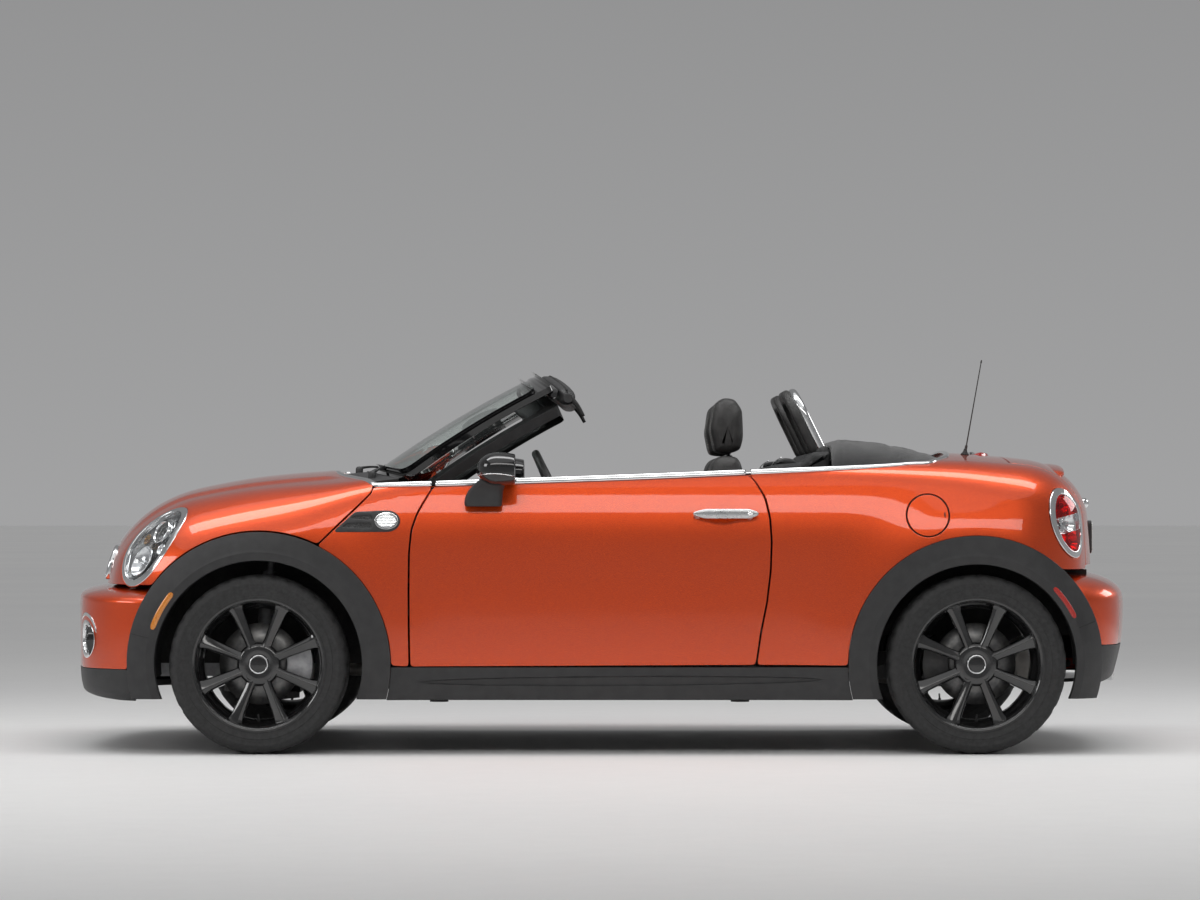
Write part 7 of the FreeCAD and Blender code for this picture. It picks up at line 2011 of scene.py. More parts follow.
# round dial in the middle
c, ax = np.array([-392., 0, 838.]), (0.94, 0, 0.34)
parts.append(lathe("dial", [(118, -40), (118, 4), (115, 10), (108, 12), (103, 9), (100, 2), (99, -6)], [CHROME], c, ax, 96, up=(0, 0, 1), sharp_deg=40))
DIAL = make_plain("dial_face", (0.008, 0.008, 0.009), (0.013, 0.013, 0.014), 0.35, 0.5, 60.0)
parts.append(lathe("dface", [(100, -7), (74, -7.5), (73, -5), (71, -5), (70, -9), (0, -9)], [DIAL], c, ax, 96, up=(0, 0, 1), sharp_deg=30))
MARK = make_plain("dial_marks", (0.62, 0.62, 0.60), (0.74, 0.74, 0.72), 0.4, 0.5, 90.0)
a_, u_, w_ = np.array(ax) / np.linalg.norm(ax), None, np.array([0, 1.0, 0])
u_ = np.cross(w_, a_)
u_ = u_ if u_[2] > 0 else -u_


def ticks(c, radius, n, t0, t1, ln, wd, lift, mats):
    V, F = [], []
    for k in range(n):
        t = math.radians(t0 + (t1 - t0) * k / (n - 1))
        e = u_ * math.cos(t) + w_ * math.sin(t)
        s = -u_ * math.sin(t) + w_ * math.cos(t)
        l_ = ln * (1.0 if k % 2 == 0 else 0.6)
        b = len(V)
        for r_, h_ in ((radius, 0), (radius - l_, 0), (radius - l_, 0.6), (radius, 0.6)):
            for q in (-1, 1):
                V.append(c + e * r_ + s * wd * q + a_ * (lift + h_))
        F += [(b, b + 1, b + 3, b + 2), (b + 4, b + 5, b + 7, b + 6), (b + 2, b + 3, b + 5, b + 4), (b + 6, b + 7, b + 1, b), (b, b + 2, b + 4, b + 6), (b + 1, b + 7, b + 5, b + 3)]
    o = make_obj("ticks", V, F, mats, smooth_on=False)
    fix_normals(o)
    return o


parts.append(ticks(c, 96, 29, -125, 125, 9, 0.7, -6.9, [MARK]))
parts.append(sweep("needle", np.array([c + a_ * -4, c + a_ * -4 + (u_ * -0.5 + w_ * -0.86) * 40, c + a_ * -4 + (u_ * -0.5 + w_ * -0.86) * 84]), [rounded(1.6, 4, 0.7, 2), rounded(1.4, 3, 0.6, 2), rounded(0.8, 1.2, 0.35, 2)], [RED_M], up=a_))
# small dial at the steering column
c2, ax2 = np.array([-330., -360, 868.]), (0.96, 0, 0.26)
BN = [(-560, 880), (-420, 930), (-335, 907), (-322, 886), (-330, 840), (-352, 796), (-520, 780)]
parts.append(loft_y("binnacle", BN, 150, 34, [SOFT], ny=20, step=9, yc=-360, corner=3))
parts.append(lathe("bdial", [(52, -10), (52, 8), (49.5, 11), (46, 11), (44, 7), (43.5, 0)], [CHROME], c2, ax2, 64, up=(0, 0, 1), sharp_deg=40))
parts.append(lathe("bface", [(44, 3), (20, 2.5), (0, 2.5)], [DIAL], c2, ax2, 64, up=(0, 0, 1), sharp_deg=40))
a_ = np.array(ax2) / np.linalg.norm(ax2)
u_ = np.cross(w_, a_)
u_ = u_ if u_[2] > 0 else -u_
parts.append(ticks(c2, 41, 17, -130, 130, 6, 0.5, 3.0, [MARK]))
parts.append(sweep("needle2", np.array([c2 + a_ * 5, c2 + a_ * 5 + (u_ * -0.7 + w_ * -0.7) * 18, c2 + a_ * 5 + (u_ * -0.7 + w_ * -0.7) * 36]), [rounded(1.4, 3, 0.6, 2), rounded(1.2, 2.2, 0.5, 2), rounded(0.7, 1, 0.3, 2)], [RED_M], up=a_))
# middle panel with knobs and switches
P = np.array([(-430, 0, 636), (-408, 0, 660), (-384, 0, 690), (-372, 0, 716), (-371, 0, 738)], float)
P = resample(P, 8, closed=False)
parts.append(sweep("stack", P, rounded(10, 214, 4.5, 4), [GLOSS], frames=(np.cross(np.gradient(P, axis=0) / np.linalg.norm(np.gradient(P, axis=0), axis=1, keepdims=True), np.array([0, -1.0, 0])), np.broadcast_to(np.array([0, 1.0, 0]), P.shape))))
for y, r_ in ((-66, 17), (0, 21), (66, 17)):
    c = np.array([-378., y, 706.])
    ax = (0.9, 0, -0.43)
    prof = [(0, 21), (r_ * 0.8, 20.5), (r_ * 0.92, 19), (r_, 15), (r_ * 1.04, 3), (r_ * 1.1, 2), (r_ * 1.1, -6)]
    parts.append(lathe("knob", prof, [SATIN if y == 0 else CABIN], c, ax, 40, up=(0, 0, 1), sharp_deg=35))
    parts.append(lathe("kring", [(r_ * 1.28, -4), (r_ * 1.28, 4), (r_ * 1.16, 5.5), (r_ * 1.12, 3)], [CHROME], c, ax, 48, up=(0, 0, 1), sharp_deg=35))
for k in range(5):
    y = -72 + 36 * k
    c = np.array([-408., y, 668.])
    parts.append(lathe("tbase", [(12, -4), (12, 3), (9, 5), (5, 5)], [CHROME], c, (0.8, 0, -0.6), 28, up=(0, 0, 1), sharp_deg=35))
    parts.append(lathe("toggle", [(3.2, 0), (3.4, 14), (4.6, 24), (4.2, 27), (0, 28)], [SATIN], c, (0.9, 0, -0.1), 18, up=(0, 0, 1), sharp_deg=50))
# glove box and its catch
rr = rounded(0.42, 0.15, 0.03, 6)
GB = Flat(lambda a2, b2: np.stack([-407 + 0.62 * (b2 * 1000 - 0) * 0.86, 385 + a2 * 1000, 682 + b2 * 1000 * 0.72], -1))
parts.append(panel("glove", GB, [rr], [CABIN], depth=6, r=2.5, corner=1, grid=0.02))
o = lathe("gcatch", [(0, 6), (9, 5.5), (12, 3), (12, -2)], [SATIN], (-378, 385, 726), (0.8, 0, -0.5), 28, up=(0, 0, 1), sharp_deg=40)
parts.append(o)
add(join("dashboard_fittings", parts), "body", "cabin_plastic")

# steering column and wheel
SWC = np.array([-159., -360., 882.])
SWA = np.array([math.cos(math.radians(25)), 0, math.sin(math.radians(25))])
SU_, SW_ = np.array([-SWA[2], 0, SWA[0]]), np.array([0, 1.0, 0])
col = [(0, -46), (24, -48), (38, -54), (43, -64), (45, -90), (47, -150), (50, -214), (48, -250), (30, -262)]
parts = [lathe("shroud", col, [CABIN], SWC, SWA, 48, up=(0, 1, 0), sharp_deg=40)]
for s in (-1, 1):
    p0 = SWC - SWA * 84 + SW_ * s * 40
    p1 = SWC - SWA * 78 + SW_ * s * 118 + SU_ * 6
    p2 = SWC - SWA * 76 + SW_ * s * 168 + SU_ * 8
    parts.append(sweep("stalk", resample(np.array([p0, p1, p2]), 10, closed=False), [rounded(11 + 5 * k_, 13 + 9 * k_, 4.5, 4) for k_ in np.linspace(0, 1, len(resample(np.array([p0, p1, p2]), 10, closed=False)))], [CABIN], up=SU_))
parts.append(lathe("key", [(0, 12), (10, 12), (13, 9), (14, 0)], [SATIN], SWC - SWA * 150 + SW_ * 49, (0, 1, 0), 28, up=(0, 0, 1), sharp_deg=40))
add(join("steering_column_look", parts), "body", "cabin_plastic", "steering_column")
tt2 = np.linspace(0, 2 * math.pi, 120, endpoint=False)
rim_p = SWC + 172 * (np.cos(tt2)[:, None] * SU_ + np.sin(tt2)[:, None] * SW_)
rad = np.cos(tt2)[:, None] * SU_ + np.sin(tt2)[:, None] * SW_
secs = []
for a in tt2:
    g = 1 + 0.10 * sum(math.exp(-((abs((a - b + math.pi) % (2 * math.pi) - math.pi)) / 0.22) ** 2) for b in (math.radians(60), math.radians(-60)))
    k = np.linspace(0, 2 * math.pi, 16, endpoint=False)
    secs.append(np.stack([12.6 * g * np.cos(k), 14.6 * g * np.sin(k)], 1))
ring = sweep("swring", rim_p, secs, [WLEATHER], closed_path=True, frames=(rad, np.broadcast_to(SWA, rad.shape)))
parts = [ring]
v_, f_ = stitch_line(np.vstack([rim_p - rad * 12.8, (rim_p - rad * 12.8)[:1]]), np.vstack([-rad, -rad[:1]]), every=6.5, length=4.2, r=0.7)
st = make_obj("swst", v_, f_, [STITCH])
fix_normals(st)
parts.append(st)
parts.append(lathe("hub", [(0, 30), (30, 29), (52, 24), (62, 15), (66, 4), (66, -12), (60, -26), (44, -38), (30, -44)], [CABIN], SWC, SWA, 72, up=SU_, sharp_deg=50))
parts.append(lathe("hring", [(34, 28.5), (34.5, 30.5), (36.5, 31), (38.5, 29.5), (38.8, 27)], [CHROME], SWC, SWA, 64, up=SU_, sharp_deg=50))
parts.append(lathe("hcap", [(0, 33), (20, 32.4), (31, 30.6), (33.5, 28.5)], [GLOSS], SWC, SWA, 64, up=SU_, sharp_deg=50))
for t in (8, 172, 270):
    a = math.radians(t)
    e = SW_ * math.cos(a) + SU_ * math.sin(a)
    s_ = np.cross(SWA, e)
    R_ = np.linspace(50, 164, 16)
    Pq = SWC + e * R_[:, None] + SWA * (-8 + 8 * ((R_ - 50) / 114) ** 0.8)[:, None]
    w_ = np.interp(R_, [50, 80, 130, 164], [44, 34, 27, 36])
    parts.append(sweep("arm", Pq, [rounded(13, w, 5, 4) for w in w_], [SATIN], frames=(np.broadcast_to(SWA, Pq.shape), np.broadcast_to(s_, Pq.shape))))
    Pq2 = Pq[3:13] + SWA * 6.4
    parts.append(sweep("inlay", Pq2, [rounded(3, w * 0.5, 1.2, 3) for w in w_[3:13]], [CABIN], frames=(np.broadcast_to(SWA, Pq2.shape), np.broadcast_to(s_, Pq2.shape))))
    if t != 270:
        for k in (0, 1):
            parts.append(lathe("swb", [(0, 3), (5, 2.6), (6, 0)], [GLOSS], SWC + e * (76 + 18 * k) + SWA * 4.5, SWA, 20, up=SU_, sharp_deg=50))
for p in parts:
    if p.name.startswith(("arm", "inlay")):
        sharp(p, 50)
add(join("steering_wheel_look", parts), "steering_wheel", "wheel_leather", "steering_wheel")

# console, lever, hand brake
CONS = [(-470, 404), (-470, 640), (-420, 636), (-385, 590), (-330, 520), (-290, 494), (-250, 485), (-100, 483), (60, 480), (200, 474), (330, 470), (420, 470), (436, 455), (440, 404)]
parts = [loft_y("console", CONS, 97, 16, [CABIN], ny=10, step=10, corner=2, sharp_deg=50)]
for s in (-1, 1):
    P = np.array([(-462, s * 94, 628), (-420, s * 94, 622), (-340, s * 95, 520), (-262, s * 96, 474), (-100, s * 96, 468), (80, s * 96, 466), (330, s * 96, 458), (425, s * 95, 458)], float)
    parts.append(sweep("crail", relax(resample(P, 10, closed=False), 4, closed=False), rounded(14, 14, 6.5, 4), [SATIN], up=(0, 0, 1)))
# leather gaiter with folds and the lever
prof = []
for k in range(22):
    u = k / 21
    prof.append((60 * (1 - u) ** 1.3 + 13 + 2.6 * math.sin(u * math.pi * 9) * (1 - u * 0.5), 2 + 74 * u))
g = lathe("gaiter", [(74, -2), (74, 3), (70, 6), (64, 5)] + prof, [LEATHER], (-190, 0, 480), (0, 0, 1), 56, up=(1, 0, 0), sharp_deg=70)
for v in g.data.vertices:
    a = math.atan2(v.co.y, v.co.x + 0.190)
    h = (v.co.z - 0.480) * 1000
    v.co.x = -0.190 + (v.co.x + 0.190) * (0.9 + 0.05 * math.cos(4 * a) * max(0, 1 - h / 70))
    v.co.y *= 0.72 + 0.05 * math.cos(4 * a) * max(0, 1 - h / 70)
parts.append(g)
parts.append(lathe("rod", [(6, 60), (6, 92), (12, 94), (18, 100), (22, 108), (23, 118), (19, 127), (10, 131), (0, 132)], [SATIN], (-190, 0, 470), (-0.06, 0, 1), 36, up=(1, 0, 0), sharp_deg=60))
for x in (-60, 34):
    parts.append(lathe("cup", [(41, -1), (41, 3), (39, 5), (36.5, 4), (36, -1), (35.5, -50), (0, -52)], [CHROME], (x, 0, 481), (0, 0, 1), 56, up=(1, 0, 0), sharp_deg=40))
    parts.append(lathe("cupin", [(36, 0), (35, -2), (34.5, -8), (0, -9)], [RUBBER], (x, 0, 481), (0, 0, 1), 40, up=(1, 0, 0), sharp_deg=40))
P = np.array([(270, 32, 470), (230, 32, 496), (170, 32, 516), (110, 32, 528), (96, 32, 529)], float)
P = relax(resample(P, 8, closed=False), 3, closed=False)
parts.append(sweep("brake", P, [rounded(20, 24 if k > len(P) * 0.35 else 18, 9, 4) for k in range(len(P))], [LEATHER], up=(0, 0, 1)))
parts.append(lathe("bbtn", [(0, 8), (6, 7), (7.5, 4), (7.5, -4)], [CHROME], P[-1], (-1, 0, 0.06), 24, sharp_deg=50))
parts.append(loft_y("boot", [(300, 470), (290, 486), (250, 498), (200, 492), (186, 474), (200, 468)], 22, 8, [LEATHER], ny=8, step=7, yc=32))
parts.append(loft_y("armrest", [(300, 474), (300, 520), (318, 532), (425, 532), (436, 520), (436, 474)], 74, 16, [LEATHER], ny=14, step=8, shape=lambda x, z, v, nx, nz: 3 * np.clip(nz, 0, 1) * np.cos(v * 1.5)))
add(join("console_look", parts), "body", "cabin_plastic", "centre_console")

# pedals
parts = []
for y, w, h in ((-452, 58, 66), (-360, 62, 60), (-268, 44, 118)):
    c = np.array([-628., y, 330.])
    n_ = np.array([0.86, 0, 0.5])
    up_ = np.array([-0.5, 0, 0.86])
    q = rounded(w, h, 9, 4)
    V = [c + np.array([0, 1, 0]) * a + up_ * b for a, b in q] + [c + n_ * 9 + np.array([0, 1, 0]) * a * 0.94 + up_ * b * 0.95 for a, b in q]
    n = len(q)
    F = [(k, (k + 1) % n, n + (k + 1) % n, n + k) for k in range(n)] + [tuple(range(n)), tuple(range(n, 2 * n))]
    o = make_obj("pedal", V, F, [RUBBER])
    fix_normals(o)
    sharp(o, 40)
    parts.append(o)
    for k in range(-3, 4):
        cc = c + n_ * 9.5 + up_ * k * h / 8.5
        parts.append(sweep("rib", np.array([cc - np.array([0, w * 0.4, 0]), cc, cc + np.array([0, w * 0.4, 0])]), rounded(3, 4, 1.2, 2), [SATIN], frames=(np.broadcast_to(n_, (3, 3)), np.broadcast_to(up_, (3, 3)))))
    P = resample(np.array([c - n_ * 4, c - n_ * 20 + up_ * 60, (-700., y * 1.0, 470.)]), 14, closed=False)
    parts.append(sweep("parm", P, rounded(10, 20, 4, 3), [CHASSIS], up=(0, 1, 0)))
add(join("pedals", parts), "body", "cast_metal")

# carpets, mats and rear wall
def carpet(side, s):
    xs = np.concatenate([np.linspace(-736, -700, 6), np.linspace(-690, 553, 60)])
    rows = []
    prof_y = [(132, 392), (131, 330), (133, 260), (140, 232), (156, 218), (200, 215), (330, 214.5), (470, 214.5), (590, 215), (612, 220), (622, 236), (625, 262), (626, 290), (640, 296), (700, 297)]
    for x in xs:
        rise = 0.0
        if x < -600:
            rise = (-600 - x) ** 1.35 * 0.62
        row = []
        for y, z in prof_y:
            zz_ = z + rise + 1.3 * math.sin(x / 19.0 + y / 13.0)
            row.append((x, s * y, min(zz_, 560)))
        rows.append(row)
    V = np.array(rows)
    a, m = V.shape[:2]
    F = [(i * m + k, (i + 1) * m + k, (i + 1) * m + k + 1, i * m + k + 1) for i in range(a - 1) for k in range(m - 1)]
    o = make_obj("carpet_%s" % side, V.reshape(-1, 3), F, [CARPET])
    me = o.data
    if sum(p.normal.z * p.area for p in me.polygons) < 0:
        me.flip_normals()
    sharp(o, 60)
    return o


add(carpet("left", -1), "body", "underbody")
add(carpet("right", 1), "body", "underbody")
for side, s in (("left", -1), ("right", 1)):
    rr = rounded(0.46, 0.40, 0.05, 6)
    MT = Flat(lambda a2, b2, s=s: np.stack([-395 + a2 * 1000, s * 368 + b2 * 1000, np.full_like(a2, 221.0) + np.clip(-500 - (-395 + a2 * 1000), 0, 999) ** 1.4 * 0.10], -1))
    m1 = panel("floor_mat_%s" % side, MT, [rr], [make_weave("mat_%s" % side, (0.012, 0.012, 0.012), (0.040, 0.040, 0.040), 300.0, 0.95, 0.0012, 1.0)], depth=3, r=2.0, corner=1, grid=0.02)
    add(m1, "body", "underbody")
# wall behind the seats
yy2 = np.linspace(-634, 634, 80)
zz2 = np.linspace(222, 924, 40)
V = []
for z in zz2:
    for y in yy2:
        q_ = hill(abs(y) / 360.0, 1.0, 0.62) * hill((z - 640) / 260.0, 0, 1.0)
        V.append((556 - 10 * q_ - 2.0 * math.sin(z / 40.0) * (1 if z < 480 else 0), y, z))
F = [(i * 80 + j, i * 80 + j + 1, (i + 1) * 80 + j + 1, (i + 1) * 80 + j) for i in range(39) for j in range(79)]
o = make_obj("rear_wall_trim", V, F, [CARPET])
if o.data.polygons[5].normal.x > 0:
    o.data.flip_normals()
add(o, "body", "cabin_plastic")

# the doors' inner side and shut faces
SH = Side(upper)


def door_inner():
    q = relax(resample(door_line, 9), 6)
    cen = np.array([-40., 620.])
    t = np.roll(q, -1, 0) - np.roll(q, 1, 0)
    t /= np.linalg.norm(t, axis=1, keepdims=True)
    nrm = np.stack([t[:, 1], -t[:, 0]], 1)
    if area2(q) < 0:
        nrm = -nrm
    rows = []
    for ins, yf in ((3.5, None), (6, None), (8, -738), (11, -712), (14, -704.5), (19, -702.5)):
        p = q - nrm * ins
        if yf is None:
            s_ = on_side(p[:, 0], p[:, 1])
            s_[:, 1] += 17 if ins < 5 else 22
        else:
            s_ = np.stack([p[:, 0], np.full(len(p), float(yf)), p[:, 1]], 1)
        rows.append(s_)
    n = len(q)
    V = np.vstack(rows)
    F = [(i * n + k, i * n + (k + 1) % n, (i + 1) * n + (k + 1) % n, (i + 1) * n + k) for i in range(len(rows) - 1) for k in range(n)]
    shell = make_obj("door_edge_left", V, F, [PAINT_IN])
    me = shell.data
    tot = 0
    for p in me.polygons:
        d = np.array([p.center.x * 1000 - cen[0], p.center.z * 1000 - cen[1]])
        tot += (p.normal.x * d[0] + p.normal.z * d[1]) * p.area
    if tot < 0:
        me.flip_normals()
    sharp(shell, 40)
    # the card fills the inner outline
    inner = (q - nrm * 19)
    fl = Flat(lambda a2, b2: np.stack([a2 * 1000, card_y(a2 * 1000, b2 * 1000), b2 * 1000], -1), 1)
    card = panel("door_card_left", fl, [inner / 1000.0], [CABIN], depth=4, r=1.5, corner=2, grid=0.0125, edge=9)
    if card.data.polygons[0].normal.y < 0:
        pass
    return shell, card


def card_y(x, z):
    """The door card's depth: raised pad, arm rest and a pocket."""
    y = np.full_like(np.asarray(x, float), -702.0)
    y = y + 20 * smooth((z - 800) / 60.0)
    arm = hill((z - 632 - 0.05 * x) / 46.0, 0, 1.0) * smooth((x + 420) / 90.0) * smooth((500 - x) / 90.0)
    y = y + 46 * arm ** 0.6
    pocket = hill((z - 420) / 70.0, 0, 1.0) * smooth((x + 560) / 60.0) * smooth((330 - x) / 90.0)
    y = y + 20 * pocket ** 0.7
    return y


edge_, card_ = door_inner()
me = card_.data
both(edge_, "door_left", "paint")
both(card_, "door_left", "cabin_plastic")
# padded upper roll, pull handle, release lever and speaker
q = np.array([(x, float(BELT(x)) - 12) for x in np.linspace(-548, 500, 90)])
P = np.stack([q[:, 0], np.full(len(q), -712.0), q[:, 1]], 1)
k_ = np.linspace(0, 2 * math.pi, 20, endpoint=False)
roll = sweep("door_roll_left", P, np.stack([22 * np.cos(k_), 15 * np.sin(k_)], 1), [LEATHER], frames=(np.broadcast_to(np.array([0, 1.0, 0]), P.shape), np.broadcast_to(np.array([0, 0, 1.0]), P.shape)))
l_, r_ = both(roll, "door_left", "seat_leather")
parts = []
P = np.array([(-120, -662, 690), (-110, -648, 706), (0, -642, 716), (110, -648, 722), (122, -662, 708)], float)
parts.append(sweep("pull", relax(resample(P, 8, closed=False), 5, closed=False), rounded(14, 24, 6.5, 4), [SATIN], up=(0, 0, 1)))
P = np.array([(-300, -686, 745), (-260, -676, 752), (-205, -678, 752)], float)
parts.append(sweep("release", relax(resample(P, 8, closed=False), 3, closed=False), rounded(8, 20, 3.5, 3), [CHROME], up=(0, 0, 1)))
parts.append(lathe("rcup", [(34, -2), (34, 3), (31, 5), (28, 2), (26, -4), (0, -6)], [CABIN], (-262, -694, 750), (0, 1, 0), 48, sharp_deg=40))
parts.append(lathe("spk", [(92, -4), (92, 4), (89, 8), (84, 8), (82, 4), (60, 7), (0, 10)], [SATIN], (-470, -698, 470), (0, 1, 0), 72, sharp_deg=40))
parts.append(lathe("spkm", [(82, 5), (60, 8.5), (30, 11), (0, 12)], [GRILLE_MESH], (-470, -698, 470), (0, 1, 0), 60, sharp_deg=60))
fit = join("door_fittings_left", parts)
both(fit, "door_left", "bright_trim")
for o, nn in ((None, None),):
    pass
# door sill treads
for side, s in (("left", -1), ("right", 1)):
    P = np.array([(x, s * 716, 299.5) for x in np.linspace(-560, 500, 60)])
    o = sweep("sill_tread_%s" % side, P, np.array([[-30, -2], [-28, 1.2], [0, 2.0], [28, 1.2], [30, -2]]), [SATIN], frames=(np.broadcast_to(np.array([0, 1.0, 0]), P.shape), np.broadcast_to(np.array([0, 0, 1.0]), P.shape)))
    sharp(o, 30)
    add(o, "body", "bright_trim")

# ------------------------------------------------------------------ roll hoops and the folded top

BEAM = [(578, 926), (578, 985), (600, 996), (690, 1004), (712, 1018), (735, 1040), (797, 1042), (797, 926)]
parts = [loft_y("beam", BEAM, 619, 24, [SOFT], ny=50, step=8, corner=2, sharp_deg=50)]
lean = np.array([-103, 0, 212.0])
lean /= np.linalg.norm(lean)
fwd = np.array([-lean[2], 0, lean[0]])
for yc in (-360, 360):
    f0, f1 = np.array([789., yc - 170, 1013.]), np.array([789., yc + 170, 1013.])
    up0, up1 = f0 + lean * 262, f1 + lean * 262
    pts = [f0 + lean * t for t in np.linspace(0, 170, 12)]
    a = np.radians(np.linspace(0, 90, 14))
    pts += [f0 + lean * (170 + 92 * math.sin(q)) + np.array([0, 92 * (1 - math.cos(q)), 0]) for q in a]
    pts += [f0 + lean * 262 + np.array([0, y_, 0]) for y_ in np.linspace(92, 248, 12)[1:-1]]
    pts += [f1 + lean * (170 + 92 * math.sin(q)) - np.array([0, 92 * (1 - math.cos(q)), 0]) for q in a[::-1]]
    pts += [f1 + lean * t for t in np.linspace(170, 0, 12)]
    P = resample(np.array(pts), 9, closed=False)
    t = np.gradient(P, axis=0)
    t /= np.linalg.norm(t, axis=1, keepdims=True)
    Fw = np.broadcast_to(fwd, P.shape)
    Bn = np.cross(t, Fw)
    parts.append(sweep("hoop", P, ring_section(16.5, 16), [HOOP], frames=(Fw, Bn)))
    # padding on the front of the hoop
    s = np.linspace(0, 1, len(P))
    k_ = (s > 0.03) & (s < 0.97)
    Pp = P[k_] + fwd * 25
    sec = rounded(34, 42, 13, 5)
    e_ = np.minimum(np.arange(len(Pp)), np.arange(len(Pp))[::-1])
    secs = [sec * min(1.0, (0.35 + 0.65 * math.sqrt(min(1, k3 / 3.0)))) for k3 in e_]
    parts.append(sweep("hpad", Pp, secs, [LEATHER], frames=(np.broadcast_to(fwd, Pp.shape), Bn[k_])))
    for f in (f0, f1):
        parts.append(lathe("socket", [(0, 46), (17, 46), (22, 44), (27, 36), (31, 18), (34, 0), (38, -6), (0, -8)], [RUBBER], f + lean * 4 + fwd * 6, lean, 44, up=(0, 1, 0), sharp_deg=50))
hp = join("roll_hoops_look", parts)
add(hp, "body", "hoop_steel", "roll_hoops")
# belt outlets on the beam
parts = []
for s in (-1, 1):
    for yb in (560,):
        c = np.array([640., s * yb, 1000.])
        parts.append(loft_y("outlet", [(606, 996), (612, 1012), (640, 1020), (672, 1016), (684, 1004), (680, 994)], 34, 9, [CABIN], ny=8, step=6, yc=s * yb))
        parts.append(sweep("slot", np.array([(628, s * yb - 22, 1020.6), (628, s * yb, 1021.2), (628, s * yb + 22, 1020.6)], float), rounded(6, 3, 1.4, 3), [CHROME], up=(0, 0, 1)))
        parts.append(sweep("belt", relax(resample(np.array([(628, s * yb, 1020), (600, s * (yb - 2), 1008), (584, s * (yb - 3), 960), (566, s * (yb - 6), 860), (556, s * (yb - 8), 700), (540, s * (yb - 10), 420), (530, s * (yb - 14), 320)], float), 12, closed=False), 3, closed=False), rounded(2.0, 46, 0.9, 2), [make_weave("belt_web", (0.012, 0.012, 0.012), (0.03, 0.03, 0.03), 700.0, 0.7, 0.0004, 0.8)], up=(0, 1, 0)))
        parts.append(sweep("tongue", np.array([(552, s * (yb - 8), 700), (549, s * (yb - 8), 674), (546, s * (yb - 8), 650)], float), rounded(5, 40, 2.2, 3), [CHROME], up=(0, 1, 0)))
add(join("belt_outlets", parts), "body", "cabin_plastic")

TOPP = Spl([(800, 1062), (820, 1080), (882, 1086), (950, 1082), (1020, 1072), (1131, 1045), (1190, 1022), (1224, 1000)])
CORN = Spl([(-682, 118), (-610, 42), (-450, 6), (0, 0), (450, 6), (610, 42), (682, 118)])
nx_, ny_ = 64, 118
ys = np.linspace(-678, 678, ny_)
V = np.zeros((nx_, ny_, 3))
for j, y in enumerate(ys):
    e = (1 - min(1.0, abs(y) / 681.0) ** 8) ** 0.5
    x1 = 1226 - float(CORN(y)) - 2
    x0 = 801.0
    for i in range(nx_):
        s = i / (nx_ - 1)
        x = x0 + (x1 - x0) * s
        z = 928 + (float(TOPP(min(1224, x + float(CORN(y)) * s))) - 2.5 - 928) * e
        edge_k = min(1.0, s / 0.05, (1 - s) / 0.05)
        f = 0.0
        for c_, w_, d_, ph in ((0.13, 0.022, 6.0, 0.3), (0.34, 0.028, 4.0, 1.4), (0.53, 0.03, 5.0, 2.6), (0.74, 0.03, 3.5, 4.1)):
            cc = c_ + 0.012 * math.sin(y / 170.0 + ph) + 0.006 * math.sin(y / 61.0 + 2 * ph)
            f -= d_ * math.exp(-((s - cc) / w_) ** 2) * (0.7 + 0.3 * math.sin(y / 240.0 + ph))
        f += 1.6 * math.sin(y / 47.0 + 3.0 * s) * math.sin(s * 9 + y / 130.0) + 0.8 * math.sin(y / 21.0 + s * 17)
        f *= max(0, min(1, edge_k)) * (0.35 + 0.65 * e)
        V[i, j] = (x, y, z + min(f, 1.5))
faces = [(i * ny_ + j, (i + 1) * ny_ + j, (i + 1) * ny_ + j + 1, i * ny_ + j + 1) for i in range(nx_ - 1) for j in range(ny_ - 1)]
top = make_obj("folded_top_cover", V.reshape(-1, 3), faces, [ROOF])
if top.data.polygons[len(faces) // 2].normal.z < 0:
    top.data.flip_normals()
for p in top.data.polygons:
    p.use_smooth = True
add(top, "body", "roof_fabric", "soft_top")
ar_ = sum(p.area for p in top.data.polygons)
dx = np.linalg.norm(np.diff(V[:, ny_ // 2], axis=0), axis=1).sum() / 1000.0
wid = np.linalg.norm(np.diff(V[nx_ // 2], axis=0), axis=1).sum() / 1000.0
TOP_SIZE = (wid, dx, ar_)
print("folded top cover", TOP_SIZE)
sol = top.modifiers.new("thick", "SOLIDIFY")
sol.thickness, sol.offset = 0.003, -1.0
# the folds that show at the front and at both sides: doubled cloth rolls
rolls = []
for k, (zc, dx_, r_) in enumerate(((1044, 0, 15), (1012, -2, 15), (980, 1, 15), (948, 0, 15))):
    yv = np.linspace(-664, 664, 84)
    e = (1 - (np.abs(yv) / 681.0) ** 8) ** 0.5
    P = np.stack([806 + r_ * 0.7 + dx_ + 1.8 * np.sin(yv / 90.0 + k * 2), yv, 928 + (zc - 928) * e - 2 + 1.6 * np.sin(yv / 70.0 + k)], 1)
    kk = np.linspace(0, 2 * math.pi, 18, endpoint=False)
    secs = [np.stack([r_ * np.cos(kk) * (0.92 + 0.08 * math.sin(y / 55.0 + k)), r_ * 1.02 * np.sin(kk)], 1) * (0.5 + 0.5 * ee) for y, ee in zip(yv, e)]
    rolls.append(sweep("foldroll", P, secs, [ROOF], up=(0, 0, 1)))
o = join("folded_top_layers", rolls)
add(o, "body", "roof_fabric")
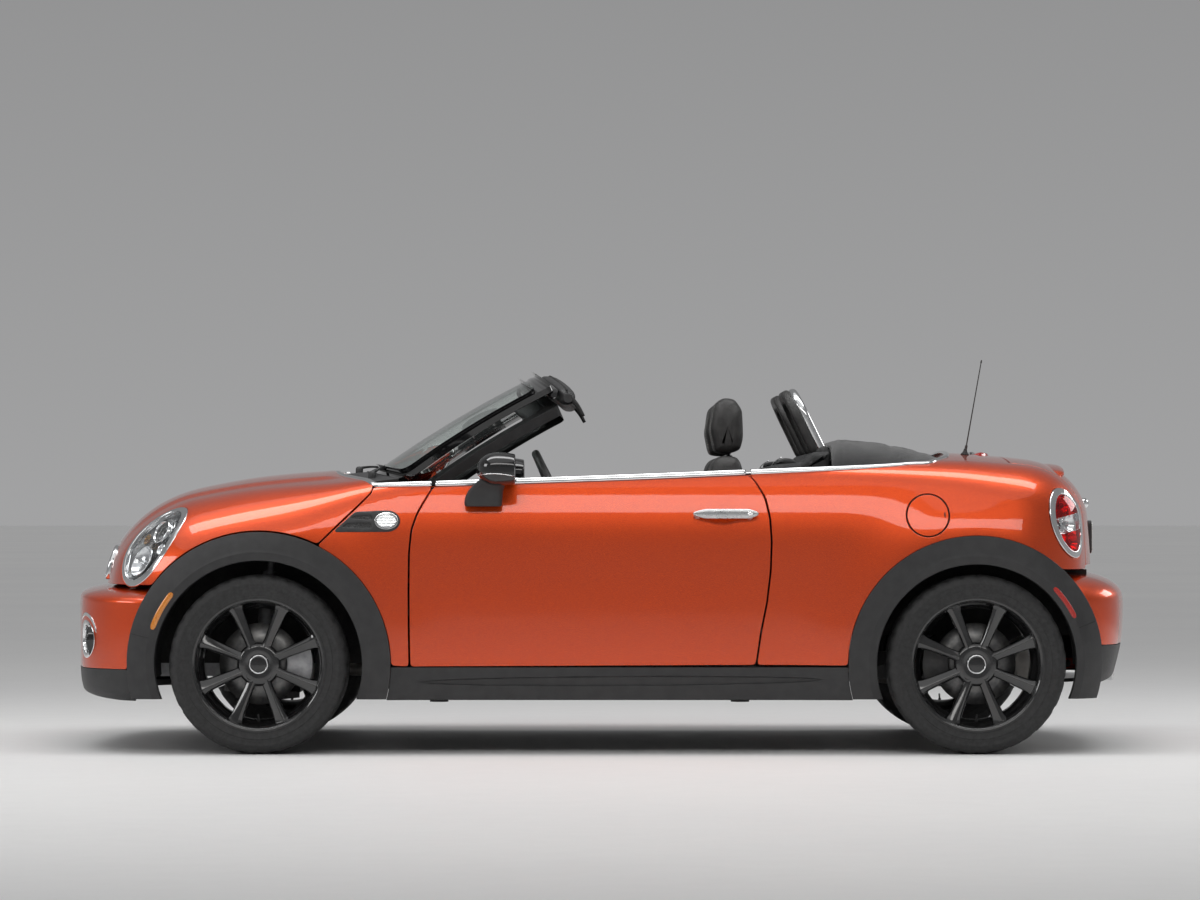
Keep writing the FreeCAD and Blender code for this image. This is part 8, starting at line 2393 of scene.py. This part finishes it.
# seams with thread on the cover
V2, F2 = [], []
for s_ in (0.235, 0.64):
    pts = V[int(s_ * nx_), 6:-6]
    for off in (-3, 3):
        P = pts + np.array([off, 0, 0.3])
        v_, f_ = stitch_line(P, np.broadcast_to(np.array([0, 0, 1.0]), P.shape), every=8, length=5, r=0.6)
        F2 += [tuple(i + len(V2) for i in q) for q in f_]
        V2 += v_
for y_i in (18, ny_ - 19):
    pts = V[6:-6, y_i]
    for off in (-3, 3):
        P = pts + np.array([0, off, 0.3])
        v_, f_ = stitch_line(P, np.broadcast_to(np.array([0, 0, 1.0]), P.shape), every=8, length=5, r=0.6)
        F2 += [tuple(i + len(V2) for i in q) for q in f_]
        V2 += v_
THREAD = make_plain("cover_thread", (0.02, 0.02, 0.02), (0.05, 0.05, 0.05), 0.6, 0.8, 300.0)
st = make_obj("folded_top_thread", V2, F2, [THREAD])
fix_normals(st)
add(st, "body", "roof_fabric")
# dark tray round the top and along the belt inside the rear quarters
for side, s in (("left", -1), ("right", 1)):
    xs = np.linspace(584, 1096, 90)
    outer = on_side(xs, np.array([float(BELT(x)) + 2 for x in xs]), upper, s)
    rows = []
    for k, (dy, dz) in enumerate(((8, -2), (10, 3), (16, 5), (28, 4), (44, -4), (58, -16), (70, -40))):
        p = outer.copy()
        p[:, 1] -= s * dy
        p[:, 2] += dz
        rows.append(p)
    Vt = np.array(rows)
    a, m = Vt.shape[:2]
    Ft = [(i * m + k, (i + 1) * m + k, (i + 1) * m + k + 1, i * m + k + 1) for i in range(a - 1) for k in range(m - 1)]
    o = make_obj("quarter_trim_%s" % side, Vt.reshape(-1, 3), Ft, [CABIN])
    if sum(p.normal.z * p.area for p in o.data.polygons) < 0:
        o.data.flip_normals()
    add(o, "body", "cabin_plastic")

# ------------------------------------------------------------------ windscreen header

HU = np.linspace(-1.0, 1.0, 61)
HE = screen(HU, 0.985 + 0 * HU)
HX = np.tile([1.0, 0, 0], (61, 1))
HZ = np.tile([0, 0, 1.0], (61, 1))


def closed_smooth(sec, step=3.0, k=2):
    return relax(resample(np.asarray(sec, float), step), k)


def header(name, sec, mat, ends=0.55):
    base = closed_smooth(sec)
    mid = base.mean(0)
    secs = []
    for u in HU:
        e = max(0.0, (abs(u) - 0.94) / 0.06)
        f = 1 - (1 - ends) * (1 - math.sqrt(max(0.0, 1 - e * e)))
        q = (base - mid) * f + mid
        q = q * np.array([1 - 0.20 * u ** 4, 1 - 0.10 * u ** 4])
        secs.append(q)
    ob = sweep(name, HE, secs, [mat], frames=(HX, HZ))
    return sharp(ob, 50) or ob


add(header("header_front", [(-18, -10), (-14, 2), (-2, 8), (14, 10.5), (30, 11), (33, 7), (33, -14), (20, -24), (0, -26), (-14, -20)], GLOSS), "body", "gloss_black")
add(header("header_rail", [(36, 7), (43, 12.5), (62, 13), (82, 9.5), (98, 1), (106, -13), (105, -31), (97, -43), (78, -50), (54, -49), (40, -41), (36, -22)], TRIM), "body", "black_plastic")
rib = header("header_seal", [(60, 10), (63, 16), (70, 16), (74, 10), (70, 6), (64, 6)], RUBBER)
add(rib, "body", "black_plastic")
parts = []
for sg in (-1, 1):
    p0, p1, p2 = np.array([-112, sg * 548, 1236.0]), np.array([-84, sg * 552, 1204.0]), np.array([-62, sg * 556, 1166.0])
    path = curve2(np.stack([p0[[0, 2]], p1[[0, 2]], p2[[0, 2]]]), 10)
    path = np.stack([path[:, 0], np.linspace(p0[1], p2[1], 10), path[:, 1]], 1)
    secs = [ring_section(1.0, 12) * np.array([9.5 - 3.5 * t, 13.0 - 6.0 * t]) for t in np.linspace(0, 1, 10)]
    parts.append(sweep("header_corner%d" % sg, path, secs, [RUBBER], up=(0, 1, 0)))
add(join("header_corners", parts), "body", "black_plastic")
# latch receivers let into the header, and the two sun visors folded up under it
parts = []
for yy in (-330, 330):
    c = screen(yy / 562.0, 0.985)
    q = rounded(46, 20, 6, 5)
    ring = np.stack([np.full(len(q), 0.0), q[:, 0], q[:, 1]], 1)
    o = lathe("latch%d" % yy, [(0, 14), (0, 11), (6, 11), (6, 8), (2, 8), (2, 0)], [SATIN], c + np.array([104, 0, -20]), axis=(1, 0, 0), n=28)
    parts.append(o)
add(join("latch_receivers", parts), "body", "bright_trim")
for i, yy in enumerate((-330, 330)):
    uu = np.linspace((yy - 190) / 575.0, (yy + 190) / 575.0, 15)
    pts = screen(uu, 0.90 + 0 * uu, -62.0)
    base = closed_smooth([(-58, -6), (-52, 5), (0, 9), (52, 5), (58, -6), (50, -11), (0, -12), (-50, -11)], 5.0)
    secs = [base * (0.90 + 0.10 * math.sqrt(max(0.0, 1 - (abs(t) ** 6)))) for t in np.linspace(-1, 1, 15)]
    nn = np.tile([-0.515, 0, 0.857], (15, 1))
    dd = np.tile([0.857, 0, 0.515], (15, 1))
    ob = sweep("sun_visor_%s" % ("left" if yy < 0 else "right"), pts, secs, [CABIN], frames=(dd, nn))
    add(ob, "body", "cabin_plastic")
# the inside mirror on its stalk
c = np.array([-262.0, 0, 1196])
mp = rounded(0.215, 0.066, 0.028, 8)
shell = panel("inside_mirror_shell", Flat(lambda a, b: np.stack([c[0] - 10 - 14 * (1 - (a / 0.125) ** 2), a * 1000, c[2] + b * 1000], -1), -1), [mp], [CABIN], depth=22, r=5, corner=2, grid=0.012, edge=3.0)
add(shell, "body", "cabin_plastic")
gl = panel("inside_mirror_glass", Flat(lambda a, b: np.stack([c[0] + 16 + 0 * a, a * 1000, c[2] + b * 1000], -1)), [mp * 0.93], [MIRROR], depth=2, r=1.0, corner=2, grid=0.012, edge=3.0, back=3.0)
add(gl, "body", "bright_trim")
st = sweep("inside_mirror_stalk", [(-268, 0, 1200), (-285, 0, 1224), (-300, 0, 1262), (-296, 0, 1276)], ring_section(8, 12), [CABIN], up=(0, 1, 0))
add(st, "body", "cabin_plastic")

# ------------------------------------------------------------------ wipers

arms, rubbers = [], []
for k, (u0, u1, px, py) in enumerate(((0.80, 0.06, -800, -560), (-0.02, -0.74, -880, 60))):
    uu = -np.linspace(u0, u1, 40)
    t = np.linspace(0, 1, 40)
    vv = 0.075 - 0.013 * np.sin(math.pi * t) + 0.0 * t
    P = screen(uu, vv, 4.0)
    nn = Flat(lambda a, b: screen(a / SU, b / SV)).normal(np.stack([uu * SU, vv * SV], 1))
    tt = np.gradient(P, axis=0)
    tt /= np.linalg.norm(tt, axis=1, keepdims=True)
    side = np.cross(tt, nn)
    lip = [(-1.2, -3.0), (1.2, -3.0), (2.0, 1.5), (3.2, 3.5), (3.2, 5.5), (-3.2, 5.5), (-3.2, 3.5), (-2.0, 1.5)]
    rubbers.append(sweep("wiper_lip%d" % k, P, np.array(lip, float), [RUBBER], frames=(side, nn), shade=False))
    prof = [closed_smooth([(-6, 5), (-5.5, 8.5), (0, 10.5 + 3.5 * (1 - abs(2 * q - 1))), (5.5, 8.5), (6, 5)], 1.5, 1) for q in t]
    n0 = min(len(q) for q in prof)
    prof = [np.stack([np.interp(np.linspace(0, len(q) - 1, 14), np.arange(len(q)), q[:, j]) for j in (0, 1)], 1) for q in prof]
    arms.append(sweep("wiper_blade%d" % k, P, prof, [TRIM], frames=(side, nn)))
    foot = on_top(px, py) + np.array([0, 0, -2.0])
    mid = P[20] + nn[20] * 13
    pts = np.stack([foot + np.array([0, 0, 12.0]), foot * 0.72 + mid * 0.28 + np.array([0, 0, 17.0]), foot * 0.35 + mid * 0.65 + np.array([0, 0, 13.0]), mid])
    s = np.linspace(0, 1, 24)
    path = np.stack([Spl([(0, p[0]), (0.3, p[1]), (0.68, p[2]), (1, p[3])])(s) for p in pts.T], 1)
    secs = [rounded(15 - 7 * q, 9 - 4 * q, 2.2 - 0.6 * q, 4) for q in s]
    arms.append(sweep("wiper_arm%d" % k, path, secs, [TRIM], up=(0, 0, 1)))
    arms.append(lathe("wiper_pivot%d" % k, [(13.5, -8), (13.5, 8), (12.0, 13), (8.5, 17), (0, 18.5)], [TRIM], foot, axis=(0, 0, 1), n=32))
    arms.append(lathe("wiper_hub%d" % k, [(0, -14), (5.5, -14), (5.5, 14), (0, 14)], [TRIM], P[20] + nn[20] * 9, axis=tuple(side[20]), n=20))
add(join("wiper_arms", arms), "body", "black_plastic", "wipers")
add(join("wiper_rubbers", rubbers), "body", "black_plastic")

# ------------------------------------------------------------------ cowl with its air slots

COWL = [(-786 - 172 * math.cos(math.radians(t)) ** 1.6, 735 * math.sin(math.radians(t))) for t in (-86, -75, -62, -48, -34, -20, -8, 0, 8, 20, 34, 48, 62, 75, 86)]
cp = np.array([((x + 6) / 1000, y * 0.94 / 1000) for x, y in COWL] + [(-0.700, 0.690), (-0.790, 0.420), (-0.822, 0), (-0.790, -0.420), (-0.700, -0.690)])
slots = []
for y0 in np.arange(-0.43, 0.44, 0.02):
    xf = np.interp(abs(y0), [0, 0.2, 0.45], [-0.942, -0.934, -0.905])
    slots.append(rounded(0.052, 0.009, 0.004, 3) + np.array([xf + 0.034, y0]))
top_fn = Flat(lambda a, b: on_top(a * 1000, b * 1000) - np.array([0, 0, 8.0]))
cw = panel("cowl_cover", top_fn, [cp] + slots, [TRIM], depth=7, r=1.2, corner=2, grid=0.026, edge=4.0)
add(cw, "body", "black_plastic", "cowl")
ca = np.array([[-0.935, -0.5], [-0.835, -0.5], [-0.825, 0.5], [-0.935, 0.5]])
ca = np.array([((x + 20) / 1000, y * 0.90 / 1000) for x, y in COWL] + [(-0.735, 0.62), (-0.80, 0.40), (-0.832, 0), (-0.80, -0.40), (-0.735, -0.62)])
add(panel("cowl_well", Flat(lambda a, b: on_top(a * 1000, b * 1000) - np.array([0, 0, 22.0])), [ca], [RUBBER], depth=2, r=1.0, corner=2, grid=0.05, edge=12.0), "body", "black_plastic")

# ------------------------------------------------------------------ engine bay dressing

def block(name, x0, x1, y0, y1, z0, z1, mat, r=14.0, top=None, seg=4):
    """A moulded block with rounded edges, its top drawn in a little."""
    bm = bmesh.new()
    bmesh.ops.create_cube(bm, size=1.0)
    for v in bm.verts:
        k = 0.96 if v.co.z > 0 else 1.0
        v.co = Vector(((x0 + x1) / 2 + v.co.x * k * (x1 - x0), (y0 + y1) / 2 + v.co.y * k * (y1 - y0), (z0 + z1) / 2 + v.co.z * (z1 - z0))) * 0.001
    bmesh.ops.bevel(bm, geom=bm.edges[:], offset=r * 0.001, segments=seg, profile=0.5, affect="EDGES")
    me = bpy.data.meshes.new(name)
    bm.to_mesh(me)
    bm.free()
    me.materials.append(mat)
    me.polygons.foreach_set("use_smooth", np.ones(len(me.polygons), bool))
    ob = bpy.data.objects.new(name, me)
    COLL.objects.link(ob)
    sharp(ob, 40)
    return ob


parts = [block("eng_a", -1490, -1140, -230, 150, 742, 792, TRIM, 16)]
for i in range(7):
    parts.append(block("eng_rib%d" % i, -1470, -1160, -205 + i * 52, -187 + i * 52, 786, 799, TRIM, 5, seg=2))
parts.append(block("airbox", -1520, -1250, 190, 335, 700, 806, TRIM, 22))
parts.append(block("battery", -1120, -960, 150, 400, 640, 800, TRIM, 8))
parts.append(lathe("coolant", [(58, 0), (60, 70), (46, 96), (30, 104), (26, 112), (26, 128), (0, 130)], [TRIM], (-1050, -330, 640), axis=(0, 0, 1), n=36))
parts.append(lathe("oil_cap", [(22, 0), (24, 12), (22, 18), (0, 20)], [TRIM], (-1200, -150, 790), axis=(0, 0, 1), n=24))
add(join("engine_covers", parts), "body", "cabin_plastic")
hoses = []
for k, pts in enumerate([[(-1500, 120, 690), (-1560, 160, 700), (-1600, 200, 670), (-1612, 240, 600)], [(-1480, -260, 700), (-1550, -300, 706), (-1600, -280, 660), (-1612, -240, 560)],
                         [(-1260, 262, 800), (-1200, 250, 826), (-1150, 180, 822), (-1130, 100, 786)], [(-1050, -330, 690), (-1120, -300, 720), (-1180, -250, 730), (-1220, -230, 760)]]):
    pts = np.array(pts, float)
    s = np.linspace(0, 1, 24)
    q = np.concatenate([[0], np.cumsum(np.linalg.norm(np.diff(pts, axis=0), axis=1))])
    path = np.stack([Spl(list(zip(q / q[-1], pts[:, j])))(s) for j in range(3)], 1)
    hoses.append(sweep("hose%d" % k, path, ring_section(17 if k < 3 else 9, 16), [RUBBER], up=(0.1, 0.2, 1.0)))
add(join("engine_hoses", hoses), "body", "black_plastic")
rad = block("radiator", -1622, -1606, -400, 400, 330, 690, make_mesh_grille("radiator_fins", (0.05, 0.05, 0.05), (0.16, 0.16, 0.165), 260.0), 6)
add(rad, "body", "cast_metal")
tops = []
for sg in (-1, 1):
    c = np.array([-1147.0, sg * 520.0, 722])
    tops.append(lathe("strut_top%d" % sg, [(62, 0), (60, 6), (40, 10), (36, 16), (14, 20), (13, 30), (0, 31)], [CHASSIS], c, axis=(0, 0, 1), n=40))
    for a in range(3):
        b = c + np.array([47 * math.cos(a * 2.094), 47 * math.sin(a * 2.094), 6])
        tops.append(lathe("strut_nut%d%d" % (sg, a), [(9, 0), (9, 8), (5, 9), (4.5, 16), (0, 17)], [STEEL], b, axis=(0, 0, 1), n=6, shade=False))
add(join("strut_tops", tops), "body", "chassis_steel")
# the boot's carpet
bt = panel("boot_carpet", Flat(lambda a, b: np.stack([a * 1000, b * 1000, 419.0 + 1.5 * np.sin(a * 31) * np.sin(b * 27)], -1)), [rounded(1.095, 0.99, 0.03, 6) + np.array([1.130, 0])], [CARPET], depth=4, r=2.5, corner=2, grid=0.05, edge=20)
add(bt, "body", "roof_fabric")

# the boot's tub: its side walls end inside the lid
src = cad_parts["rear_floor"]
Mw = np.array(src.matrix_world)
V = (np.array([tuple(v.co) for v in src.data.vertices]) @ Mw[:3, :3].T + Mw[:3, 3]) * 1000.0
k_ = np.where((V[:, 0] > 1480) & (V[:, 2] > 645))[0]
q = V[k_]
O_ = np.stack([np.full(len(k_), 1400.0), -np.abs(q[:, 1]), np.full(len(k_), 640.0)], 1)
D_ = np.stack([q[:, 0] - 1400, 0 * q[:, 0], q[:, 2] - 640], 1)
L_ = np.linalg.norm(D_, axis=1)
D_ /= L_[:, None]
far = np.linalg.norm(hit(upper, O_, D_, 20, 700) - O_, axis=1) - 24
q2 = O_ + D_ * np.minimum(L_, far)[:, None]
q2[:, 1] = q[:, 1]
print("boot tub", len(k_), int((far < L_).sum()), float((L_ - far).max()))
V[k_] = q2
tub = make_obj("boot_tub", V, [tuple(p.vertices) for p in src.data.polygons], [UNDER])
for p in tub.data.polygons:
    p.use_smooth = False
add(tub, "body", "black_plastic", "rear_floor")

# ------------------------------------------------------------------ the remaining pieces of the construction

for name, mat, bevel in (("floor_pan", UNDER, 2.0), ("engine_bay", UNDER, 1.5), ("engine_block", CAST, 6.0), ("exhaust", STEEL, 0), ("front_subframe", CHASSIS, 3.0),
                         ("rear_axle", CHASSIS, 1.5), ("knuckle_left", CAST, 1.5), ("knuckle_right", CAST, 1.5)):
    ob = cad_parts[name]
    for s in ob.material_slots:
        s.material = mat
    if not ob.material_slots:
        ob.data.materials.append(mat)
    if bevel:
        m = ob.modifiers.new("edges", "BEVEL")
        m.width, m.segments, m.limit_method, m.angle_limit = bevel * 0.001, 2, "ANGLE", math.radians(40)
        m.harden_normals = False

# ------------------------------------------------------------------ floor, light and camera

sc = bpy.context.scene
bm = bmesh.new()
bmesh.ops.create_grid(bm, x_segments=8, y_segments=8, size=160)
me = bpy.data.meshes.new("studio_floor")
bm.to_mesh(me)
bm.free()
floor = bpy.data.objects.new("studio_floor", me)
COLL.objects.link(floor)
fmat = Mat("pale_floor")
fmat.ramp(fmat.noise(0.35, 4.0), [(0.35, (0.70, 0.70, 0.70)), (0.65, (0.73, 0.73, 0.725))], "Base Color")
fmat.range(fmat.noise(9.0, 4.0), 0.3, 0.7, 0.52, 0.66, "Roughness")
fmat.bump(fmat.noise(420.0, 2.0), 0.12, 0.0006)
floor.data.materials.append(fmat.m)

world = bpy.data.worlds.new("soft_studio")
sc.world = world
world.use_nodes = True
wt = world.node_tree
wt.nodes.clear()
wo = wt.nodes.new("ShaderNodeOutputWorld")
bg = wt.nodes.new("ShaderNodeBackground")
tc = wt.nodes.new("ShaderNodeTexCoord")
sep = wt.nodes.new("ShaderNodeSeparateXYZ")
rp = wt.nodes.new("ShaderNodeValToRGB")
wt.links.new(tc.outputs["Generated"], sep.inputs[0])
wt.links.new(sep.outputs["Z"], rp.inputs[0])
for e, (p, c) in zip([rp.color_ramp.elements[0], rp.color_ramp.elements[1]] + [rp.color_ramp.elements.new(0.5) for _ in range(2)], ((0.0, 0.36), (0.08, 0.36), (0.25, 0.22), (1.0, 0.26))):
    e.position, e.color = p, (c, c, c * 1.01, 1)
wt.links.new(rp.outputs[0], bg.inputs["Color"])
wt.links.new(bg.outputs[0], wo.inputs[0])
bg.inputs["Strength"].default_value = 1.0


def soft_light(name, loc, target, size, power, tint=(1, 1, 1)):
    lt = bpy.data.lights.new(name, "AREA")
    lt.shape = "RECTANGLE"
    lt.size, lt.size_y = size
    lt.energy = power
    lt.color = tint
    ob = bpy.data.objects.new(name, lt)
    COLL.objects.link(ob)
    ob.location = loc
    d = Vector(target) - Vector(loc)
    ob.rotation_euler = d.to_track_quat("-Z", "Y").to_euler()
    return ob


soft_light("overhead_softbox", (0, -0.6, 4.6), (0, 0, 0), (7.5, 1.2), 150)
soft_light("side_softbox", (0.0, -5.2, 3.6), (0, 0, 0.6), (8.0, 0.8), 75, (1.0, 0.985, 0.96))
soft_light("nose_softbox", (-6.5, -2.5, 3.0), (-1.2, 0, 0.6), (2.2, 1.6), 60)
soft_light("tail_softbox", (6.5, 2.5, 3.2), (1.2, 0, 0.7), (2.6, 1.8), 70)

sun = bpy.data.lights.new("sky_panel", "SUN")
sun.energy, sun.angle = 0.75, math.radians(80)
so = bpy.data.objects.new("sky_panel", sun)
COLL.objects.link(so)
so.rotation_euler = (math.radians(12), math.radians(-6), 0)
sc.view_settings.view_transform = "Standard"
sc.view_settings.look = "None"
sc.view_settings.exposure = 0.0

cam = bpy.data.cameras.new("camera")
cam.lens, cam.sensor_width = 126.4, 36.0
cam.clip_start, cam.clip_end = 0.1, 500
cam.dof.use_dof = False
co = bpy.data.objects.new("camera", cam)
COLL.objects.link(co)
co.location = (-0.004, -15.28, 0.855)
co.rotation_euler = (math.radians(90.75), 0, 0)
sc.camera = co
